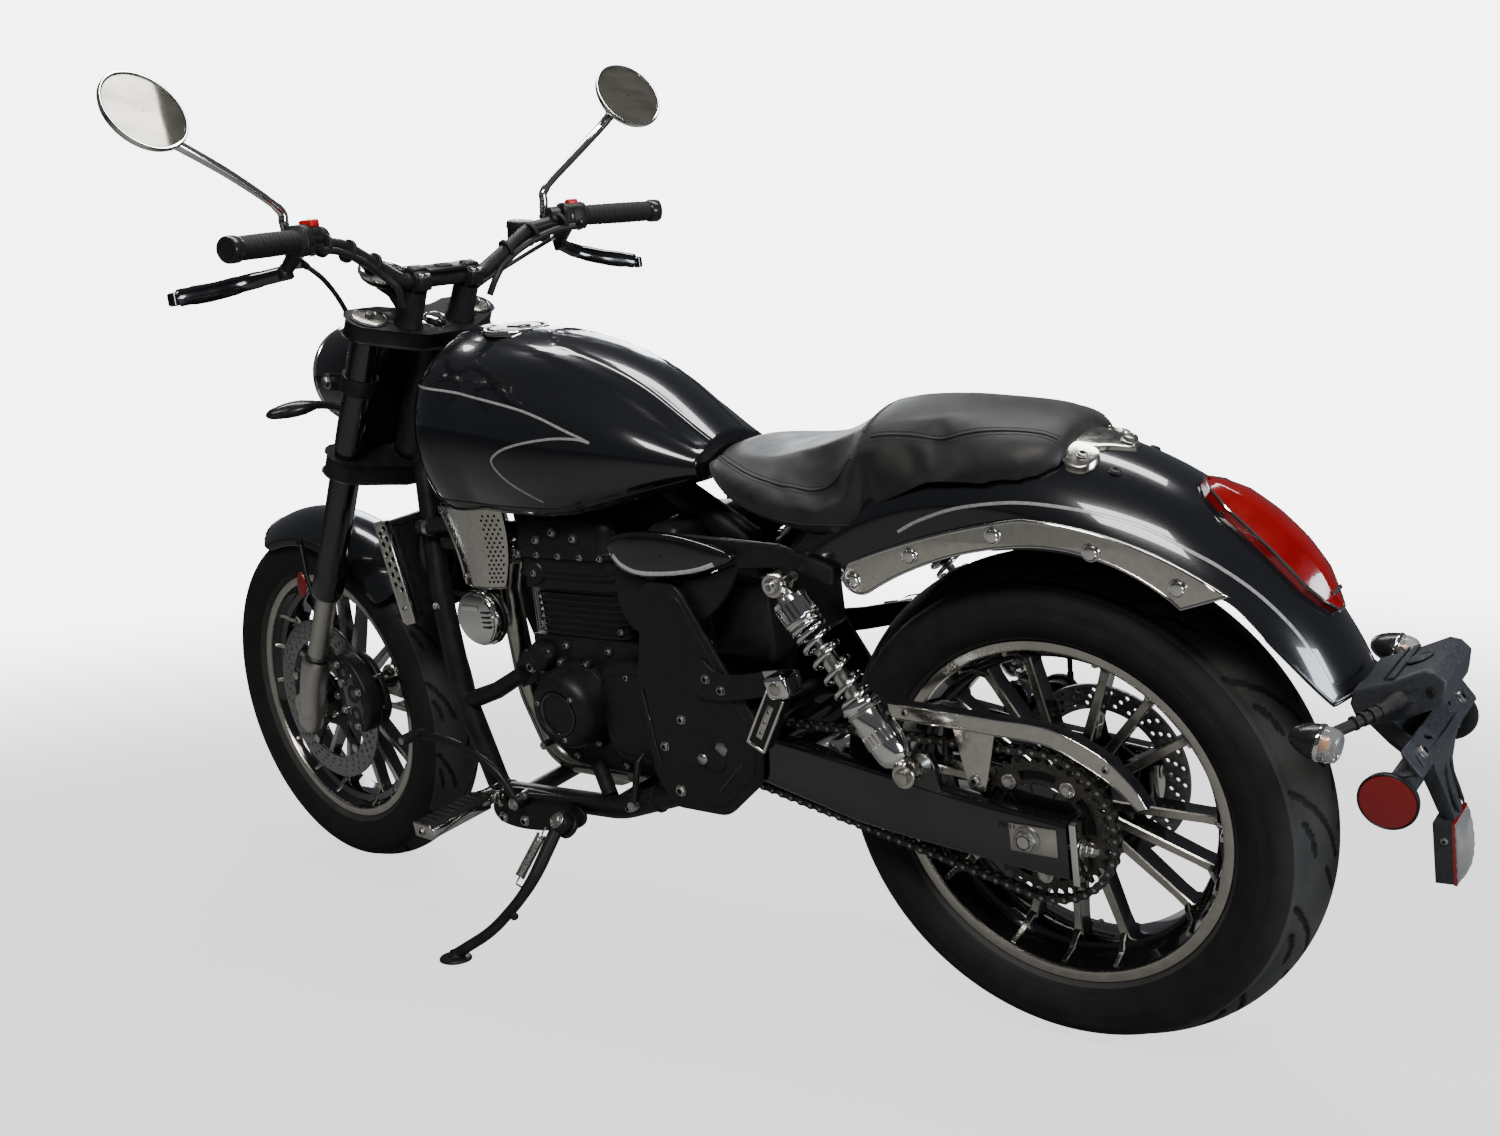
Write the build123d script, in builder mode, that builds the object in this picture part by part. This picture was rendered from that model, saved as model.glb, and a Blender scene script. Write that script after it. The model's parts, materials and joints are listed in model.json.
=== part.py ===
"""Cruiser motorcycle, leaning on its side stand.

Every sub-part is modelled on the upright machine: X forward, Y to the left,
Z up, millimetres, origin on the ground under the rear axle.  At the end the
front end is turned a few degrees to the right, and the whole machine is
leaned to the left until the stand foot is on the ground.
"""
import math
import os

from build123d import *

# ---------------------------------------------------------------- driving sizes
WHEELBASE = 1447.0
REAR_TYRE_R, REAR_TYRE_HALF = 327.0, 85.0
FRONT_TYRE_R, FRONT_TYRE_HALF = 315.0, 59.0
RIM_LIP_R = 230.0            # flange of a 17 inch rim
REAR_LIP_Y, FRONT_LIP_Y = 66.0, 43.0
CROWN_R = 78.0               # tread crown of both tyres, so both drop alike in a lean
RAKE = 28.4                  # steering axis from the vertical
TRAIL = 126.0
STEER_NOW = -6.0             # bars turned a little to the right
LEAN = 10.0                  # to the left, on the side stand
FORK_OFFSET, FORK_HALF = 33.5, 101.5
RUN_GAP = 6.0                # clear gap beside anything that moves

os.makedirs("parts", exist_ok=True)

RK = math.radians(RAKE)
REAR_AXLE = Vector(0, 0, REAR_TYRE_R)
FRONT_AXLE = Vector(WHEELBASE, 0, FRONT_TYRE_R)
STEER_FOOT = Vector(WHEELBASE + TRAIL, 0, 0)
STEER_DIR = Vector(-math.sin(RK), 0, math.cos(RK))
STEER_FWD = Vector(math.cos(RK), 0, math.sin(RK))


def steer(t, fwd=0.0, y=0.0):
    """Point t mm up the steering axis, fwd mm ahead of it and y mm to the left."""
    return STEER_FOOT + STEER_DIR * t + STEER_FWD * fwd + Vector(0, y, 0)


def across(x, y, z):
    """Plane facing left (+Y) at a point, its own x forward and its own y up."""
    return Plane(origin=(x, y, z), x_dir=(1, 0, 0), z_dir=(0, -1, 0))


def fork_plane(t, fwd=0.0, y=0.0):
    """Plane square to the steering axis, its own x forward and its own y left."""
    return Plane(origin=steer(t, fwd, y), x_dir=STEER_FWD, z_dir=STEER_DIR)


def rod(a, b, r, r2=None):
    """A round bar from a to b, tapered when r2 is given."""
    a, b = Vector(*a), Vector(*b)
    way = b - a
    with BuildSketch(Plane(origin=a, z_dir=way)) as near:
        Circle(r)
    if r2 is None:
        extrude(near.sketch, amount=way.length)
    else:
        with BuildSketch(Plane(origin=b, z_dir=way)) as far:
            Circle(r2)
        loft([near.sketch.face(), far.sketch.face()])


def turned(a, b, steps):
    """A turned piece along the line from a towards b, from (distance, radius) steps."""
    a, b = Vector(*a), Vector(*b)
    way = (b - a).normalized()
    with BuildSketch(Plane(origin=a, x_dir=way, z_dir=way.cross(Vector(0, 0, 1)))) as half:
        with BuildLine():
            Polyline((steps[0][0], 0), *steps, (steps[-1][0], 0), close=True)
        make_face()
    revolve(half.sketch, axis=Axis(a, way))


def tube(points, r, bends):
    """A round bar along straight runs joined by tangent arcs."""
    with BuildLine() as path:
        FilletPolyline(*points, radius=bends)
    with BuildSketch(Plane(origin=path.line @ 0, z_dir=path.line % 0)) as end:
        Circle(r)
    sweep(end.sketch, path=path.line)


def plate(points, y0, y1, mode=Mode.ADD):
    """A flat plate with an outline in (x, z), from y0 to y1."""
    with BuildSketch(Plane.XZ.offset(-y0)) as outline:
        with BuildLine():
            Polyline(*points, close=True)
        make_face()
    extrude(outline.sketch, amount=-(y1 - y0), mode=mode)


def ring_about(centre, profile, mode=Mode.ADD):
    """Turn a (y, r) outline about the wheel axis through centre."""
    with BuildSketch(Plane(origin=centre, x_dir=(0, 1, 0), z_dir=(1, 0, 0))) as half:
        with BuildLine():
            Polyline(*profile, close=True)
        make_face()
    revolve(half.sketch, axis=Axis(centre, (0, 1, 0)), mode=mode)


def slab(plane, outline, thickness, mode=Mode.ADD):
    """Extrude a straight-edged outline drawn on a plane."""
    with BuildSketch(plane) as face:
        with BuildLine():
            Polyline(*outline, close=True)
        make_face()
    extrude(face.sketch, amount=thickness, mode=mode)


# ---------------------------------------------------------------- wheels
def tyre(part_centre, r_out, half, lip_y):
    """Tyre of rounded crown: crown arc, shoulder arc and sidewall, hollow over the rim."""
    edge = 0.66 * half
    z_edge = r_out - CROWN_R + math.sqrt(CROWN_R**2 - edge**2)
    wall_r = r_out - 0.62 * half
    bead = (lip_y - 6, RIM_LIP_R - 9)
    with BuildSketch(Plane(origin=part_centre, x_dir=(0, 1, 0), z_dir=(1, 0, 0))) as section:
        with BuildLine():
            crown_mid = (edge / 2, r_out - CROWN_R + math.sqrt(CROWN_R**2 - edge**2 / 4))
            ThreePointArc((-edge, z_edge), (0, r_out), (edge, z_edge))
            ThreePointArc((edge, z_edge), (half - 4, (z_edge + wall_r) / 2 + 2), (half, wall_r))
            ThreePointArc((half, wall_r), (half - 5, (wall_r + RIM_LIP_R) / 2 - 6), (lip_y, RIM_LIP_R + 1.5))
            Polyline((lip_y, RIM_LIP_R + 1.5), (lip_y - 4, RIM_LIP_R + 1.5), bead, (lip_y - 16, RIM_LIP_R - 9),
                     (half - 16, wall_r - 4), (edge - 6, z_edge - 14),
                     (-(edge - 6), z_edge - 14), (-(half - 16), wall_r - 4), (-(lip_y - 16), RIM_LIP_R - 9),
                     (-bead[0], bead[1]), (-(lip_y - 4), RIM_LIP_R + 1.5), (-lip_y, RIM_LIP_R + 1.5))
            ThreePointArc((-lip_y, RIM_LIP_R + 1.5), (-(half - 5), (wall_r + RIM_LIP_R) / 2 - 6), (-half, wall_r))
            ThreePointArc((-half, wall_r), (-(half - 4), (z_edge + wall_r) / 2 + 2), (-edge, z_edge))
        make_face()
    revolve(section.sketch, axis=Axis(part_centre, (0, 1, 0)))


SPOKE_GROUPS, GROUP_STEP, SPOKE_STEP = 5, 72.0, 19.7
SPOKE_OUT_R, SPOKE_FACE_Y = 197.0, 13.6


def rim(centre, lip_y, hub_r, hub_half, bore_r, phase, face_y):
    """Cast wheel: barrel with a flat well, five groups of three spokes, and a hub."""
    slope_y = min(39.0, lip_y - 12)
    ring_about(centre, [(lip_y, RIM_LIP_R), (lip_y, 216), (slope_y, 209), (face_y + 8, 194), (-face_y - 8, 194),
                        (-slope_y, 209), (-lip_y, 216), (-lip_y, RIM_LIP_R),
                        (-lip_y + 4.5, RIM_LIP_R), (-lip_y + 6.5, 220.5), (-slope_y, 216), (-face_y - 6, 200),
                        (face_y + 6, 200), (slope_y, 216), (lip_y - 6.5, 220.5), (lip_y - 4.5, RIM_LIP_R)])
    ring_about(centre, [(hub_half, hub_r), (hub_half, bore_r), (-hub_half, bore_r), (-hub_half, hub_r)])
    for group in range(SPOKE_GROUPS):
        for step in (-1, 0, 1):
            ang = math.radians(phase + group * GROUP_STEP + step * SPOKE_STEP)
            out = Vector(math.cos(ang), 0, math.sin(ang))
            with BuildSketch(Plane(origin=centre + out * (hub_r - 4), x_dir=(0, 1, 0), z_dir=out)) as root:
                Rectangle(2 * face_y + 8, 15)
            with BuildSketch(Plane(origin=centre + out * SPOKE_OUT_R, x_dir=(0, 1, 0), z_dir=out)) as tip:
                Rectangle(2 * face_y, 11)
            loft([root.sketch.face(), tip.sketch.face()])


def disc(centre, y, r_out, r_in, carrier_r, bore_r):
    """Brake disc 4.5 mm thick on a five-armed carrier."""
    ring_about(centre, [(y - 2.2, r_out), (y - 2.2, r_in), (y + 2.2, r_in), (y + 2.2, r_out)])
    ring_about(centre, [(y - 3, carrier_r), (y - 3, bore_r), (y + 3, bore_r), (y + 3, carrier_r)])
    for k in range(5):
        ang = math.radians(18 + k * 72)
        out = Vector(math.cos(ang), 0, math.sin(ang))
        with BuildSketch(Plane(origin=centre + Vector(0, y, 0) + out * (carrier_r - 3), x_dir=(0, 1, 0), z_dir=out)) as arm:
            Rectangle(4, 16)
        extrude(arm.sketch, amount=r_in - carrier_r + 6)


AXLE_R = 8.5
REAR_HUB_R, REAR_HUB_HALF = 44.0, 66.0
FRONT_HUB_R, FRONT_HUB_HALF = 34.0, 48.0

with BuildPart() as rear_rim:
    rim(REAR_AXLE, REAR_LIP_Y, REAR_HUB_R, REAR_HUB_HALF, AXLE_R + 0.4, 56.0, SPOKE_FACE_Y)
with BuildPart() as front_rim:
    rim(FRONT_AXLE, FRONT_LIP_Y, FRONT_HUB_R, FRONT_HUB_HALF, AXLE_R + 0.4, 20.0, 11.0)

with BuildPart() as rear_tyre:
    tyre(REAR_AXLE, REAR_TYRE_R, REAR_TYRE_HALF, REAR_LIP_Y)
    add(rear_rim.part, mode=Mode.SUBTRACT)
with BuildPart() as front_tyre:
    tyre(FRONT_AXLE, FRONT_TYRE_R, FRONT_TYRE_HALF, FRONT_LIP_Y)
    add(front_rim.part, mode=Mode.SUBTRACT)

# sprocket on the left of the rear hub, disc on its right; disc on the left in front
SPROCKET_Y, SPROCKET_R = 98.0, 91.5
REAR_DISC_Y, REAR_DISC_R = -84.0, 120.0
FRONT_DISC_Y, FRONT_DISC_R = 56.0, 149.0

with BuildPart() as rear_sprocket:
    ring_about(REAR_AXLE, [(SPROCKET_Y - 3, SPROCKET_R), (SPROCKET_Y - 3, 78), (SPROCKET_Y - 31.8, 56),
                           (SPROCKET_Y - 31.8, AXLE_R + 0.4), (SPROCKET_Y + 5, AXLE_R + 0.4), (SPROCKET_Y + 5, 40),
                           (SPROCKET_Y + 3, 66), (SPROCKET_Y + 3, SPROCKET_R)])
with BuildPart() as rear_disc:
    disc(REAR_AXLE, REAR_DISC_Y, REAR_DISC_R, 86.0, 48.0, AXLE_R + 0.4)
    ring_about(REAR_AXLE, [(-66.2, 40), (-66.2, AXLE_R + 0.4), (-82, AXLE_R + 0.4), (-82, 40)])
with BuildPart() as front_disc:
    disc(FRONT_AXLE, FRONT_DISC_Y, FRONT_DISC_R, 111.0, 48.0, AXLE_R + 0.4)
    ring_about(FRONT_AXLE, [(48.2, 34), (48.2, AXLE_R + 0.4), (60, AXLE_R + 0.4), (60, 34)])

# ---------------------------------------------------------------- axles
REAR_AXLE_END = 146.0
with BuildPart() as rear_axle:
    rod(REAR_AXLE + Vector(0, -REAR_AXLE_END, 0), REAR_AXLE + Vector(0, REAR_AXLE_END, 0), AXLE_R)
    for side in (-1, 1):
        with BuildSketch(Plane(origin=REAR_AXLE + Vector(0, side * 138.2, 0), z_dir=(0, side, 0))):
            RegularPolygon(14.5, 6)
        extrude(amount=12)
with BuildPart() as front_axle:
    rod(FRONT_AXLE + Vector(0, -88, 0), FRONT_AXLE + Vector(0, 88, 0), AXLE_R)

# ---------------------------------------------------------------- fork
FORK_TOP_T, UPPER_CLAMP_T, LOWER_CLAMP_T = 1121.0, 1086.0, 872.0
COVER_END_T, AXLE_T = 597.0, 336.8
UPPER_R, LOWER_R = 24.5, 18.0

with BuildPart() as fork_tubes:
    for side in (-1, 1):
        with BuildSketch(fork_plane(COVER_END_T, FORK_OFFSET, side * FORK_HALF)):
            Circle(UPPER_R)
        extrude(amount=FORK_TOP_T - COVER_END_T)
        with BuildSketch(fork_plane(COVER_END_T - 8, FORK_OFFSET, side * FORK_HALF)):
            Circle(UPPER_R + 2)
        extrude(amount=50)
with BuildPart() as fork_lowers:
    for side in (-1, 1):
        with BuildSketch(fork_plane(AXLE_T + 30, FORK_OFFSET, side * FORK_HALF)):
            Circle(LOWER_R)
        extrude(amount=COVER_END_T - 8.3 - AXLE_T - 30)
        with BuildSketch(fork_plane(AXLE_T + 100, FORK_OFFSET + 2, side * FORK_HALF)):
            RectangleRounded(50, 44, 12)
        with BuildSketch(fork_plane(AXLE_T - 26, FORK_OFFSET + 4, side * (FORK_HALF - 6))):
            RectangleRounded(54, 30, 12)
        loft()
    with BuildSketch(across(WHEELBASE, 0, FRONT_TYRE_R)):
        Circle(AXLE_R + 0.05)
    extrude(amount=200, both=True, mode=Mode.SUBTRACT)

with BuildPart() as triple_clamps:
    with BuildSketch(fork_plane(UPPER_CLAMP_T)):
        with BuildLine():
            Polyline((-34, 40), (-34, -40), (8, -118), (22, -136), (56, -136), (66, -118), (66, -60), (52, -30), (52, 30),
                     (66, 60), (66, 118), (56, 136), (22, 136), (8, 118), close=True)
        make_face()
        with Locations((FORK_OFFSET, FORK_HALF), (FORK_OFFSET, -FORK_HALF)):
            Circle(UPPER_R + 0.02, mode=Mode.SUBTRACT)
    extrude(amount=30)
    with BuildSketch(fork_plane(LOWER_CLAMP_T - 38)):
        with BuildLine():
            Polyline((-31, 26), (-31, -26), (4, -118), (16, -134), (56, -134), (66, -120), (66, 120), (56, 134), (16, 134),
                     (4, 118), close=True)
        make_face()
        with Locations((FORK_OFFSET, FORK_HALF), (FORK_OFFSET, -FORK_HALF)):
            Circle(UPPER_R + 0.02, mode=Mode.SUBTRACT)
    extrude(amount=38)
    rod(steer(LOWER_CLAMP_T - 10), steer(FORK_TOP_T + 6), 13)

# head tube and backbone of the frame
HEAD_LOW_T, HEAD_TOP_T, HEAD_R, STEM_R = 880.0, 1078.0, 31.0, 13.0
with BuildPart() as frame_backbone:
    rod(steer(HEAD_LOW_T), steer(HEAD_TOP_T), HEAD_R)
    tube([steer(1000), (960, 0, 815), (620, 0, 730), (470, 0, 640)], 25, [150, 180])
    rod(steer(HEAD_LOW_T - 1), steer(HEAD_TOP_T + 1), STEM_R + 2.5)
    with BuildSketch(fork_plane(HEAD_LOW_T - 5)):
        Circle(STEM_R + 1.5)
    extrude(amount=HEAD_TOP_T - HEAD_LOW_T + 10, mode=Mode.SUBTRACT)
with BuildPart() as down_tubes:
    for side in (-1, 1):
        tube([(1092, side * 33, 772), (1052, side * 84, 560), (1020, side * 104, 400), (975, side * 110.5, 275)], 18, [260, 260])
with BuildPart() as lower_rails:
    for side in (-1, 1):
        tube([(974.9, side * 110.53, 274.7), (960.6, side * 112.6, 235), (690, side * 118, 250), (560, side * 120, 296)], 18, [34, 220])
# ---------------------------------------------------------------- engine
def boss(x, y0, z, r, length, side):
    """A round cover standing out from the engine's side."""
    with BuildSketch(Plane(origin=(x, side * y0, z), x_dir=(1, 0, 0), z_dir=(0, side, 0))) as face:
        Circle(r)
    extrude(face.sketch, amount=length)


CASE_HALF, PLATE_Y = 88.0, 138.2
STRUT_Y, STRUT_T = 121.0, 5.0
with BuildPart() as rear_frame:
    for side in (-1, 1):
        outline = [(596, 470), (588, 330), (562, 284), (462, 284), (392, 345), (382, 420), (430, 500), (498, 622), (560, 622)]
        y0, y1 = sorted((side * PLATE_Y, side * (PLATE_Y + 8)))
        plate(outline, y0, y1)
        rail = [(560, 596), (496, 636), (330, 650), (246, 630), (246, 656), (330, 682), (500, 690), (572, 650)]
        y0, y1 = sorted((side * (STRUT_Y - 2), side * (STRUT_Y + 9)))
        plate(rail, y0, y1)
        rod((534, side * (STRUT_Y + 8), 612), (534, side * (PLATE_Y + 1), 612), 11)
with BuildPart() as crankcase:
    plate([(858, 470), (866, 420), (850, 335), (800, 294), (600, 294), (520, 330), (490, 420), (520, 504), (858, 504)],
          -CASE_HALF, CASE_HALF)
    for x, z, r, length, side in ((768, 402, 66, 60, 1), (742, 392, 84, 52, -1)):
        boss(x, CASE_HALF - 1, z, r, length, side)
with BuildPart() as cylinders:
    with BuildSketch(Plane.XY.offset(504.5)):
        with Locations((748, 0)):
            RectangleRounded(188, 170, 24)
    extrude(amount=78)
    with BuildSketch(Plane.XY.offset(582)):
        with Locations((760, 0)):
            RectangleRounded(216, 196, 22)
    extrude(amount=112)
PIPE_R = 18.0
MUFFLER_Y, MUFFLER_R = -193.0, 45.0
with BuildPart() as muffler:
    turned((505, MUFFLER_Y, 240), (38, MUFFLER_Y - 4, 263),
           [(0, 27), (42, MUFFLER_R), (446, MUFFLER_R), (467, 34)])
with BuildPart() as exhaust_headers:
    for side in (-1, 1):
        tube([(873, side * 42, 627), (915, side * 42, 620), (942, side * 38, 560), (945, side * 30, 380),
              (905, side * 26, 264), (760, side * 22 - 10, 256)], PIPE_R, [24, 40, 120, 60])
    tube([(790, -10, 252), (660, -20, 236), (600, -150, 228), (512, -190, 239)], 25, [60, 50])
    add(muffler.part, mode=Mode.SUBTRACT)
with BuildPart() as radiator:
    plate([(1078, 520), (1104, 682), (1131, 678), (1105, 516)], -118, 118)
    for side in (-1, 1):
        outline = [(1074, 514), (1101, 688), (1135, 683), (1107, 509)]
        plate(outline, min(side * 118, side * 134), max(side * 118, side * 134))
with BuildPart() as horn:
    boss(944, 78, 529, 46, 42, 1)
    rod((944, 60, 529), (944, 80, 529), 12)
    plate([(936, 520), (936, 600), (884, 640), (874, 632), (924, 590), (924, 520)], 64, 68)
    rod((869, 66, 636), (882, 66, 636), 6)

def shell_loft(sections, mode=Mode.ADD):
    """Loft through half-width tables: flat bottom, bulging sides and a crowned top."""
    faces = []
    for x, zb, wb, zm, wm, zs, ws, zt in sections:
        with BuildSketch(Plane(origin=(x, 0, 0), x_dir=(0, 1, 0), z_dir=(1, 0, 0))) as section:
            with BuildLine():
                Line((-wb, zb), (wb, zb))
                ThreePointArc((wb, zb), (wm, zm), (ws, zs))
                ThreePointArc((ws, zs), (0, zt), (-ws, zs))
                ThreePointArc((-ws, zs), (-wm, zm), (-wb, zb))
            make_face()
        faces.append(section.sketch.face())
    loft(faces, mode=mode)


# ---------------------------------------------------------------- tank and seat
# x, bottom z, bottom half width, widest z, half width, shoulder z, shoulder half width, crest z
TANK_SECTIONS = [
    (1000, 730, 96, 812, 118, 884, 96, 918),
    (980, 716, 108, 812, 137, 898, 113, 945),
    (868, 704, 116, 800, 152, 905, 118, 961),
    (720, 700, 114, 790, 150, 885, 109, 943),
    (590, 722, 92, 785, 126, 847, 86, 888),
    (484, 748, 60, 772, 84, 787, 57, 802),
]
with BuildPart() as fuel_tank:
    shell_loft(TANK_SECTIONS)
    # tunnel over the backbone
    plate([(1012, 690), (1012, 872), (962, 850), (630, 772), (470, 712), (470, 690)], -33, 33, Mode.SUBTRACT)
with BuildPart() as filler_cap:
    with BuildSketch(Plane(origin=(868, 0, 961.4), x_dir=(1, 0, 0.06), z_dir=(-0.06, 0, 1))):
        Circle(52)
    extrude(amount=7)
    add(fuel_tank.part, mode=Mode.SUBTRACT)
with BuildPart() as side_panels:
    for side in (-1, 1):
        outline = [(615, 668), (600, 686), (540, 694), (465, 688), (392, 664), (455, 640), (560, 628), (604, 640)]
        plate(outline, min(side * 132, side * 148), max(side * 132, side * 148))

FENDER_C, FENDER_R, FENDER_HALF = Vector(60, 0, 350), 466.0, 118.0
# x, bottom z, bottom half width, widest z, half width, shoulder z, shoulder half width, crest z
RIDER_SECTIONS = [
    (486, 768, 54, 776, 62, 786, 46, 796),
    (430, 738, 104, 760, 118, 782, 90, 790),
    (365, 712, 128, 745, 142, 775, 110, 787),
    (290, 694, 128, 745, 140, 784, 106, 798),
    (206, 688, 120, 760, 130, 812, 94, 836),
]
PILLION_SECTIONS = [
    (206.5, 690, 112, 765, 122, 814, 92, 837),
    (140, 704, 108, 785, 114, 820, 86, 843),
    (40, 728, 100, 794, 108, 822, 82, 842),
    (-32, 746, 88, 798, 98, 818, 76, 837),
    (-66, 768, 66, 796, 72, 808, 56, 820),
]


with BuildPart() as seat:
    shell_loft(RIDER_SECTIONS)
    shell_loft(PILLION_SECTIONS)
    # the nose laps round the tank's tail with a hair of clearance
    shell_loft([(x + (0 if x > 484 else -0.4), zb - 0.4, wb + 0.4, zm, wm + 0.4, zs, ws + 0.4, zt + 0.4)
                for x, zb, wb, zm, wm, zs, ws, zt in TANK_SECTIONS], mode=Mode.SUBTRACT)
    with BuildSketch(Plane(origin=FENDER_C, x_dir=(0, 1, 0), z_dir=(1, 0, 0))) as over_fender:
        with BuildLine():
            ThreePointArc((-FENDER_HALF - 1, FENDER_R - 75), (0, FENDER_R + 1), (FENDER_HALF + 1, FENDER_R - 75))
            Polyline((FENDER_HALF + 1, FENDER_R - 75), (FENDER_HALF + 1, 200), (-FENDER_HALF - 1, 200),
                     (-FENDER_HALF - 1, FENDER_R - 75))
        make_face()
    revolve(over_fender.sketch, axis=Axis(FENDER_C, (0, 1, 0)), mode=Mode.SUBTRACT)

# ---------------------------------------------------------------- rear fender and what it carries
FENDER_ARC = (24.0, 158.0)        # degrees from straight ahead, over the top, to the tail
with BuildPart() as rear_fender:
    with BuildSketch(Plane(origin=FENDER_C, x_dir=(0, 1, 0), z_dir=Vector(math.sin(math.radians(FENDER_ARC[0])), 0, -math.cos(math.radians(FENDER_ARC[0]))))):
        with BuildLine():
            ThreePointArc((-FENDER_HALF, FENDER_R - 76), (0, FENDER_R), (FENDER_HALF, FENDER_R - 76))
            Polyline((FENDER_HALF, FENDER_R - 76), (FENDER_HALF, 338), (FENDER_HALF - 4, 338), (FENDER_HALF - 4, FENDER_R - 78))
            ThreePointArc((FENDER_HALF - 4, FENDER_R - 78), (0, FENDER_R - 4), (-FENDER_HALF + 4, FENDER_R - 78))
            Polyline((-FENDER_HALF + 4, FENDER_R - 78), (-FENDER_HALF + 4, 338), (-FENDER_HALF, 338), (-FENDER_HALF, FENDER_R - 76))
        make_face()
    revolve(axis=Axis(FENDER_C, (0, 1, 0)), revolution_arc=FENDER_ARC[0] - FENDER_ARC[1])
    # the sides end just under the struts, and rise to the tail
    plate([(236, 640), (198, 621), (140, 646), (94, 668), (36, 684), (-20, 690), (-72, 687), (-120, 677), (-166, 660),
           (-207, 646), (-250, 635), (-300, 580), (-338, 533), (-372, 488), (-400, 440), (-400, 100), (236, 100)], -130, 130, Mode.SUBTRACT)
    for side in (-1, 1):
        y0, y1 = sorted((side * 84, side * 130))
        plate([(600, 640), (235, 640), (235, 100), (600, 100)], y0, y1, Mode.SUBTRACT)

with BuildPart() as fender_struts:
    for side in (-1, 1):
        low = side * STRUT_Y if side > 0 else side * (STRUT_Y + STRUT_T)
        with BuildSketch(Plane.XZ.offset(-low)):
            with BuildLine():
                ThreePointArc((238, 642), (222, 622), (198, 623))
                ThreePointArc((198, 623), (94, 670), (-20, 692))
                ThreePointArc((-20, 692), (-120, 679), (-207, 629))
                Polyline((-207, 629), (-262, 648))
                ThreePointArc((-262, 648), (-150, 703), (-20, 727))
                ThreePointArc((-20, 727), (98, 703), (222, 663))
                ThreePointArc((222, 663), (236, 656), (238, 642))
            make_face()
        extrude(amount=-STRUT_T)
        with BuildSketch(Plane.XZ.offset(-low)):
            with Locations((218, 640)):
                Circle(14)
        extrude(amount=-STRUT_T)
TAIL_ARC = (122.5, 148.0)
with BuildPart() as taillight:
    with BuildSketch(Plane(origin=FENDER_C, x_dir=(0, 1, 0), z_dir=Vector(math.sin(math.radians(TAIL_ARC[0])), 0, -math.cos(math.radians(TAIL_ARC[0]))))) as tail_face:
        with BuildLine():
            Polyline((-37, 461.0), (-32, 480), (-14, 489), (14, 489), (32, 480), (37, 461.0))
            ThreePointArc((37, 461.0), (0, 466.4), (-37, 461.0))
        make_face()
    revolve(axis=Axis(FENDER_C, (0, 1, 0)), revolution_arc=TAIL_ARC[0] - TAIL_ARC[1])
PLATE_FACE, PLATE_OUT = Vector(-431, 0, 438), Vector(-28, 0, -2).normalized()
PLATE_HOLE_Y, PLATE_HOLE_R = 60.0, 3.3
with BuildPart() as plate_bracket:
    slab(Plane.XZ.offset(-58), [(-362, 512), (-366, 528), (-440, 560), (-462, 548), (-458, 520), (-372, 486)], 116)
    slab(Plane.XZ.offset(-26), [(-440, 550), (-460, 545), (-444, 440), (-462, 372), (-444, 366), (-424, 440)], 52)
    slab(Plane.XZ.offset(-122), [(-418, 452), (-432, 452), (-430, 424), (-416, 424)], 244)
    slab(Plane.XZ.offset(-30), [(-446, 372), (-466, 372), (-470, 300), (-446, 300)], 60)
    for side in (-1, 1):
        rod((-414, side * 120, 438), (-427, side * 120, 436), 31)
        # hole for the number plate's screw, square to the cross bar's rear face
        with BuildSketch(Plane(origin=PLATE_FACE + Vector(0, side * PLATE_HOLE_Y, 0), z_dir=PLATE_OUT)) as hole:
            Circle(PLATE_HOLE_R)
        extrude(hole.sketch, amount=30, both=True, mode=Mode.SUBTRACT)
    add(rear_fender.part, mode=Mode.SUBTRACT)
with BuildPart() as rear_indicators:
    for side in (-1, 1):
        tube([(-420, side * 56, 528), (-388, side * 98, 513), (-356, side * 144, 506)], 6.5, [20])
        turned((-330, side * 150, 510), (-380, side * 150, 500), [(0, 8), (12, 16), (30, 19), (51, 20)])
    add(plate_bracket.part, mode=Mode.SUBTRACT)

# ---------------------------------------------------------------- swingarm, shocks and final drive
ARM_IN, ARM_OUT = 110.0, 137.5
with BuildPart() as swingarm:
    for side in (-1, 1):
        low = ARM_IN if side > 0 else -ARM_OUT
        slab(Plane.XZ.offset(-low), [(478, 418), (440, 420), (138, 375), (-58, 352), (-56, 278), (-20, 279), (150, 294), (250, 306), (430, 350),
                                     (478, 356)], -(ARM_OUT - ARM_IN))
        # axle adjuster plate closing the arm's end
        low = ARM_IN - 1 if side > 0 else -ARM_OUT - 1
        slab(Plane.XZ.offset(-low), [(-58, 356), (-66, 356), (-64, 273), (-56, 273)], -(ARM_OUT - ARM_IN + 2))
        rod((-60, side * 124, 318), (-90, side * 124, 317), 5)
    rod((395, -ARM_IN - 2, 372), (395, ARM_IN + 2, 372), 26)
    with BuildSketch(Plane(origin=REAR_AXLE, x_dir=(1, 0, 0), z_dir=(0, 1, 0))):
        Circle(AXLE_R + 0.05)
    extrude(amount=200, both=True, mode=Mode.SUBTRACT)
SHOCK_Y = 169.0
SHOCK_TOP, SHOCK_LOW = Vector(305, 0, 643), Vector(141, 0, 406)
SHOCK_WAY = SHOCK_LOW - SHOCK_TOP
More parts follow.
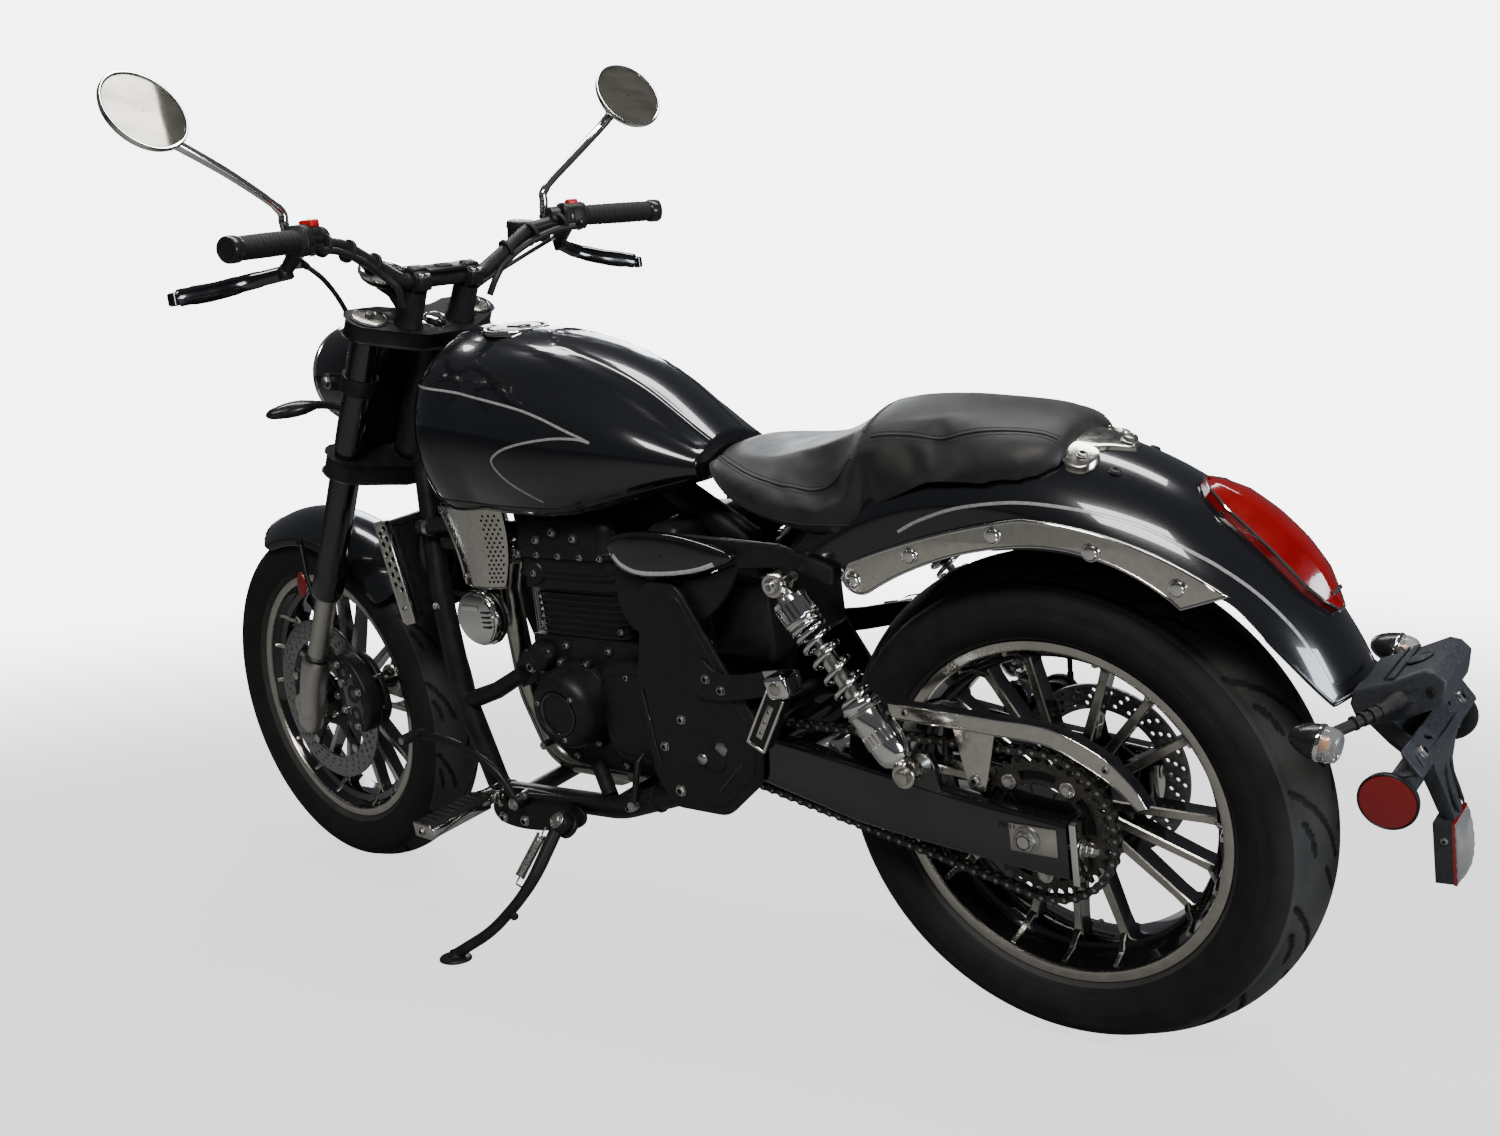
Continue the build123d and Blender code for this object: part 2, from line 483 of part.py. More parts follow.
# distance down the shock, radius
SHOCK_STEPS = [(0.03, 0.06, 10), (0.06, 0.20, 24), (0.20, 0.52, 22), (0.52, 0.62, 18), (0.62, 0.66, 26), (0.66, 0.90, 25), (0.90, 0.97, 12)]
with BuildPart() as shocks:
    for side in (-1, 1):
        shift = Vector(0, side * SHOCK_Y, 0)
        for a, b, r in SHOCK_STEPS:
            rod(SHOCK_TOP + SHOCK_WAY * a + shift, SHOCK_TOP + SHOCK_WAY * (b + 0.002) + shift, r)
        for eye in (SHOCK_TOP, SHOCK_LOW):
            rod(eye + shift + Vector(0, side * -13, 0), eye + shift + Vector(0, side * 13, 0), 16)
        rod(SHOCK_TOP + Vector(0, side * 130.2, 0), SHOCK_TOP + Vector(0, side * 190, 0), 7)
        rod(SHOCK_LOW + Vector(0, side * 137.7, 0), SHOCK_LOW + Vector(0, side * 190, 0), 7)
with BuildPart() as chain_guard:
    top = [(196, 472), (128, 470), (48, 467), (-28, 463), (-90, 438), (-128, 406), (-146, 378)]
    low = [(-134, 373), (-106, 400), (-66, 424), (-22, 442), (46, 446), (128, 449), (196, 452)]
    slab(Plane.XZ.offset(-112), top + low, -2.5)
    inner = [(-143, 377), (-125.5, 404), (-88.5, 436), (-28, 460.5), (48, 464.5), (128, 467.5), (196, 469.5)]
    slab(Plane.XZ.offset(-91), top + inner, -23)
    slab(Plane.XZ.offset(-112), [(104, 450), (48, 450), (68, 376), (92, 376)], -2.5)
    rod((80, 111, 375), (80, 120, 375), 5)
CHAIN_R, CHAIN_HALF_H = 98.5, 6.0
FRONT_SPROCKET = Vector(528, 0, 378)
FRONT_CHAIN_R = 38.0
with BuildPart() as drive_chain:
    d = FRONT_SPROCKET - REAR_AXLE
    span = math.hypot(d.X, d.Z)
    lean_c = math.atan2(d.Z, d.X)
    open_c = math.acos((CHAIN_R - FRONT_CHAIN_R) / span)

    def loop(grow):
        """Outline of the chain's loop, grown outward."""
        out = []
        for centre, r, a0, a1 in ((REAR_AXLE, CHAIN_R + grow, lean_c + open_c, lean_c + 2 * math.pi - open_c),
                                  (FRONT_SPROCKET, FRONT_CHAIN_R + grow, lean_c - open_c, lean_c + open_c)):
            mid = (a0 + a1) / 2
            out.append([(centre.X + r * math.cos(a), centre.Z + r * math.sin(a)) for a in (a0, mid, a1)])
        return out

    with BuildSketch(Plane.XZ.offset(-90.5)):
        for grow, how in ((CHAIN_HALF_H, Mode.ADD), (-CHAIN_HALF_H, Mode.SUBTRACT)):
            big, small = loop(grow)
            with BuildLine():
                ThreePointArc(*big)
                Line(big[2], small[0])
                ThreePointArc(*small)
                Line(small[2], big[0])
            make_face(mode=how)
    extrude(amount=-15)
with BuildPart() as rear_caliper:
    slab(Plane.XZ.offset(112.5), [(56, 446), (112, 404), (92, 374), (34, 416)], -22)

# ---------------------------------------------------------------- side stand
STAND_PIVOT = Vector(777, 168, 234)
STAND_DOWN = Vector(0.441, 0.586, -0.681).normalized()
STAND_FOLDED = Vector(-0.975, 0.16, -0.06).normalized()
STAND_AXIS = STAND_DOWN.cross(STAND_FOLDED).normalized()
STAND_SWING = STAND_DOWN.get_angle(STAND_FOLDED)
STAND_BEND = STAND_AXIS.cross(STAND_DOWN).normalized()      # the side the leg bows to

# ---------------------------------------------------------------- rider's and passenger's feet
PEG_X = 925.0
with BuildPart() as rider_pegs:
    for side in (-1, 1):
        outline = [(948, 236), (952, 206), (930, 196), (820, 200), (770, 212), (752, 240), (790, 262), (900, 262)]
        y0, y1 = sorted((side * 136.2, side * 143))
        plate(outline, y0, y1)
        rod((PEG_X, side * 142, 250), (PEG_X + 4, side * 176, 254), 11)
        with BuildSketch(Plane(origin=(PEG_X + 4, side * 170, 254), x_dir=(1, 0, 0), z_dir=(0, side, 0))) as root:
            RectangleRounded(40, 24, 5)
        with BuildSketch(Plane(origin=(PEG_X + 16, side * 296, 250), x_dir=(1, 0, 0), z_dir=(0, side, 0))) as tip:
            RectangleRounded(46, 26, 5)
        loft([root.sketch.face(), tip.sketch.face()])
    # the stand's pin and the lug behind it, welded to the left bracket
    rod(STAND_PIVOT - STAND_AXIS * 20, STAND_PIVOT + STAND_AXIS * 12, 6)
    rod(STAND_PIVOT - STAND_AXIS * 19, STAND_PIVOT - STAND_AXIS * 10, 20)
    rod(STAND_PIVOT - STAND_AXIS * 16, (776, 140, 222), 9)
with BuildPart() as foot_levers:
    for side in (-1, 1):
        # gear lever on the left, brake pedal on the right
        rod((880, side * 143.3, 246), (880, side * 166, 246), 11)
        tube([(881, side * 157, 247), (918, side * 157, 296), (985, side * 157, 326), (1078, side * 157, 336)], 6, [30, 60])
        rod((1085, side * 148, 337), (1085, side * 196, 337), 9)
with BuildPart() as passenger_pegs:
    for side in (-1, 1):
        low = side * 146.4 if side > 0 else side * 152.4
        slab(Plane.XZ.offset(-low), [(470, 520), (430, 500), (318, 520), (302, 506), (316, 488), (436, 462), (486, 470)], -6)
        rod((320, side * 150, 504), (320, side * 186, 504), 15)
        rod((320, side * 170, 500), (362, side * 176, 418), 12, 10)

# ---------------------------------------------------------------- the front fender and brake
FRONT_FENDER_ARC = (67.0, 138.0)
R_F = 348.0
with BuildPart() as front_fender:
    with BuildSketch(Plane(origin=FRONT_AXLE, x_dir=(0, 1, 0), z_dir=Vector(math.sin(math.radians(FRONT_FENDER_ARC[0])), 0, -math.cos(math.radians(FRONT_FENDER_ARC[0]))))):
        with BuildLine():
            ThreePointArc((-69, R_F - 46), (0, R_F), (69, R_F - 46))
            Polyline((69, R_F - 46), (69, R_F - 58), (66, R_F - 58), (66, R_F - 47))
            ThreePointArc((66, R_F - 47), (0, R_F - 3.5), (-66, R_F - 47))
            Polyline((-66, R_F - 47), (-66, R_F - 58), (-69, R_F - 58), (-69, R_F - 46))
        make_face()
    revolve(axis=Axis(FRONT_AXLE, (0, 1, 0)), revolution_arc=FRONT_FENDER_ARC[0] - FRONT_FENDER_ARC[1])
with BuildPart() as front_caliper:
    for y0, y1 in ((60, 92), (38, 51)):
        slab(Plane(origin=(1447, y0, 315), x_dir=(1, 0, 0), z_dir=(0, -1, 0)),
             [(-96, 104), (-142, 92), (-178, 40), (-176, -10), (-146, -34), (-100, -8), (-96, 40)], -(y1 - y0))
    slab(Plane(origin=(1447, 38, 315), x_dir=(1, 0, 0), z_dir=(0, -1, 0)), [(-150, 80), (-178, 40), (-176, -10), (-154, -24), (-151, 20)], -54)

# ---------------------------------------------------------------- headlight and front indicators
HEAD_C, HEAD_R = Vector(1238, 0, 900), 81.0
CLAMP_BAND_T = 990.0
# distance ahead of the bowl's centre, radius
BOWL = [(-82, 40), (-62, 61), (-32, 76), (4, HEAD_R), (46, HEAD_R), (53, 77), (62, 55), (68, 28)]
with BuildPart() as headlight:
    with BuildSketch(Plane(origin=HEAD_C, x_dir=(1, 0, 0), z_dir=(0, -1, 0))) as bowl:
        with BuildLine():
            Polyline((-82, 0), *BOWL, (68, 0), close=True)
        make_face()
    revolve(axis=Axis(HEAD_C, (1, 0, 0)))
    for side in (-1, 1):
        rod(HEAD_C + Vector(-20, side * 70, 0), HEAD_C + Vector(-20, side * 98, 0), 10)
        y0, y1 = sorted((side * 92, side * 97))
        plate([(1230, 914), (1230, 886), (1150, 884), (1146, 912)], y0, y1)
        with BuildSketch(fork_plane(CLAMP_BAND_T, FORK_OFFSET, side * FORK_HALF)) as band:
            Circle(UPPER_R + 5)
        extrude(band.sketch, amount=26)
    add(fork_tubes.part, mode=Mode.SUBTRACT)

with BuildPart() as front_indicators:
    for side in (-1, 1):
        rod(steer(958, FORK_OFFSET + 16, side * 128), (1206, side * 134, 868), 7)
        turned((1206, side * 130, 868), (1228, side * 212, 862), [(0, 8), (26, 16), (48, 16), (85, 9)])

# ---------------------------------------------------------------- handlebar and controls
BAR_R, BAR_MID_R = 11.0, 12.7
BAR = [(1008, 0, 1046), (1008, 78, 1048), (996, 176, 1108), (974, 262, 1122), (926, 404, 1118)]
with BuildPart() as handlebar:
    left = [Vector(*q) for q in BAR]
    right = [Vector(q.X, -q.Y, q.Z) for q in left]
    tube(list(reversed(right[1:])) + left[1:], BAR_R, [80, 60, 60, 60, 60, 80])
    for side in (-1, 1):
        base, top = steer(UPPER_CLAMP_T + 30.4, 2, side * 50), Vector(1008, side * 50, 1047)
        rod(base, top, 15)
        rod((1008, side * 36, 1048), (1008, side * 64, 1048), 20)
    # thicker straight middle where the risers clamp it
    rod((1008, -70, 1048), (1008, 70, 1048), BAR_MID_R)
with BuildPart() as hand_controls:
    for side in (-1, 1):
        a, b = Vector(974, side * 262, 1122), Vector(926, side * 404, 1118)
        way = (b - a).normalized()
        rod(a + way * 9, b - way * 12, 17)
        rod(b - way * 12, b + way * 6, 19)
        rod(a + way * -30, a + way * 10, 23)
    # clutch lever on the left, brake lever and its reservoir on the right
    for side, tip in ((1, (1065, 418, 1060)), (-1, (985, -400, 1035))):
        pivot = Vector(1026, side * 262, 1080)
        rod((986, side * 254, 1116), pivot, 11, 9)
        rod(pivot + Vector(0, 0, 9), pivot - Vector(0, 0, 9), 9)
        bend = pivot + (Vector(*tip) - pivot) * 0.35 + Vector(10, 0, 4)
        tube([pivot, bend, tip], 6, [90])
    rod((1082, -226, 1084), (1074, -226, 1124), 23)
    rod((1026, -240, 1084), (1078, -228, 1096), 10)
    add(handlebar.part, mode=Mode.SUBTRACT)
# clutch cable, throttle cable and brake hose from the controls into the back of the headlight
CABLES = [
    # radius, points
    (4.0, [(1016, 238, 1092), (1060, 178, 1064), (1100, 128, 1026), (1140, 80, 972), (1172, 30, 912)]),
    (3.5, [(1000, -250, 1098), (1052, -192, 1062), (1096, -132, 1024), (1138, -82, 972), (1170, -30, 912)]),
    (4.5, [(1060, -230, 1090), (1086, -182, 1066), (1118, -128, 1024), (1156, -86, 974), (1181, -38, 926)]),
]
with BuildPart() as control_cables:
    for r, points in CABLES:
        runs = [Vector(*b) - Vector(*a) for a, b in zip(points, points[1:])]
        arcs = [0.45 * min(u.length, v.length) / math.tan(math.radians(u.get_angle(v) / 2)) for u, v in zip(runs, runs[1:])]
        tube(points, r, arcs)
    for other in (hand_controls, handlebar, headlight):
        add(other.part, mode=Mode.SUBTRACT)
with BuildPart() as gauge:
    with BuildSketch(Plane(origin=(1096, 46, 1062), x_dir=(0, -1, 0), z_dir=(-0.42, 0, 0.9))):
        Circle(40)
    extrude(amount=16)
    rod((1096, 46, 1064), (1084, 30, 1006), 9)
    add(triple_clamps.part, mode=Mode.SUBTRACT)
with BuildPart() as mirrors:
    for side in (-1, 1):
        rod((1034, side * 244, 1110), (1034, side * 244, 1146), 7)
        tube([(1034, side * 244, 1140), (1032, side * 250, 1168), (1018, side * 420, 1286)], 6, [14])
        with BuildSketch(Plane(origin=(1026, side * 444, 1307), x_dir=(0, 1, 0), z_dir=(-1, 0, 0.1))):
            Ellipse(62, 42)
        extrude(amount=16)

# ---------------------------------------------------------------- parking
def lowest(turn, axle, axle_way, r_out):
    """Height of a rounded tyre's lowest point after a placement."""
    centre = (turn * Location(axle)).position
    way = (turn * Location(axle + axle_way * 100)).position - centre
    dip = way.normalized().Z
    return centre.Z - (r_out - CROWN_R) * math.sqrt(1 - dip * dip) - CROWN_R


LEFT = Vector(0, 1, 0)
TURN = Location(STEER_FOOT) * Location((0, 0, 0), (0, -RAKE, 0)) * Location((0, 0, 0), (0, 0, STEER_NOW)) \
    * Location((0, 0, 0), (0, RAKE, 0)) * Location(STEER_FOOT).inverse()
front_axle_now = (TURN * Location(FRONT_AXLE)).position
front_left_now = ((TURN * Location(FRONT_AXLE + LEFT * 100)).position - front_axle_now).normalized()
pitch = 0.0
for _ in range(4):
    tilt = Location((0, 0, 0), (0, pitch, 0)) * Location((0, 0, 0), (-LEAN, 0, 0))
    rear_low = lowest(tilt, REAR_AXLE, LEFT, REAR_TYRE_R)
    front_low = lowest(tilt, front_axle_now, front_left_now, FRONT_TYRE_R)
    pitch += math.degrees(math.atan2(front_low - rear_low, WHEELBASE))
LEANED = Location((0, 0, -rear_low)) * tilt
print("pitch", round(pitch, 4), "lows", round(rear_low, 3), round(front_low, 3))

# where a line down the stand's leg meets the ground of the leaning machine
pivot_row = (LEANED * Location(STAND_PIVOT)).position
leg_row = ((LEANED * Location(STAND_PIVOT + STAND_DOWN * 100)).position - pivot_row).normalized()
leg_length = pivot_row.Z / -leg_row.Z
FOOT = STAND_PIVOT + STAND_DOWN * leg_length
ground_up = ((LEANED.inverse() * Location((0, 0, 100))).position - (LEANED.inverse() * Location((0, 0, 0))).position).normalized()
print("stand leg", round(leg_length, 1), "swing", round(STAND_SWING, 1))
with BuildPart() as side_stand:
    rod(STAND_PIVOT - STAND_AXIS * 9, STAND_PIVOT + STAND_AXIS * 9, 17)
    # a leg that leaves the eye steeply and bends forward to the foot
    knee = STAND_PIVOT + STAND_DOWN * (0.40 * leg_length) + STAND_BEND * 34
    shin = STAND_PIVOT + STAND_DOWN * (0.72 * leg_length) + STAND_BEND * 26
    tube([STAND_PIVOT + STAND_DOWN * 8, knee, shin, FOOT + ground_up * 9], 8.5, [200, 160])
    rod(FOOT, FOOT + ground_up * 7, 25, 23)
    tab = STAND_PIVOT + STAND_DOWN * (0.55 * leg_length) + STAND_BEND * 30
    rod(tab, tab + STAND_BEND * 22 + STAND_AXIS * 8, 5)
    with BuildSketch(Plane(origin=STAND_PIVOT, z_dir=STAND_AXIS)) as eye:
        Circle(6.2)
    extrude(eye.sketch, amount=20, both=True, mode=Mode.SUBTRACT)

BODIES = {
    "frame": ["frame_backbone", "down_tubes", "lower_rails", "rear_frame", "crankcase", "cylinders",
              "exhaust_headers", "muffler", "radiator", "horn", "fuel_tank", "filler_cap", "side_panels", "seat",
              "rear_fender", "fender_struts", "taillight", "plate_bracket", "rear_indicators", "swingarm", "shocks",
              "chain_guard", "drive_chain", "rear_caliper", "rider_pegs", "foot_levers", "passenger_pegs", "rear_axle"],
    "fork": ["triple_clamps", "fork_tubes", "fork_lowers", "front_fender", "front_axle", "front_caliper", "headlight",
             "front_indicators", "handlebar", "hand_controls", "control_cables", "gauge", "mirrors"],
    "front_wheel": ["front_rim", "front_tyre", "front_disc"],
    "rear_wheel": ["rear_rim", "rear_tyre", "rear_disc", "rear_sprocket"],
    "side_stand": ["side_stand"],
}
MADE = {
    name: globals()[name] for names in BODIES.values() for name in names
}
stored = {}
for body, names in BODIES.items():
    for name in names:
        placed = LEANED * (TURN if body in ("fork", "front_wheel") else Location((0, 0, 0)))
        stored[name] = placed * MADE[name].part
boxes = [solid.bounding_box() for solid in stored.values()]
low = [min(getattr(b.min, k) for b in boxes) for k in "XYZ"]
high = [max(getattr(b.max, k) for b in boxes) for k in "XYZ"]
SHIFT = Location((-(low[0] + high[0]) / 2, -(low[1] + high[1]) / 2, 0))
print("box", [round(v, 2) for v in low + high])
os.makedirs("parts", exist_ok=True)
for name, solid in stored.items():
    shifted = SHIFT * solid
    shifted.label = name
    export_step(shifted, f"parts/{name}.step")


def stored_point(p, steered=False):
    place = SHIFT * LEANED * (TURN if steered else Location((0, 0, 0)))
    return (place * Location(p)).position


def stored_way(p, way, steered=False):
    return (stored_point(Vector(*p) + Vector(*way) * 100, steered) - stored_point(p, steered)).normalized()


JOINT_LINES = {
    "steering": (steer(1000), STEER_DIR, False),
    "front_wheel_spin": (FRONT_AXLE, LEFT, True),
    "rear_wheel_spin": (REAR_AXLE, LEFT, False),
    "side_stand": (STAND_PIVOT, STAND_AXIS, False),
}
MOUNT_LINES = {
    "handlebar_centre": ((1008, 0, 1048), LEFT, True),
    "number_plate": (PLATE_FACE, PLATE_OUT, False),
}
for name, (p, way, steered) in MOUNT_LINES.items():
    at, along = stored_point(p, steered), stored_way(p, way, steered)
    print("mount", name, [round(v / 1000, 6) for v in at], [round(v, 8) for v in along])
for name, (p, way, steered) in JOINT_LINES.items():
    at, along = stored_point(p, steered), stored_way(p, way, steered)
    print("joint", name, [round(v / 1000, 6) for v in at], [round(v, 8) for v in along])
print("shift", [round(v, 4) for v in SHIFT.position], "parked", [round(v, 4) for v in (SHIFT * LEANED).position],
      [round(v, 5) for v in (SHIFT * LEANED).orientation])
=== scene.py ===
"""Looks of the cruiser motorcycle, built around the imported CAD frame.

Everything is modelled in millimetres on the upright machine (X forward, Y left,
Z up, origin on the ground under the rear axle) and then placed by the same
lean and steering turn as the CAD.
"""
import json
import math
import random

import bmesh
import bpy
import numpy as np
from mathutils import Euler, Matrix, Vector
from mathutils.bvhtree import BVHTree


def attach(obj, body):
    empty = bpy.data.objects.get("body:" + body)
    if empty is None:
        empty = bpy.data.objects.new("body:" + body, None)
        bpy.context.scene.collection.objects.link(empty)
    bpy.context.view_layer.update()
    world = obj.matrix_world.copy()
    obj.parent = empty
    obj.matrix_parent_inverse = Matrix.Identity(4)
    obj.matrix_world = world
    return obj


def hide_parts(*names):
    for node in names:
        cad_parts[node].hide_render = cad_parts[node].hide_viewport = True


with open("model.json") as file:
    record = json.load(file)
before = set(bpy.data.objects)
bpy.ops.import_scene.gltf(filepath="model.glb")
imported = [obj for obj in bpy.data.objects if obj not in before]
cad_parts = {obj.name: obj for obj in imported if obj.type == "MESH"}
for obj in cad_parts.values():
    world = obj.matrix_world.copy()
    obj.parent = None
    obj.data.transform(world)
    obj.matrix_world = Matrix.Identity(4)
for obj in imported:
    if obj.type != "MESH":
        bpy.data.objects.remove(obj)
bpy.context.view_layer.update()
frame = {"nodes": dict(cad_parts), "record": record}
random.seed(7)

# ------------------------------------------------------------------ placement
RAKE = math.radians(28.4)
STEER_NOW = math.radians(-6.0)
STEER_FOOT = Vector((1573.0, 0, 0))
STEER_DIR = Vector((-math.sin(RAKE), 0, math.cos(RAKE)))
STEER_FWD = Vector((math.cos(RAKE), 0, math.sin(RAKE)))
PARK_POS = Vector((-645.1548, -213.2573, 1.1851))
PARK_ROT = (-10.0, -0.04578, -0.00807)
_rx, _ry, _rz = (Matrix.Rotation(math.radians(a), 4, k) for a, k in zip(PARK_ROT, "XYZ"))
PARK = Matrix.Translation(PARK_POS) @ _rx @ _ry @ _rz
TURN = Matrix.Translation(STEER_FOOT) @ Matrix.Rotation(STEER_NOW, 4, STEER_DIR) @ Matrix.Translation(-STEER_FOOT)
MM = Matrix.Scale(0.001, 4)
SPACE = {"frame": MM @ PARK, "rear_wheel": MM @ PARK, "side_stand": MM @ PARK,
         "fork": MM @ PARK @ TURN, "front_wheel": MM @ PARK @ TURN}


def steer(t, fwd=0.0, y=0.0):
    return STEER_FOOT + STEER_DIR * t + STEER_FWD * fwd + Vector((0, y, 0))


# ------------------------------------------------------------------ materials
MATS = {}


def material(name, base, rough, metal=0.0, base2=None, rough2=None, vary=40.0, coat=0.0, coat_rough=0.05,
             bumps=(), spec=0.5, transmission=0.0, ior=1.5, sheen=0.0, alpha=1.0, detail=3.0, stretch=None):
    """Principled surface whose colour and roughness drift with noise, and whose relief comes from layered bumps."""
    m = bpy.data.materials.new(name)
    m.use_nodes = True
    nt = m.node_tree
    nt.nodes.clear()
    out = nt.nodes.new("ShaderNodeOutputMaterial")
    bs = nt.nodes.new("ShaderNodeBsdfPrincipled")
    nt.links.new(bs.outputs[0], out.inputs[0])
    bs.inputs["Metallic"].default_value = metal
    bs.inputs["Coat Weight"].default_value = coat
    bs.inputs["Coat Roughness"].default_value = coat_rough
    bs.inputs["Specular IOR Level"].default_value = spec
    bs.inputs["Transmission Weight"].default_value = transmission
    bs.inputs["IOR"].default_value = ior
    bs.inputs["Sheen Weight"].default_value = sheen
    bs.inputs["Alpha"].default_value = alpha
    co = nt.nodes.new("ShaderNodeTexCoord")
    src = co.outputs["Object"]
    if stretch:
        mp = nt.nodes.new("ShaderNodeMapping")
        mp.inputs["Scale"].default_value = stretch
        nt.links.new(src, mp.inputs[0])
        src = mp.outputs[0]
    noise = nt.nodes.new("ShaderNodeTexNoise")
    noise.inputs["Scale"].default_value = vary
    noise.inputs["Detail"].default_value = detail
    nt.links.new(src, noise.inputs["Vector"])
    ramp = nt.nodes.new("ShaderNodeValToRGB")
    ramp.color_ramp.elements[0].position = 0.3
    ramp.color_ramp.elements[1].position = 0.7
    b2 = base2 or [c * 1.25 + 0.002 for c in base]
    ramp.color_ramp.elements[0].color = (*base, 1)
    ramp.color_ramp.elements[1].color = (*b2, 1)
    nt.links.new(noise.outputs["Fac"], ramp.inputs[0])
    nt.links.new(ramp.outputs[0], bs.inputs["Base Color"])
    rg = nt.nodes.new("ShaderNodeMapRange")
    rg.inputs["From Min"].default_value = 0.3
    rg.inputs["From Max"].default_value = 0.7
    rg.inputs["To Min"].default_value = rough
    rg.inputs["To Max"].default_value = rough2 if rough2 is not None else rough * 1.35
    nt.links.new(noise.outputs["Fac"], rg.inputs["Value"])
    nt.links.new(rg.outputs[0], bs.inputs["Roughness"])
    last = None
    for kind, scale, strength, distance in bumps:
        if kind == "noise":
            tx = nt.nodes.new("ShaderNodeTexNoise")
            tx.inputs["Scale"].default_value = scale
            tx.inputs["Detail"].default_value = 3.0
            value = tx.outputs["Fac"]
        elif kind == "voronoi":
            tx = nt.nodes.new("ShaderNodeTexVoronoi")
            tx.inputs["Scale"].default_value = scale
            tx.feature = "SMOOTH_F1"
            value = tx.outputs["Distance"]
        elif kind == "cells":
            tx = nt.nodes.new("ShaderNodeTexVoronoi")
            tx.inputs["Scale"].default_value = scale
            tx.feature = "DISTANCE_TO_EDGE"
            value = tx.outputs["Distance"]
        else:                      # bands along one axis
            tx = nt.nodes.new("ShaderNodeTexWave")
            tx.bands_direction = kind
            tx.inputs["Scale"].default_value = scale
            value = tx.outputs["Fac"]
        nt.links.new(src if kind == "noise" and stretch else co.outputs["Object"], tx.inputs["Vector"])
        bp = nt.nodes.new("ShaderNodeBump")
        bp.inputs["Strength"].default_value = strength
        bp.inputs["Distance"].default_value = distance
        nt.links.new(value, bp.inputs["Height"])
        if last is not None:
            nt.links.new(last, bp.inputs["Normal"])
        last = bp.outputs[0]
    if last is not None:
        nt.links.new(last, bs.inputs["Normal"])
    MATS[name] = m
    return m


material("gloss", (0.0035, 0.0035, 0.004), 0.10, base2=(0.006, 0.006, 0.007), rough2=0.16, vary=18, coat=1.0, coat_rough=0.03,
         bumps=[("noise", 260, 0.02, 0.0004)], spec=0.4)
material("gloss_flake", (0.006, 0.0065, 0.008), 0.16, base2=(0.012, 0.013, 0.016), rough2=0.24, vary=900, coat=1.0,
         coat_rough=0.03, metal=0.35, bumps=[("noise", 260, 0.02, 0.0004)], spec=0.4)
material("satin", (0.008, 0.008, 0.009), 0.36, base2=(0.013, 0.013, 0.014), rough2=0.46, vary=60,
         bumps=[("noise", 1400, 0.12, 0.0003)], spec=0.28)
material("engine", (0.0075, 0.0075, 0.008), 0.34, base2=(0.014, 0.014, 0.015), rough2=0.5, vary=45,
         bumps=[("noise", 900, 0.2, 0.0004), ("noise", 120, 0.1, 0.0006)], spec=0.26)
material("cast_grey", (0.16, 0.16, 0.165), 0.42, metal=0.9, base2=(0.24, 0.24, 0.25), rough2=0.55, vary=80,
         bumps=[("noise", 900, 0.25, 0.0004)])
material("chrome", (0.66, 0.65, 0.63), 0.05, metal=1.0, base2=(0.74, 0.73, 0.70), rough2=0.12, vary=26,
         bumps=[("noise", 60, 0.015, 0.0006)])
material("chrome_worn", (0.50, 0.48, 0.43), 0.14, metal=1.0, base2=(0.60, 0.58, 0.52), rough2=0.24, vary=120,
         bumps=[("noise", 500, 0.04, 0.0004)])
material("polish", (0.42, 0.40, 0.355), 0.20, metal=1.0, base2=(0.52, 0.495, 0.44), rough2=0.30, vary=55,
         bumps=[("noise", 700, 0.05, 0.0003)])
material("brushed", (0.40, 0.385, 0.35), 0.28, metal=1.0, base2=(0.56, 0.54, 0.49), rough2=0.42, vary=90,
         stretch=(1, 14, 14), bumps=[("noise", 420, 0.12, 0.0003)])
material("steel", (0.30, 0.295, 0.285), 0.30, metal=1.0, base2=(0.42, 0.41, 0.40), rough2=0.42, vary=150,
         bumps=[("noise", 1200, 0.1, 0.0002)])
material("disc_steel", (0.20, 0.20, 0.20), 0.30, metal=1.0, base2=(0.34, 0.335, 0.33), rough2=0.45, vary=420,
         bumps=[("noise", 1600, 0.14, 0.0002)])
material("zinc", (0.44, 0.43, 0.40), 0.22, metal=1.0, base2=(0.62, 0.60, 0.56), rough2=0.38, vary=300,
         bumps=[("noise", 1500, 0.08, 0.0002)])
material("chain", (0.035, 0.033, 0.030), 0.38, metal=0.85, base2=(0.10, 0.095, 0.085), rough2=0.55, vary=380,
         bumps=[("noise", 900, 0.15, 0.0003)])
material("tyre", (0.0075, 0.0075, 0.0078), 0.62, base2=(0.014, 0.014, 0.0142), rough2=0.78, vary=30,
         bumps=[("noise", 1300, 0.25, 0.0004), ("noise", 90, 0.1, 0.0006)], spec=0.22)
# tread: lighter copy of the tyre rubber, a painted highlight for light falling on the running surface
material("tread", (0.026, 0.026, 0.0255), 0.66, base2=(0.040, 0.040, 0.039), rough2=0.8, vary=24,
         bumps=[("noise", 1300, 0.25, 0.0004), ("noise", 90, 0.1, 0.0006)], spec=0.3)
material("rubber", (0.008, 0.008, 0.008), 0.55, base2=(0.014, 0.014, 0.014), rough2=0.7, vary=200,
         bumps=[("noise", 1500, 0.2, 0.0003)], spec=0.25)
material("plastic", (0.020, 0.022, 0.026), 0.42, base2=(0.034, 0.037, 0.044), rough2=0.56, vary=240,
         bumps=[("voronoi", 1900, 0.22, 0.0004)], spec=0.3)
material("plastic_gloss", (0.010, 0.010, 0.011), 0.20, base2=(0.016, 0.016, 0.017), rough2=0.3, vary=90,
         bumps=[("noise", 700, 0.06, 0.0003)], spec=0.4)
